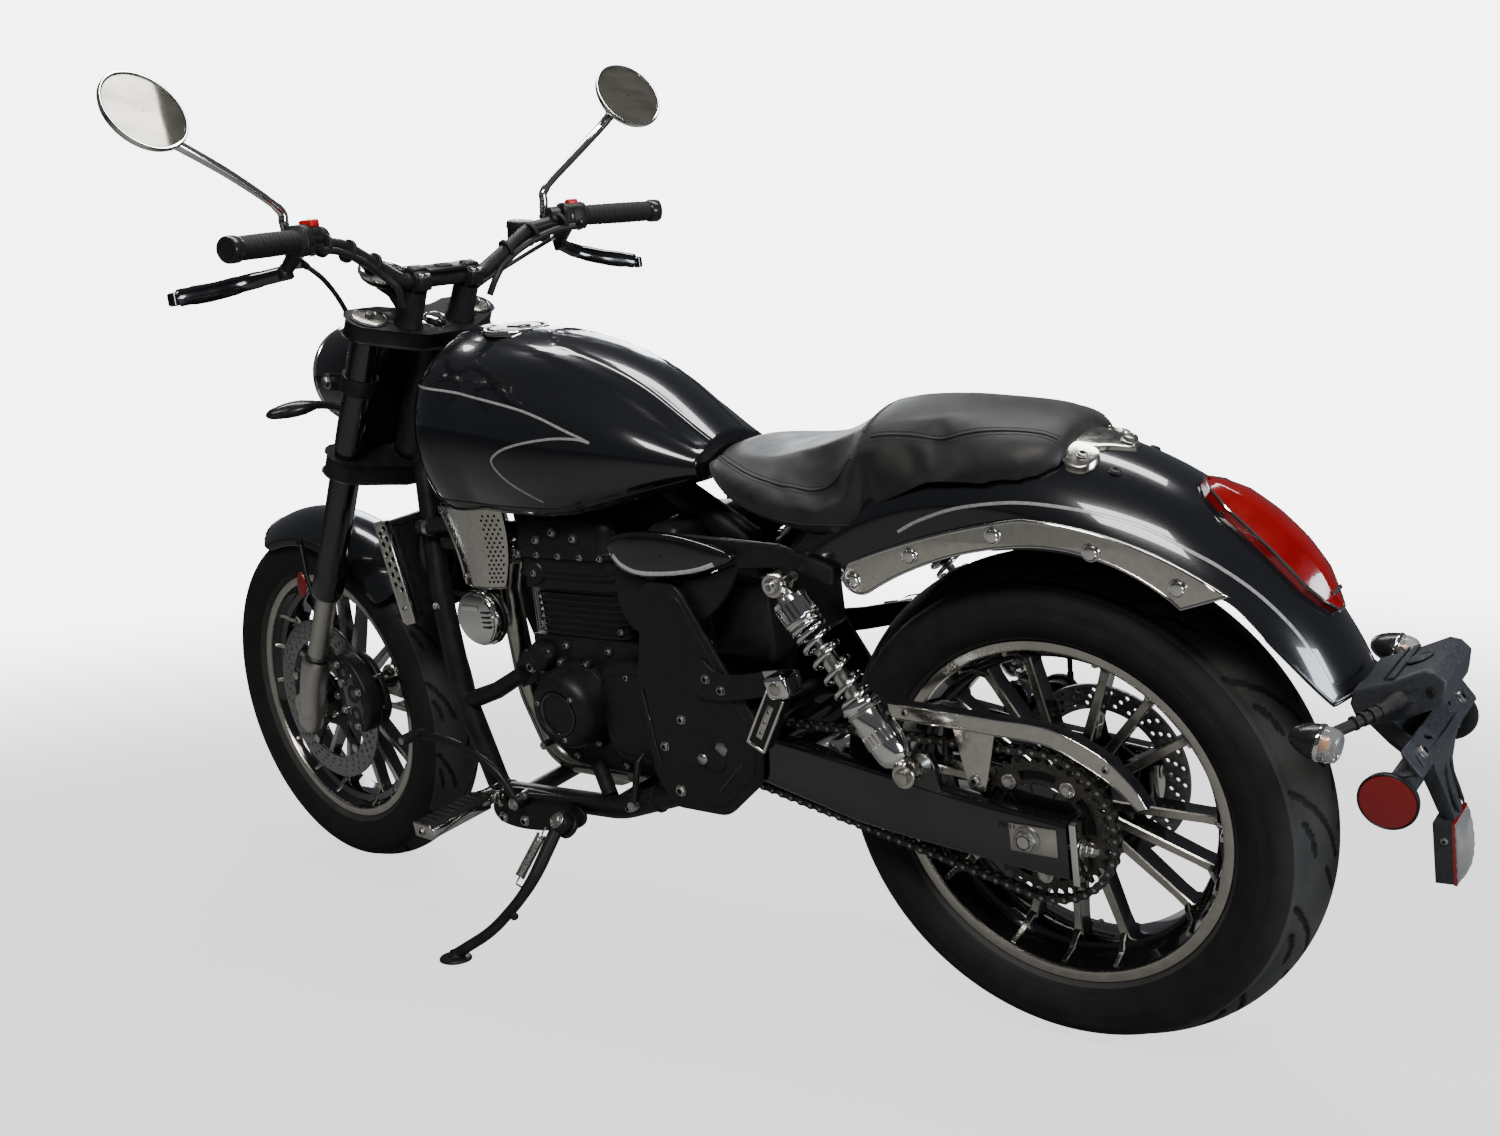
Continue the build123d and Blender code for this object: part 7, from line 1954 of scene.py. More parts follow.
# ------------------------------------------------------------------ gauge, with a bare dial and a bare plate
p = Piece("gauge_case", "chrome", "satin", "dial_black", "dial_white", "glass", "red_button", "rubber", "gloss")
GO, GN = Vector((1096, 46, 1062)), Vector((-0.42, 0, 0.9)).normalized()
u, v, w = plane_axes(GN, (0, 1, 0))
p.lathe(GO, GN, [(-16, 0.01), (-16, 16), (-14, 28), (-9, 35), (-2, 38.4), (0, 39)], "satin", n=80)
p.lathe(GO, GN, [(-3, 38.2), (-1, 40), (4, 40.4), (8, 39.4), (9, 37.4), (8.4, 35.6), (6.4, 34.8)], "chrome", n=80)
p.lathe(GO, GN, [(5.0, 35), (4.6, 33), (4.4, 0.01)], "dial_black", n=64)
for k in range(33):
    q = math.radians(-220 + 260 * k / 32)
    long_ = k % 4 == 0
    n_ = u * math.cos(q) + v * math.sin(q)
    p.box(GO + GN * 4.9 + n_ * (29.5 if long_ else 31), (5.5 if long_ else 3.0, 1.0 if long_ else 0.6, 0.3), "dial_white", 0, axes=(n_, GN.cross(n_), GN))
q = math.radians(-215)
n_ = u * math.cos(q) + v * math.sin(q)
p.box(GO + GN * 6.0 + n_ * 12, (30, 1.6, 0.7), "red_button", 0.2, axes=(n_, GN.cross(n_), GN))
p.solid(GO + GN * 4.8, GN, [(0, 4.2), (2.2, 3.6)], "gloss", n=28)
p.lathe(GO, GN, [(7.0, 35.4), (7.6, 30), (8.2, 0.01)], "glass", n=64)
p.pipe([GO - GN * 14, Vector((1090, 38, 1032)), Vector((1084, 30, 1008))], [14, 10, 9], "satin", n=28)
p.done("fork", "gauge", angle=38)

# ------------------------------------------------------------------ mirrors
p = Piece("mirror_pair", "chrome", "mirror_glass", "satin", "chrome_worn", "rubber")
for s in (1, -1):
    stem = curve_through([Vector((1034, s * 244, 1098)), Vector((1034, s * 244, 1126)), Vector((1033, s * 246, 1150)), Vector((1032, s * 253, 1172)), Vector((1028, s * 320, 1220)), Vector((1032, s * 386, 1262)), Vector((1040, s * (412 if s == 1 else 426), 1280 if s == 1 else 1286))], 8)
    m = len(stem)
    p.pipe(stem, [7.2 if k < m * 0.5 else (6.0 + 2.6 * (k / m - 0.5) * 2) for k in range(m)], "chrome", n=24)
    p.hexhead((1034, s * 244, 1112), Z, 9.5, 8, "chrome", washer=True)
    p.solid((1034, s * 244, 1124), Z, [(0, 8.8), (5, 8.6), (7, 7.4)], "satin", n=28)
    # round heads, each turned on its ball joint towards the rider and upwards
    c = Vector((1026, 436, 1305)) if s == 1 else Vector((1026, -456, 1313))
    nb = Vector((-1, -0.14 * s, 0.546)).normalized()
    e1 = nb.cross(Z).normalized()
    e2 = e1.cross(nb).normalized()
    if e1.cross(e2).dot(nb) < 0:
        e1 = -e1
    def oval(d, k, grow=0.0):
        return [c + nb * d + e1 * ((62 * k + grow) * math.cos(q)) + e2 * ((62 * k + grow) * math.sin(q)) for q in [2 * math.pi * j / 72 for j in range(72)]]
    p.grid([oval(-9, 0.02), oval(-9, 0.35), oval(-8, 0.62), oval(-5, 0.84), oval(-1, 0.95), oval(4, 0.995), oval(7, 1.0), oval(9.4, 0.985), oval(9.9, 0.955), oval(9.0, 0.925), oval(7.2, 0.915)], "chrome", close_v=True)
    p.grid([oval(7.4, 0.93), oval(7.7, 0.6), oval(7.8, 0.02)], "mirror_glass", close_v=True)
    foot = c - nb * 4 + (Vector((1036, s * 416, 1284)) - c).normalized() * 36
    p.solid(foot + nb * 3, -nb, [(0, 11), (6, 11), (12, 7)], "chrome", n=28)
p.done("fork", "mirrors", angle=45)
# ------------------------------------------------------------------ engine
def rounded_box_rows(cx, cy, hx, hy, levels, power=6.0, n=56):
    """Rings of a block with rounded corners; levels are (z, scale_x, scale_y)."""
    rows = []
    for z, kx, ky in levels:
        ring = []
        for k in range(n):
            q = 2 * math.pi * k / n
            c, s_ = math.cos(q), math.sin(q)
            m = (abs(c) ** power + abs(s_) ** power) ** (-1 / power)
            ring.append(Vector((cx + hx * kx * c * m, cy + hy * ky * s_ * m, z)))
        rows.append(ring)
    return rows


def capped(p, rows, mat):
    p.grid(rows, mat, close_v=True)
    for e in (0, -1):
        p.put(rows[e], [tuple(range(len(rows[e])))], mat)


def silver_bolt(p, at, way, r=4.6, h=4.0):
    button(p, at, way, r, h, "zinc")


CASE = [(858, 470), (866, 420), (862, 372), (850, 335), (828, 308), (800, 294), (700, 291), (600, 294), (556, 306), (520, 330), (498, 372), (490, 420), (500, 466), (520, 504), (858, 504)]
CASE_R = [(q.x, q.y) for q in curve_through([(x, z, 0) for x, z in CASE[:-2]], 4)] + [(524, 504), (854, 504)]
p = Piece("crankcase_castings", "engine", "satin", "gloss", "zinc", "steel", "polish", "rubber", "cast_grey")
bar_plate(p, around(CASE_R, 680, 400, 2.5), -86, 86, "engine", 5.0, 4)
# middle joint flange, side gasket flanges with their bolts
bar_plate(p, CASE_R, -3, 3, "engine", 1.2, 2)
for s in (1, -1):
    bar_plate(p, around(CASE_R, 680, 400, 0.5), s * 79, s * 85, "engine", 1.6, 2)
    for x, z in ((852, 462), (857, 420), (846, 350), (806, 303), (700, 297), (602, 301), (528, 336), (500, 420), (520, 480), (700, 496), (790, 496)):
        c = Vector((680, 0, 400))
        q = Vector((x, 0, z))
        q = q + (c - q).normalized() * 8
        p.solid((q.x, s * 80, q.z), Y * s, [(0, 9.5), (7.6, 9.0), (8.4, 8)], "engine", n=24)
        silver_bolt(p, (q.x, s * 88.4, q.z), Y * s, 4.4, 3.6)
# left: alternator cover, stepped and domed; sprocket cover behind it
c = Vector((768, 86, 402))
p.lathe(c, Y, [(0, 66), (8, 66.5), (10, 65.5), (12, 64.6), (40, 61), (50, 57.5), (56, 52), (59, 45), (60, 38), (57.6, 35.5), (57.4, 20), (58.4, 8), (58.6, 0.01)], "engine", n=112)
p.lathe(c, Y, [(57.5, 34.5), (59.6, 33.4), (60.0, 31.5), (58.6, 30)], "gloss", n=80)
for k in range(3):
    q = math.radians(140 + 120 * k)
    silver_bolt(p, c + X * (41 * math.cos(q)) + Z * (41 * math.sin(q)) + Y * 59.5, Y, 3.6, 3.0)
for k in range(8):
    q = math.radians(22 + 45 * k)
    e = c + X * (68 * math.cos(q)) + Z * (68 * math.sin(q))
    p.solid(e - Y * 2, Y, [(0, 8.6), (11, 8.2), (12.4, 7)], "engine", n=24)
    silver_bolt(p, e + Y * 10.4, Y, 4.2, 3.4)
SPK = [(700, 340), (640, 322), (580, 330), (548, 362), (542, 410), (560, 456), (610, 480), (676, 478), (704, 452)]
SPKR = [(q.x, q.y) for q in curve_through([(x, z, 0) for x, z in SPK], 4, closed=True)]
bar_plate(p, SPKR, 80, 112, "engine", 7.0, 4)
bar_plate(p, around(SPKR, 622, 402, 16), 108, 115, "satin", 3.0, 3)
for x, z in ((640, 331), (566, 350), (552, 410), (578, 455), (650, 470)):
    silver_bolt(p, (x + (622 - x) * 0.13, 112.4, z + (402 - z) * 0.13), Y, 4.6, 3.8)
# shift shaft, water pump housing and its hose neck in front
p.pipe([Vector((842, 84, 330)), Vector((842, 118, 330))], 6.5, "steel", n=18)
p.lathe((836, 82, 470), Y, [(0, 25), (10, 25), (14, 23.6), (22, 21), (26, 15), (27, 0.01)], "engine", n=56)
for k in range(3):
    q = math.radians(30 + 120 * k)
    silver_bolt(p, (836 + 21 * math.cos(q), 96, 470 + 21 * math.sin(q)), Y, 3.4, 2.8)
# right: clutch cover with rim, step and oil window
c = Vector((742, -86, 392))
p.lathe(c, -Y, [(0, 84), (7, 84.5), (9, 83.2), (11, 81), (30, 78), (42, 73), (49, 66), (51.5, 58), (51.8, 52), (49.6, 49), (49.6, 24), (51, 12), (51.4, 0.01)], "engine", n=120)
for k in range(9):
    q = math.radians(10 + 40 * k)
    e = c + X * (85.5 * math.cos(q)) + Z * (85.5 * math.sin(q))
    p.solid(e + Y * 2, -Y, [(0, 8.8), (11, 8.4), (12.4, 7)], "engine", n=24)
    silver_bolt(p, e - Y * 10.4, -Y, 4.2, 3.4)
for k in range(14):
    q = 2 * math.pi * k / 14
    n_ = X * math.cos(q) + Z * math.sin(q)
    p.box(c - Y * 50.6 + n_ * 37, (18, 2.4, 3.2), "satin", 1.0, axes=(n_, -Y, n_.cross(-Y)))
p.lathe((806, -130, 340), -Y, [(-8, 11), (2, 11), (3, 10), (3, 8), (1, 7.6), (0.6, 0.01)], "satin", n=32)
p.lathe((690, -134, 452), -Y, [(-6, 14), (2, 14), (4, 12.5), (6, 12.5), (7, 11), (7, 0.01)], "engine", n=36)
# sump ribs and drain bolt
for k in range(7):
    p.box((610 + 28 * k, 0, 292), (5, 130, 6), "engine", 1.6)
p.hexhead((702, 20, 290), -Z, 9, 6, "zinc")
# starter motor on top behind the cylinders, and the gearbox breather
p.pipe([Vector((590, -60, 512)), Vector((590, 60, 512))], 26, "engine", n=44)
p.solid((590, 60, 512), Y, [(0, 22), (5, 20), (7, 12)], "satin", n=36)
p.done("frame", "crankcase", angle=36)

p = Piece("cylinder_head_and_block", "engine", "satin", "zinc", "gloss", "rubber", "steel", "hose", "cast_grey")
levels = []
z = 504.0
while z < 580:
    levels += [(z, 0.965, 0.965), (z + 3.2, 0.965, 0.965), (z + 3.8, 1.0, 1.0), (z + 6.8, 1.0, 1.0), (z + 7.4, 0.965, 0.965)]
    z += 10.4
capped(p, rounded_box_rows(748, 0, 94, 85, levels, 9.0, 72), "engine")
head = [(582, 0.93, 0.93), (583, 0.95, 0.95), (600, 0.95, 0.95), (601, 0.985, 0.985), (606, 0.985, 0.985), (607, 0.95, 0.95), (628, 0.95, 0.95), (632, 1.0, 1.0), (640, 1.0, 1.0),
        (642, 0.985, 0.985), (672, 0.965, 0.965), (684, 0.93, 0.93), (691, 0.86, 0.88), (694, 0.78, 0.82)]
capped(p, rounded_box_rows(760, 0, 108, 98, head, 7.0, 72), "engine")
# cover ribs, plug wells and bolts along the joint
for y in (-44, 44):
    p.lathe((760, y, 690), Z, [(0, 21), (3.6, 21), (4.4, 19), (4.4, 15), (1, 14), (1, 0.01)], "satin", n=40)
    p.solid((760, y, 690), Z, [(0, 9), (8, 9), (10, 7)], "rubber", n=28)
for x in (690, 725, 795, 830):
    p.box((x, 0, 692), (5, 130, 5), "engine", 1.6)
for s in (1, -1):
    for x in (676, 716, 760, 804, 844):
        silver_bolt(p, (x, s * 97.6, 636), Y * s, 4.4, 3.6)
    for x, z in ((801, 659), (765, 672), (724, 664)):
        p.solid((x, s * 92, z), Y * s, [(0, 11), (4.5, 10.4), (5.4, 9)], "engine", n=28)
        silver_bolt(p, (x, s * 97.6, z), Y * s, 5.0, 4.0)
    p.lathe((818, s * 88, 606), Y * s, [(0, 19), (6, 19), (8.5, 17), (8.5, 0.01)], "satin", n=40)
    silver_bolt(p, (818, s * 96.8, 606), Y * s, 4.4, 3.6)
    for x in (670, 830):
        silver_bolt(p, (x, s * 84.6, 520), Y * s, 4.2, 3.4)
for y in (-60, -20, 20, 60):
    silver_bolt(p, (867.6, y, 636), X, 4.4, 3.6)
# coolant elbow, its hose to the radiator, throttle bodies behind the head
p.pipe(curve_through([Vector((862, 58, 660)), Vector((892, 62, 664)), Vector((940, 70, 668)), Vector((1000, 78, 672)), Vector((1070, 84, 664))], 8), 13.0, "hose", n=24)
for x, z in ((884, 662), (1050, 667)):
    p.solid((x - 4, 62 + (x - 884) * 0.13, z), Vector((1, 0.13, 0.02)), [(0, 14.8), (8, 14.8)], "zinc", n=32)
for y in (-44, 44):
    p.lathe((654, y, 640), -X, [(-6, 26), (10, 26), (12, 24), (34, 24), (36, 27), (52, 27), (54, 20), (54, 0.01)], "satin", n=48)
    p.solid((630, y, 640), -X, [(0, 29), (5, 29)], "zinc", n=44)
p.box((566, 0, 640), (60, 170, 90), "satin", 14.0, seg=4)
p.done("frame", "cylinders", angle=32)

# ------------------------------------------------------------------ exhaust
p = Piece("exhaust_pipes", "exhaust", "chrome_worn", "zinc", "steel", "satin")
for s in (1, -1):
    line = rounded_line([Vector((866, s * 42, 629)), Vector((915, s * 42, 620)), Vector((942, s * 38, 560)), Vector((945, s * 30, 380)), Vector((905, s * 26, 264)), Vector((760, s * 22 - 10, 256))], [26, 60, 120, 60], per=12)
    p.pipe(line, 18.0, "exhaust", n=36)
    p.plate((868.5, s * 42, 629), Y, Z, [(30 * math.cos(a) * (1.0 if abs(math.sin(a)) < 0.5 else 0.86), 24 * math.sin(a)) for a in [2 * math.pi * k / 32 for k in range(32)]], 7, "zinc", 1.2)
    for d in (-1, 1):
        p.hexhead((872.5, s * 42 + d * 23, 629), X, 4.6, 5, "zinc")
p.pipe(rounded_line([Vector((800, -10, 253)), Vector((660, -20, 236)), Vector((600, -150, 228)), Vector((512, -190, 239))], [90, 70], per=12), 25.0, "exhaust", n=44)
for q, d in ((Vector((800, -10, 252.5)), Vector((1, 0, 0.1))),):
    p.solid(q - d * 12, d, [(0, 25.5), (2, 30), (10, 34), (24, 36)], "exhaust", n=44)
a = Vector((536, -181, 236))
d = (Vector((505, -193, 240)) - Vector((560, -170, 234))).normalized()
p.solid(a, d, [(0, 27.4), (9, 27.4)], "zinc", n=44)
p.box(a + Vector((2, 0, -28)), (10, 22, 10), "zinc", 2.0)
p.pipe([a + Vector((2, -14, -30)), a + Vector((2, 14, -30))], 3.6, "steel", n=14)
p.done("frame", "exhaust_headers", angle=40)

p = Piece("muffler_can", "chrome", "chrome_worn", "satin", "zinc", "steel", "exhaust")
ma, mb = Vector((505, -193, 240)), Vector((38, -197, 263))
w = (mb - ma).normalized()
L = (mb - ma).length
p.lathe(ma, w, [(-14, 25.6), (0, 27), (10, 29), (26, 36), (42, 44.6), (60, 45.2), (62, 46.4), (70, 46.4), (72, 45.2), (L - 92, 45.2), (L - 90, 46.4), (L - 82, 46.4), (L - 80, 45.2), (L - 24, 44.8), (L - 10, 42), (L - 1, 36), (L, 34), (L, 29.5), (L - 14, 27), (L - 40, 26.5), (L - 44, 0.01)], "chrome", n=112)
p.lathe(ma, w, [(L - 2, 26.5), (L + 2.5, 26.2), (L + 3.5, 24.6), (L + 1, 23), (L - 36, 23)], "exhaust", n=64)
for t in (150, 330):
    c = ma + w * t
    p.solid(c - w * 9, w, [(0, 46.6), (18, 46.6)], "zinc", n=80)
p.box(ma + w * 240 + Vector((0, 44, 14)), (70, 6, 40), "satin", 2.0, axes=(w, Y, w.cross(Y)))
p.done("frame", "muffler", angle=36)

# ------------------------------------------------------------------ radiator, its guards, the perforated shroud
p = Piece("radiator_core", "core", "satin", "chrome_worn", "chrome", "plastic", "zinc", "hose")
r0, r1 = Vector((1091.5, 0, 518)), Vector((1117.5, 0, 680))
uz = (r1 - r0).normalized()
ux = Vector((uz.z, 0, -uz.x))
H = (r1 - r0).length
c = r0.lerp(r1, 0.5)
p.box(c, (20, 204, H - 22), "core", 1.0, axes=(ux, Y, uz))
n_f = 70
for k in range(n_f):
    t = (k + 0.5) / n_f
    p.box(r0 + uz * (12 + (H - 24) * t), (23, 204, 0.9), "core", 0, axes=(ux, Y, uz))
for t in (6, H - 6):
    p.box(r0 + uz * t, (26, 236, 12), "satin", 2.4, axes=(ux, Y, uz))
for s in (1, -1):
    p.box(c + Y * (s * 109), (26, 14, H - 4), "satin", 3.0, axes=(ux, Y, uz))
    # bright side guard, folded over the core's edge, with two columns of holes at its top
    holes = []
    for k in range(7):
        holes.append(circle(-7, 74 - 17 * k, 4.2, 14))
        if k < 6:
            holes.append(circle(5, 66 - 17 * k, 4.2, 14))
    outline = [(-14, -86), (8, -88), (14, -82), (15, 78), (8, 86), (-12, 86), (-15, 78), (-15, -80)]
    p.plate(c + Y * (s * 126.0), ux * s, uz, outline, 2.6, "chrome_worn", 0.9, holes)
    p.box(c + Y * (s * 122) - ux * 13.6, (2.4, 11, 168), "chrome", 0.8, axes=(ux, Y, uz))
    p.box(c + Y * (s * 122) + ux * 13.6, (2.4, 11, 168), "chrome", 0.8, axes=(ux, Y, uz))
    p.box(c + Y * (s * 122) + uz * 84.6, (27, 11, 2.4), "chrome", 0.8, axes=(ux, Y, uz))
    for t in (-60, 60):
        silver_bolt(p, c + Y * (s * 127.4) + uz * t, Y * s, 3.8, 3.0)
# front mesh in front of the core, filler neck and fan behind
for k in range(-6, 7):
    p.box(c + ux * 13.4 + Y * (k * 15.6), (1.2, 1.6, H - 24), "satin", 0, axes=(ux, Y, uz))
p.lathe(r1 + Y * -70 - uz * 4, uz, [(0, 14), (4, 14), (5, 19), (9, 19), (10, 16), (10, 0.01)], "zinc", n=36)
p.lathe(c - ux * 13, -ux, [(0, 78), (1.5, 78), (12, 74), (12.6, 70), (4, 70)], "plastic", n=64)
for k in range(7):
    q = 2 * math.pi * k / 7
    n_ = Y * math.cos(q) + uz * math.sin(q)
    t_ = n_.cross(ux)
    p.box(c - ux * 20 + n_ * 45, (50, 22, 1.6), "plastic", 0.4, axes=(n_, (t_ + ux * 0.5).normalized(), n_.cross((t_ + ux * 0.5).normalized())))
p.solid(c - ux * 14, -ux, [(0, 22), (12, 22), (14, 19)], "plastic", n=40)
p.done("frame", "radiator", angle=36)

# curved shroud with rows of round holes, one on each side between tank and engine
p = Piece("side_shrouds", "chrome_worn", "satin", "zinc")
for s in (1, -1):
    cols = 26
    rws = 18
    grid_pts = []
    for i in range(rws + 1):
        t = i / rws
        z = 706 - 128 * t
        x_front = 1004 - 26 * t - 6 * math.sin(math.pi * t)
        x_back = 862 + 26 * t * t - 4 * math.sin(math.pi * t)
        row = []
        for j in range(cols + 1):
            f = j / cols
            x = x_front + (x_back - x_front) * f
            y = 84 + 26 * math.sin(math.pi * (0.16 + 0.62 * f)) - 6 * t
            row.append(Vector((x, s * y, z)))
        grid_pts.append(row)
    # each cell: a square ring round a hole, or plain
    for i in range(rws):
        for j in range(cols):
            a, b, c_, d_ = grid_pts[i][j], grid_pts[i][j + 1], grid_pts[i + 1][j + 1], grid_pts[i + 1][j]
            edge = i in (0, rws - 1) or j in (0, cols - 1)
            pierced = (not edge) and (j <= 3 or j >= cols - 8) and (i + j) % 2 == 0
            if not pierced:
                p.put([a, b, c_, d_], [(0, 1, 2, 3)], "chrome_worn")
                continue
            m = (a + b + c_ + d_) / 4
            eu, ev = (b - a + c_ - d_) / 2, (d_ - a + c_ - b) / 2
            outer, inner = [], []
            for k in range(8):
                q = 2 * math.pi * k / 8 - 3 * math.pi / 4
                cc, ss = math.cos(q), math.sin(q)
                mm = 0.5 / max(abs(cc), abs(ss))
                outer.append(m + eu * (cc * mm) + ev * (ss * mm))
                inner.append(m + eu.normalized() * (2.3 * cc) + ev.normalized() * (2.3 * ss))
            p.put(outer + inner, [(k, (k + 1) % 8, 8 + (k + 1) % 8, 8 + k) for k in range(8)], "chrome_worn")
    rim = grid_pts[0] + [r_[-1] for r_ in grid_pts[1:-1]] + grid_pts[-1][::-1] + [r_[0] for r_ in grid_pts[-2:0:-1]]
    p.pipe(rim, 1.8, "chrome_worn", n=8, closed=True)
    dark = [[q - Y * (s * 5) for q in row] for row in grid_pts]
    p.grid(dark, "satin")
    silver_bolt(p, grid_pts[1][1] + Y * (s * 1.2), Y * s, 4.0, 3.0)
    silver_bolt(p, grid_pts[rws - 2][2] + Y * (s * 1.2), Y * s, 4.0, 3.0)
    # bracket that carries it from the down tube
    p.box((1000, s * 82, 640), (60, 6, 18), "satin", 2.0)
p.done("frame", (), angle=40)

# ------------------------------------------------------------------ horn
p = Piece("horn_shell", "chrome", "satin", "zinc", "plastic")
HNP = Vector((944, 80, 529))
p.lathe(HNP, Y, [(0, 0.01), (-1, 26), (0, 38), (5, 43), (12, 45.6), (22, 46), (30, 44.6), (34, 42), (34.6, 40.5), (36.6, 39.8), (39, 30), (40.6, 16), (41, 0.01)], "chrome", n=112)
p.lathe(HNP, Y, [(12, 46.2), (14, 47.6), (18, 47.6), (20, 46.2)], "satin", n=96)
for k in range(4):
    p.box(HNP + Y * 39.6 + X * -27 + Z * (14 - 8 * k), (18, 2.6, 3.2), "satin", 1.0)
p.box(HNP + Y * 40.6 + X * 4 + Z * 20, (36, 1.6, 9), "chrome", 0.8)
bar_plate(p, [(934, 516), (952, 516), (950, 596), (890, 640), (876, 630), (932, 588)], 64.4, 67.8, "satin", 1.2, 2)
p.solid((944, 62, 529), Y, [(0, 9), (16, 9)], "zinc", n=24)
p.hexhead((944, 62, 529), -Y, 8, 6, "zinc")
p.hexhead((884, 68, 628), Y, 7, 5, "zinc")
p.done("frame", "horn", angle=34)

# ------------------------------------------------------------------ side panels with their light lower stripe, badge place left bare
SP = [(q.x, q.y) for q in curve_through([(615, 668, 0), (600, 686, 0), (565, 693, 0), (526, 694, 0), (482, 690, 0), (430, 679, 0), (394, 665, 0), (420, 651, 0), (470, 638, 0), (520, 631, 0), (562, 629, 0), (600, 640, 0)], 5, closed=True)]
p = Piece("side_panel_covers", "gloss", "stripe_light", "satin", "plastic_gloss", "zinc")
for s in (1, -1):
    # pillow-shaped skin
    cxp, czp = 515, 662
    rows = []
    for k, lift in ((1.0, -8), (1.0, -1.5), (0.985, 0.2), (0.95, 1.4), (0.86, 2.6), (0.6, 3.8), (0.3, 4.3), (0.02, 4.5)):
        rows.append([Vector((cxp + (x - cxp) * k, s * (143.5 + lift), czp + (z - czp) * k)) for x, z in SP])
    p.grid(rows, "gloss", close_v=True)
    p.put(rows[0], [tuple(range(len(rows[0])))], "gloss")
    tree = bvh_of(p)
    strip = curve_through([(604, 659, 0), (590, 646, 0), (562, 636.5, 0), (516, 637, 0), (480, 641, 0), (452, 646.5, 0), (425, 655, 0)], 6)
    ribbon(p, tree, shoot(tree, [Vector((q.x, s * 300, q.y)) for q in strip], Vector((0, -s, 0))), 6.6, 0.3, "stripe_light", core=(None, 0.0, 660.0))
    # black cover below, reaching down towards the frame plate
    LOWC = [(q.x, q.y) for q in curve_through([(612, 640, 0), (560, 622, 0), (468, 630, 0), (400, 652, 0), (420, 610, 0), (470, 566, 0), (540, 540, 0), (600, 544, 0), (622, 590, 0)], 4, closed=True)]
    bar_plate(p, LOWC, s * 119, s * 131, "satin", 4.0, 3)
p.done("frame", "side_panels", angle=40)
# ------------------------------------------------------------------ frame tubes
def weld_bead(p, at, way, r, mat="satin", w=2.0):
    """Ring of laid weld round a tube."""
    u, v, n_ = plane_axes(way)
    at = Vector(at)
    pts = [at + (u * math.cos(q) + v * math.sin(q)) * (r + 0.5 + 0.35 * math.sin(q * 22)) for q in [2 * math.pi * k / 66 for k in range(66)]]
    p.pipe(pts, w, mat, n=8, closed=True)


p = Piece("backbone_tube", "satin", "gloss", "steel", "zinc", "rubber")
p.lathe(at_fork(880), S_AX, [(0, 16), (0, 30), (1.5, 31), (12, 31), (14, 29.6), (184, 29.6), (186, 31), (196.5, 31), (198, 30), (198, 16)], "satin", n=72)
line = rounded_line([at_fork(1000), Vector((960, 0, 815)), Vector((620, 0, 730)), Vector((470, 0, 640))], [60, 160], per=12)
p.pipe(line, 25.0, "satin", n=36)
weld_bead(p, at_fork(1000) + (Vector((960, 0, 815)) - at_fork(1000)).normalized() * 32, Vector((960, 0, 815)) - at_fork(1000), 25)
for s in (1, -1):
    p.plate(at_fork(960, -24, 0) + Y * (s * 12), F_AX, S_AX, [(-40, -70), (4, -74), (4, 40), (-20, 30)], 4, "satin", 1.0, [circle(-14, -30, 7, 20)])
p.done("frame", "frame_backbone", angle=40)

p = Piece("down_tube_pair", "satin", "gloss", "zinc", "steel")
for s in (1, -1):
    pts = [Vector((1092, s * 33, 772)), Vector((1052, s * 84, 560)), Vector((1020, s * 104, 400)), Vector((975, s * 110.5, 275))]
    line = rounded_line(pts, [300, 220], per=12)
    p.pipe(line, 18.0, "satin", n=32)
    weld_bead(p, pts[0] + (pts[1] - pts[0]).normalized() * 10, pts[1] - pts[0], 18)
    # engine hanger: tube and plates from the down tube to the crankcase
    p.pipe([Vector((1003, s * 104, 384)), Vector((946, s * 96, 404)), Vector((888, s * 86, 436))], [15, 14, 13], "satin", n=24)
    bar_plate(p, [(906, 446), (898, 410), (862, 424), (852, 446), (860, 470), (880, 474)], s * 80, s * 87, "satin", 1.4, 2)
    button(p, (868, s * 87.4, 448), Y * s, 8.0, 5.4, "zinc")
    p.box(Vector((1074, s * 60, 668)), (22, 40, 10), "satin", 2.0)
    # bosses that carry the guards
    p.hexhead(Vector((1046, s * 103, 540)), Y * s, 5.4, 4, "zinc")
p.done("frame", "down_tubes", angle=40)

p = Piece("lower_rail_pair", "satin", "gloss", "zinc", "steel")
for s in (1, -1):
    line = rounded_line([Vector((974.9, s * 110.5, 274.7)), Vector((960.6, s * 112.6, 235)), Vector((690, s * 118, 250)), Vector((560, s * 120, 296))], [60, 160], per=12)
    p.pipe(line, 18.0, "satin", n=32)
    weld_bead(p, Vector((940, s * 112.9, 236)), X, 18)
    weld_bead(p, Vector((612, s * 119, 277)), Vector((1, 0, -0.35)), 18)
    p.pipe([Vector((716, s * 114, 262)), Vector((760, s * 86, 300))], 12, "satin", n=20)
    button(p, (660, s * 137, 262), Y * s, 5.4, 4, "zinc")
p.pipe([Vector((900, -106, 240)), Vector((900, 106, 240))], 14, "satin", n=28)
p.pipe([Vector((700, -112, 252)), Vector((700, 112, 252))], 14, "satin", n=28)
LUG = Vector((777, 168, 234))
LUG_AXIS = Vector((0.441, 0.586, -0.681)).normalized().cross(Vector((-0.975, 0.16, -0.06)).normalized()).normalized()
p.pipe([LUG - LUG_AXIS * 20, LUG + LUG_AXIS * 11], 6.0, "steel", n=24)
p.solid(LUG - LUG_AXIS * 19, LUG_AXIS, [(0, 19), (1, 20), (8, 20), (9, 19)], "satin", n=44)
p.pipe([LUG - LUG_AXIS * 15, Vector((776, 140, 222))], 9.5, "satin", n=24)
p.done("frame", "lower_rails", angle=40)

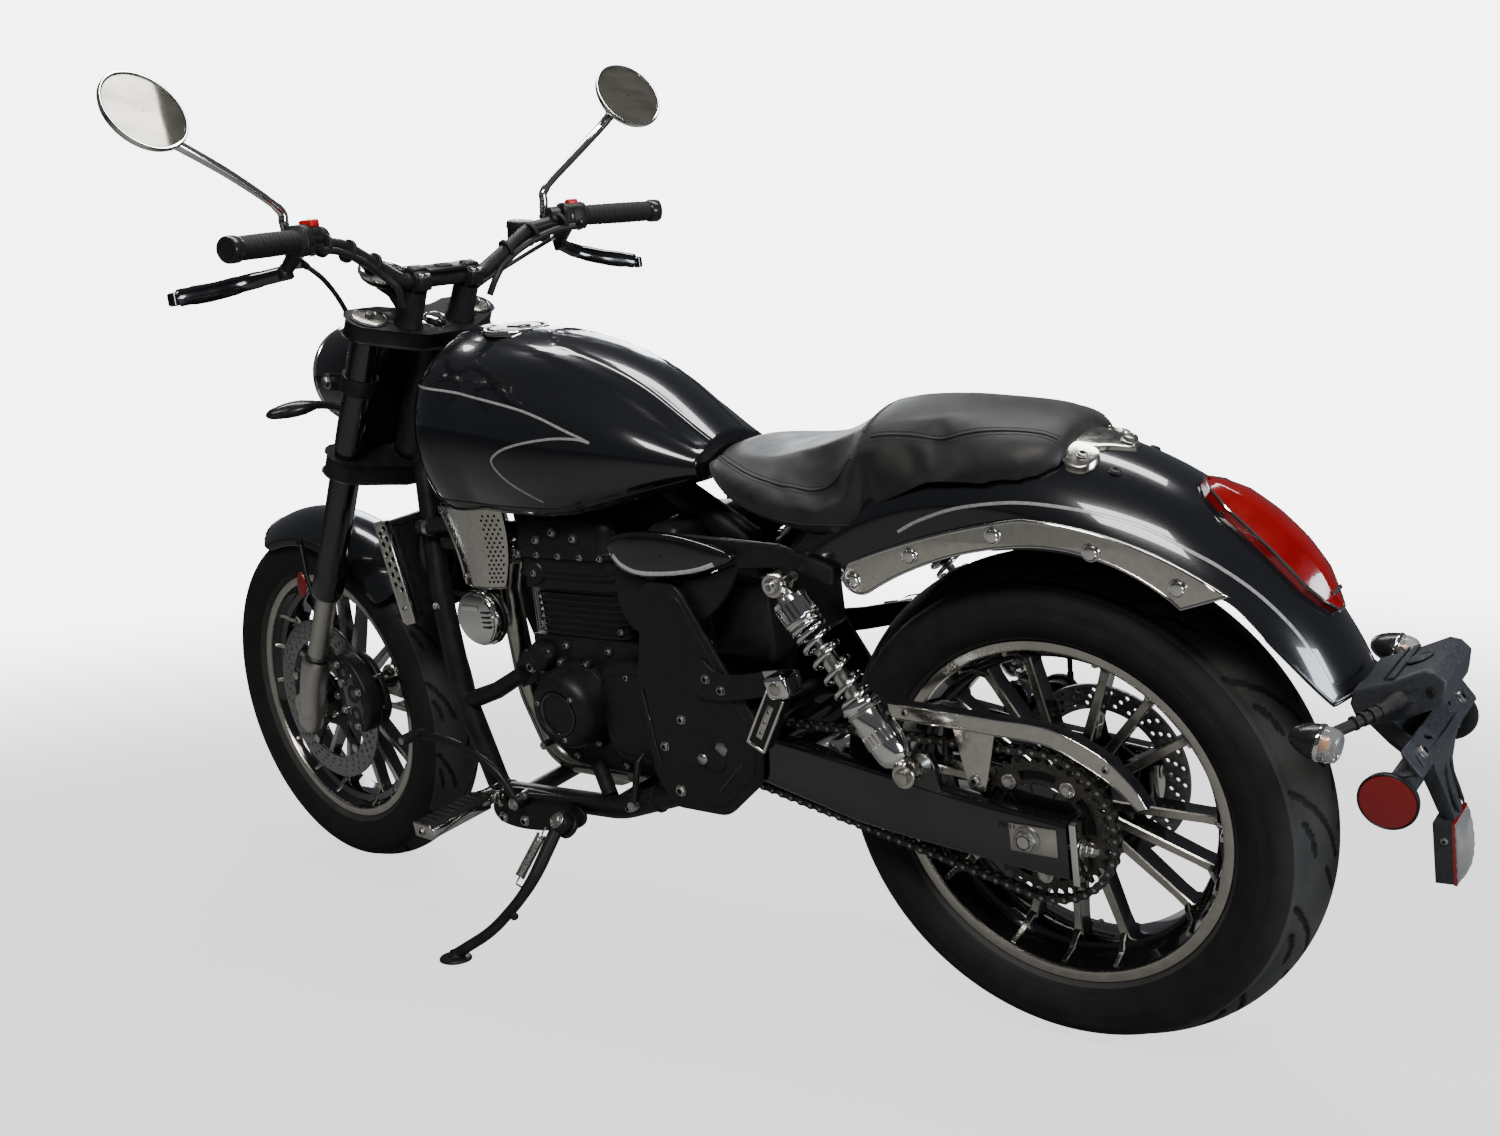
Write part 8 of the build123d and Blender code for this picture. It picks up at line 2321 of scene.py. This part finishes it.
PLATE_R = [(596, 470), (588, 330), (562, 284), (462, 284), (392, 345), (382, 420), (430, 500), (498, 622), (560, 622)]
p = Piece("rear_frame_plates", "satin", "gloss", "zinc", "steel", "plastic_gloss", "polish")
RF = []
for k, q in enumerate(PLATE_R):
    a, b, c_ = Vector((*PLATE_R[k - 1], 0)), Vector((*q, 0)), Vector((*PLATE_R[(k + 1) % len(PLATE_R)], 0))
    u_, v_ = (a - b).normalized(), (c_ - b).normalized()
    cut = min(16.0, 0.3 * (a - b).length, 0.3 * (c_ - b).length)
    for t in range(5):
        f = t / 4
        m1 = (b + u_ * cut).lerp(b, f)
        m2 = b.lerp(b + v_ * cut, f)
        e = m1.lerp(m2, f)
        RF.append((e.x, e.y))
RAIL = [(560, 600), (498, 636), (332, 650), (248, 631), (246, 655), (330, 681), (500, 689), (571, 651)]
for s in (1, -1):
    bar_plate(p, RF, s * 138.4, s * 146.0, "satin", 2.6, 3)
    bar_plate(p, around(RF, 490, 430, 14), s * 139, s * 147.6, "satin", 1.6, 3)
    bar_plate(p, [(x, z) for x, z in RAIL], s * 119.2, s * 129.8, "satin", 3.0, 3)
    # bright bolts, one larger cap over the swingarm pivot, small drain screw
    for x, z, r in ((521, 424, 6.2), (559, 379, 6.2), (542, 313, 7.4), (450, 480, 5.4)):
        button(p, (x, s * 147.4, z), Y * s, r, 4.6, "zinc")
    p.lathe((470, s * 146.6, 370), Y * s, [(0, 19), (2.0, 18.6), (3.4, 17), (3.8, 12), (3.6, 0.01)], "satin", n=56)
    p.lathe((490, s * 147.4, 370), Y * s, [(0, 8.8), (2, 8.8), (4.6, 8.2), (6.0, 6.6), (6.4, 0.01)], "polish", n=32)
    for a, b in (((572, 350), (586, 462)), ((420, 372), (470, 322))):
        va, vb = Vector((a[0], s * 147.8, a[1])), Vector((b[0], s * 147.8, b[1]))
        p.pipe([va, vb], 1.6, "gloss", n=8)
    # tubes behind the plates
    p.pipe([Vector((560, s * 120, 298)), Vector((540, s * 128, 360)), Vector((520, s * 130, 470)), Vector((528, s * 126, 610))], 13, "satin", n=24)
p.pipe([Vector((470, -138, 388)), Vector((470, 138, 388))], 15, "satin", n=28)
p.pipe([Vector((500, -130, 600)), Vector((500, 130, 600))], 13, "satin", n=28)
p.pipe([Vector((300, -122, 664)), Vector((300, 122, 664))], 11, "satin", n=24)
# battery and airbox block under the seat, seen through the gaps
p.box((440, 0, 560), (110, 190, 120), "satin", 12.0, seg=4)
p.box((444, 0, 560), (112, 150, 60), "satin", 6.0)
p.done("frame", "rear_frame", angle=40)

# ------------------------------------------------------------------ rider's pegs, foot levers
p = Piece("rider_peg_sets", "satin", "engine", "chrome", "chrome_worn", "rubber", "zinc", "steel", "polish")
BR = [(q.x, q.y) for q in curve_through([(950, 234, 0), (954, 212, 0), (938, 197, 0), (900, 192, 0), (850, 196, 0), (800, 206, 0), (768, 214, 0), (752, 228, 0), (754, 244, 0), (780, 260, 0), (840, 264, 0), (900, 262, 0), (930, 252, 0)], 4, closed=True)]
for s in (1, -1):
    bar_plate(p, BR, s * 136.2, s * 143.2, "engine", 2.2, 3)
    for x, z, r in ((932, 207, 7.4), (884, 208, 7.4), (800, 226, 6.4)):
        button(p, (x, s * 143.4, z), Y * s, r, 5.2, "zinc")
    p.solid((936, s * 126, 240), Y * s, [(0, 15), (12, 15)], "satin", n=32)
    # fork of the peg with its pivot pin and return spring
    a, b = Vector((929, s * 168, 254)), Vector((941, s * 298, 250))
    w = (b - a).normalized()
    for d in (-1, 1):
        p.box(Vector((926 + d * 15, s * 152, 250)), (6, 30, 26), "chrome_worn", 2.4)
    p.pipe([Vector((906, s * 156, 252)), Vector((950, s * 156, 252))], 5.0, "steel", n=20)
    p.hexhead((949, s * 156, 252), X, 7.0, 4.0, "zinc", washer=False)
    p.coil(Vector((914, s * 162, 252)), Vector((938, s * 162, 252)), 9.0, 1.5, 5, "steel", n=8, per=20)
    p.solid(a - w * 4, w, [(0, 12), (12, 14.5), (20, 16)], "chrome_worn", n=32)
    # bright core with the rubber tread laid over its top
    t_ = X - w * w.dot(X)
    t_.normalize()
    n_ = w.cross(t_) if w.cross(t_).z > 0 else -w.cross(t_)
    mid = a.lerp(b, 0.54)
    Lp = (b - a).length * 0.88
    p.box(mid - n_ * 3.0, (Lp, 41, 17), "chrome", 3.0, axes=(w, t_, n_), seg=3)
    p.box(mid + n_ * 6.5, (Lp - 1, 37, 11), "rubber", 3.0, axes=(w, t_, n_), seg=3)
    for k in range(9):
        p.box(mid + n_ * 12.0 + w * ((k - 4) * Lp / 9.6), (6.2, 33, 2.6), "rubber", 1.0, axes=(w, t_, n_))
    p.box(b + n_ * 0.0 - w * 1.5, (5, 43, 24), "chrome_worn", 2.4, axes=(w, t_, n_), seg=3)
    button(p, b + w * 1.2, w, 5.6, 3.8, "steel")
p.done("frame", "rider_pegs", angle=38)

p = Piece("foot_lever_sets", "satin", "gloss", "chrome_worn", "rubber", "zinc", "steel", "engine")
for s in (1, -1):
    piv = Vector((880, s * 146, 246))
    p.solid(piv, Y * s, [(-3, 11.5), (18, 11.5), (19, 10)], "satin", n=36)
    p.hexhead(piv + Y * (s * 19), Y * s, 7, 4.5, "zinc")
    line = curve_through([Vector((881, s * 157, 247)), Vector((918, s * 157, 295)), Vector((985, s * 157, 325)), Vector((1040, s * 157, 333)), Vector((1080, s * 157, 336))], 8)
    p.pipe(line, 6.2, "satin", n=18, flat=1.15)
    a, b = Vector((1085, s * 150, 337)), Vector((1085, s * 195, 337))
    p.pipe([a, b], 6.0, "steel", n=18)
    if s == 1:
        p.lathe(a.lerp(b, 0.16), Y * s, [(-1, 6), (0, 8.6), (3, 9.2), (6, 8.8), (9, 9.2), (12, 8.8), (15, 9.2), (18, 8.8), (21, 9.2), (24, 8.8), (27, 9.2), (30, 8.8), (33, 9.2), (35.5, 8.6), (36, 5)], "rubber", n=36)
        # linkage rod back to the gearbox
        p.pipe([Vector((866, s * 150, 258)), Vector((640, s * 148, 274))], 4.0, "satin", n=14)
        p.pipe([Vector((640, s * 148, 274)), Vector((636, s * 128, 336)), Vector((636, s * 110, 344))], 5.0, "satin", n=14)
        for q in (Vector((866, s * 150, 258)), Vector((640, s * 148, 274))):
            p.solid(q - Y * 5, Y, [(0, 7.5), (10, 7.5)], "zinc", n=24)
    else:
        p.box((1086, s * 172, 342), (36, 48, 7), "satin", 2.4, axes=(Vector((0.97, 0, -0.2)), Y, Vector((0.2, 0, 0.97))), seg=3)
        for k in range(4):
            p.box((1073 + 8.6 * k, s * 172, 346 - 1.6 * k), (3.4, 44, 3), "satin", 0.8, axes=(Vector((0.97, 0, -0.2)), Y, Vector((0.2, 0, 0.97))))
p.done("frame", "foot_levers", angle=38)

# ------------------------------------------------------------------ side stand
STAND_PIVOT = Vector((777, 168, 234))
STAND_DOWN = Vector((0.441, 0.586, -0.681)).normalized()
STAND_FOLDED = Vector((-0.975, 0.16, -0.06)).normalized()
STAND_AXIS = STAND_DOWN.cross(STAND_FOLDED).normalized()
STAND_BEND = STAND_AXIS.cross(STAND_DOWN).normalized()
LEG = 263.3
FOOT = STAND_PIVOT + STAND_DOWN * LEG
GROUND_UP = (PARK.to_3x3().inverted() @ Z).normalized()

p = Piece("stand_leg", "satin", "gloss", "zinc", "steel", "rubber")
eye = STAND_PIVOT
p.lathe(eye - STAND_AXIS * 9, STAND_AXIS, [(0, 7.0), (0, 16), (1.4, 17), (16.6, 17), (18, 16), (18, 7.0)], "satin", n=48)
knee = STAND_PIVOT + STAND_DOWN * (0.40 * LEG) + STAND_BEND * 34
shin = STAND_PIVOT + STAND_DOWN * (0.72 * LEG) + STAND_BEND * 26
line = rounded_line([STAND_PIVOT + STAND_DOWN * 8, knee, shin, FOOT + GROUND_UP * 9], [200, 160], per=14)
m = len(line)
p.pipe(line, [10.5 - 2.0 * min(1, k / (m * 0.4)) for k in range(m)], "satin", n=26)
p.lathe(FOOT, GROUND_UP, [(0.6, 0.01), (0.6, 22.5), (1.6, 24.6), (4, 24.6), (6, 23), (7.4, 18), (8, 11), (11, 9.5), (15, 8.8)], "satin", n=56)
w2 = (STAND_BEND * 22 + STAND_AXIS * 8).normalized()
tab = STAND_PIVOT + STAND_DOWN * (0.55 * LEG) + STAND_BEND * 30
p.pipe([tab, tab + w2 * 24], 5.0, "satin", n=18)
p.solid(tab + w2 * 23, w2, [(0, 5.6), (2, 6.4), (4, 5.4)], "rubber", n=20)
# return spring with its two hooks along the back of the leg
s0 = eye + STAND_DOWN * 20 - STAND_BEND * 7 + STAND_AXIS * 13
s1 = STAND_PIVOT + STAND_DOWN * (0.42 * LEG) + STAND_BEND * 17 + STAND_AXIS * 13
sw = (s1 - s0).normalized()
p.coil(s0 + sw * 12, s1 - sw * 12, 6.6, 1.5, 22, "zinc", n=8, per=18)
p.pipe([s0 - STAND_AXIS * 8, s0, s0 + sw * 6, s0 + sw * 13], 1.5, "zinc", n=8)
p.pipe([s1 - STAND_AXIS * 12 + STAND_BEND * 4, s1, s1 - sw * 6, s1 - sw * 13], 1.5, "zinc", n=8)
p.hexhead(eye + STAND_AXIS * 9.2, STAND_AXIS, 9.5, 6, "zinc")
p.done("side_stand", "side_stand", angle=40)

# ------------------------------------------------------------------ stage, light and camera
C = Vector((-844.8, 1664.8, 1169.8))
AZ, EL, ROLL, FPX = -0.8986, -0.2599, -0.1364, 1544.7
fwd = Vector((math.cos(EL) * math.cos(AZ), math.cos(EL) * math.sin(AZ), math.sin(EL)))
right = fwd.cross(Z).normalized()
up = right.cross(fwd)
r2 = right * math.cos(ROLL) + up * math.sin(ROLL)
u2 = -right * math.sin(ROLL) + up * math.cos(ROLL)
cam_data = bpy.data.cameras.new("camera")
cam_data.sensor_width = 36.0
cam_data.sensor_fit = "HORIZONTAL"
cam_data.lens = 36.0 * FPX / 1500.0
cam = bpy.data.objects.new("camera", cam_data)
bpy.context.scene.collection.objects.link(cam)
turn = Matrix((r2, u2, -fwd)).transposed().to_4x4()
pose = PARK @ Matrix.Translation(C) @ turn
cam.matrix_world = Matrix.Translation(pose.translation * 0.001) @ pose.to_3x3().to_4x4()
cam_data.clip_start, cam_data.clip_end = 0.05, 60
bpy.context.scene.camera = cam

floor_me = bpy.data.meshes.new("studio_floor")
S = 40.0
floor_me.from_pydata([(-S, -S, 0), (S, -S, 0), (S, S, 0), (-S, S, 0)], [], [(0, 1, 2, 3)])
floor = bpy.data.objects.new("studio_floor", floor_me)
bpy.context.scene.collection.objects.link(floor)
material("floor", (0.20, 0.20, 0.198), 0.62, base2=(0.22, 0.22, 0.218), rough2=0.72, vary=1.2, spec=0.2,
         bumps=[("noise", 90, 0.02, 0.001)])
# the far floor brightens into the white backdrop, so that no horizon shows behind the machine
ft = MATS["floor"].node_tree
fo = [n for n in ft.nodes if n.type == "OUTPUT_MATERIAL"][0]
base_link = fo.inputs["Surface"].links[0].from_socket
coord = ft.nodes.new("ShaderNodeTexCoord")
dist = ft.nodes.new("ShaderNodeVectorMath")
dist.operation = "LENGTH"
ft.links.new(coord.outputs["Object"], dist.inputs[0])
ramp = ft.nodes.new("ShaderNodeMapRange")
ramp.interpolation_type = "SMOOTHSTEP"
ramp.inputs["From Min"].default_value = 1.5
ramp.inputs["From Max"].default_value = 5.0
ramp.inputs["To Min"].default_value = 1.5
ramp.inputs["To Max"].default_value = 6.0
ft.links.new(dist.outputs["Value"], ramp.inputs["Value"])
ray = ft.nodes.new("ShaderNodeLightPath")
seen_only = ft.nodes.new("ShaderNodeMath")
seen_only.operation = "MULTIPLY"
ft.links.new(ramp.outputs["Result"], seen_only.inputs[0])
ft.links.new(ray.outputs["Is Camera Ray"], seen_only.inputs[1])
shine = ft.nodes.new("ShaderNodeEmission")
shine.inputs["Color"].default_value = (1.0, 1.0, 1.0, 1)
ft.links.new(seen_only.outputs[0], shine.inputs["Strength"])
both = ft.nodes.new("ShaderNodeAddShader")
ft.links.new(base_link, both.inputs[0])
ft.links.new(shine.outputs[0], both.inputs[1])
ft.links.new(both.outputs[0], fo.inputs["Surface"])
floor_me.materials.append(MATS["floor"])

world = bpy.data.worlds.new("studio")
bpy.context.scene.world = world
world.use_nodes = True
wn = world.node_tree
wn.nodes.clear()
wo = wn.nodes.new("ShaderNodeOutputWorld")
mix = wn.nodes.new("ShaderNodeMixShader")
seen, glow = wn.nodes.new("ShaderNodeBackground"), wn.nodes.new("ShaderNodeBackground")
seen.inputs[0].default_value = (1.0, 1.0, 1.0, 1)
seen.inputs[1].default_value = 6.0
glow.inputs[0].default_value = (0.80, 0.84, 0.92, 1)
glow.inputs[1].default_value = 0.11
lp = wn.nodes.new("ShaderNodeLightPath")
wn.links.new(lp.outputs["Is Camera Ray"], mix.inputs[0])
wn.links.new(glow.outputs[0], mix.inputs[1])
wn.links.new(seen.outputs[0], mix.inputs[2])
wn.links.new(mix.outputs[0], wo.inputs[0])


def softbox(name, at, look, size, power, colour=(1, 1, 1)):
    d = bpy.data.lights.new(name, "AREA")
    d.shape = "RECTANGLE"
    d.size, d.size_y = size
    d.energy = power
    d.color = colour
    o = bpy.data.objects.new(name, d)
    bpy.context.scene.collection.objects.link(o)
    o.location = at
    o.rotation_euler = (Vector(look) - Vector(at)).to_track_quat("-Z", "Y").to_euler()
    return o


softbox("key", (-1.6, 2.6, 3.4), (0, -0.1, 0.5), (2.0, 0.9), 150, (1.0, 0.97, 0.92))
softbox("overhead", (0.2, -0.6, 3.6), (0, 0, 0.4), (3.6, 0.5), 110, (1, 1, 1))
softbox("back", (2.6, -2.6, 2.2), (0.2, 0, 0.6), (2.0, 1.6), 70, (0.92, 0.96, 1.0))
softbox("tail", (-3.2, 0.1, 1.0), (-0.6, 0, 0.35), (0.8, 0.9), 52, (0.86, 0.92, 1.0))
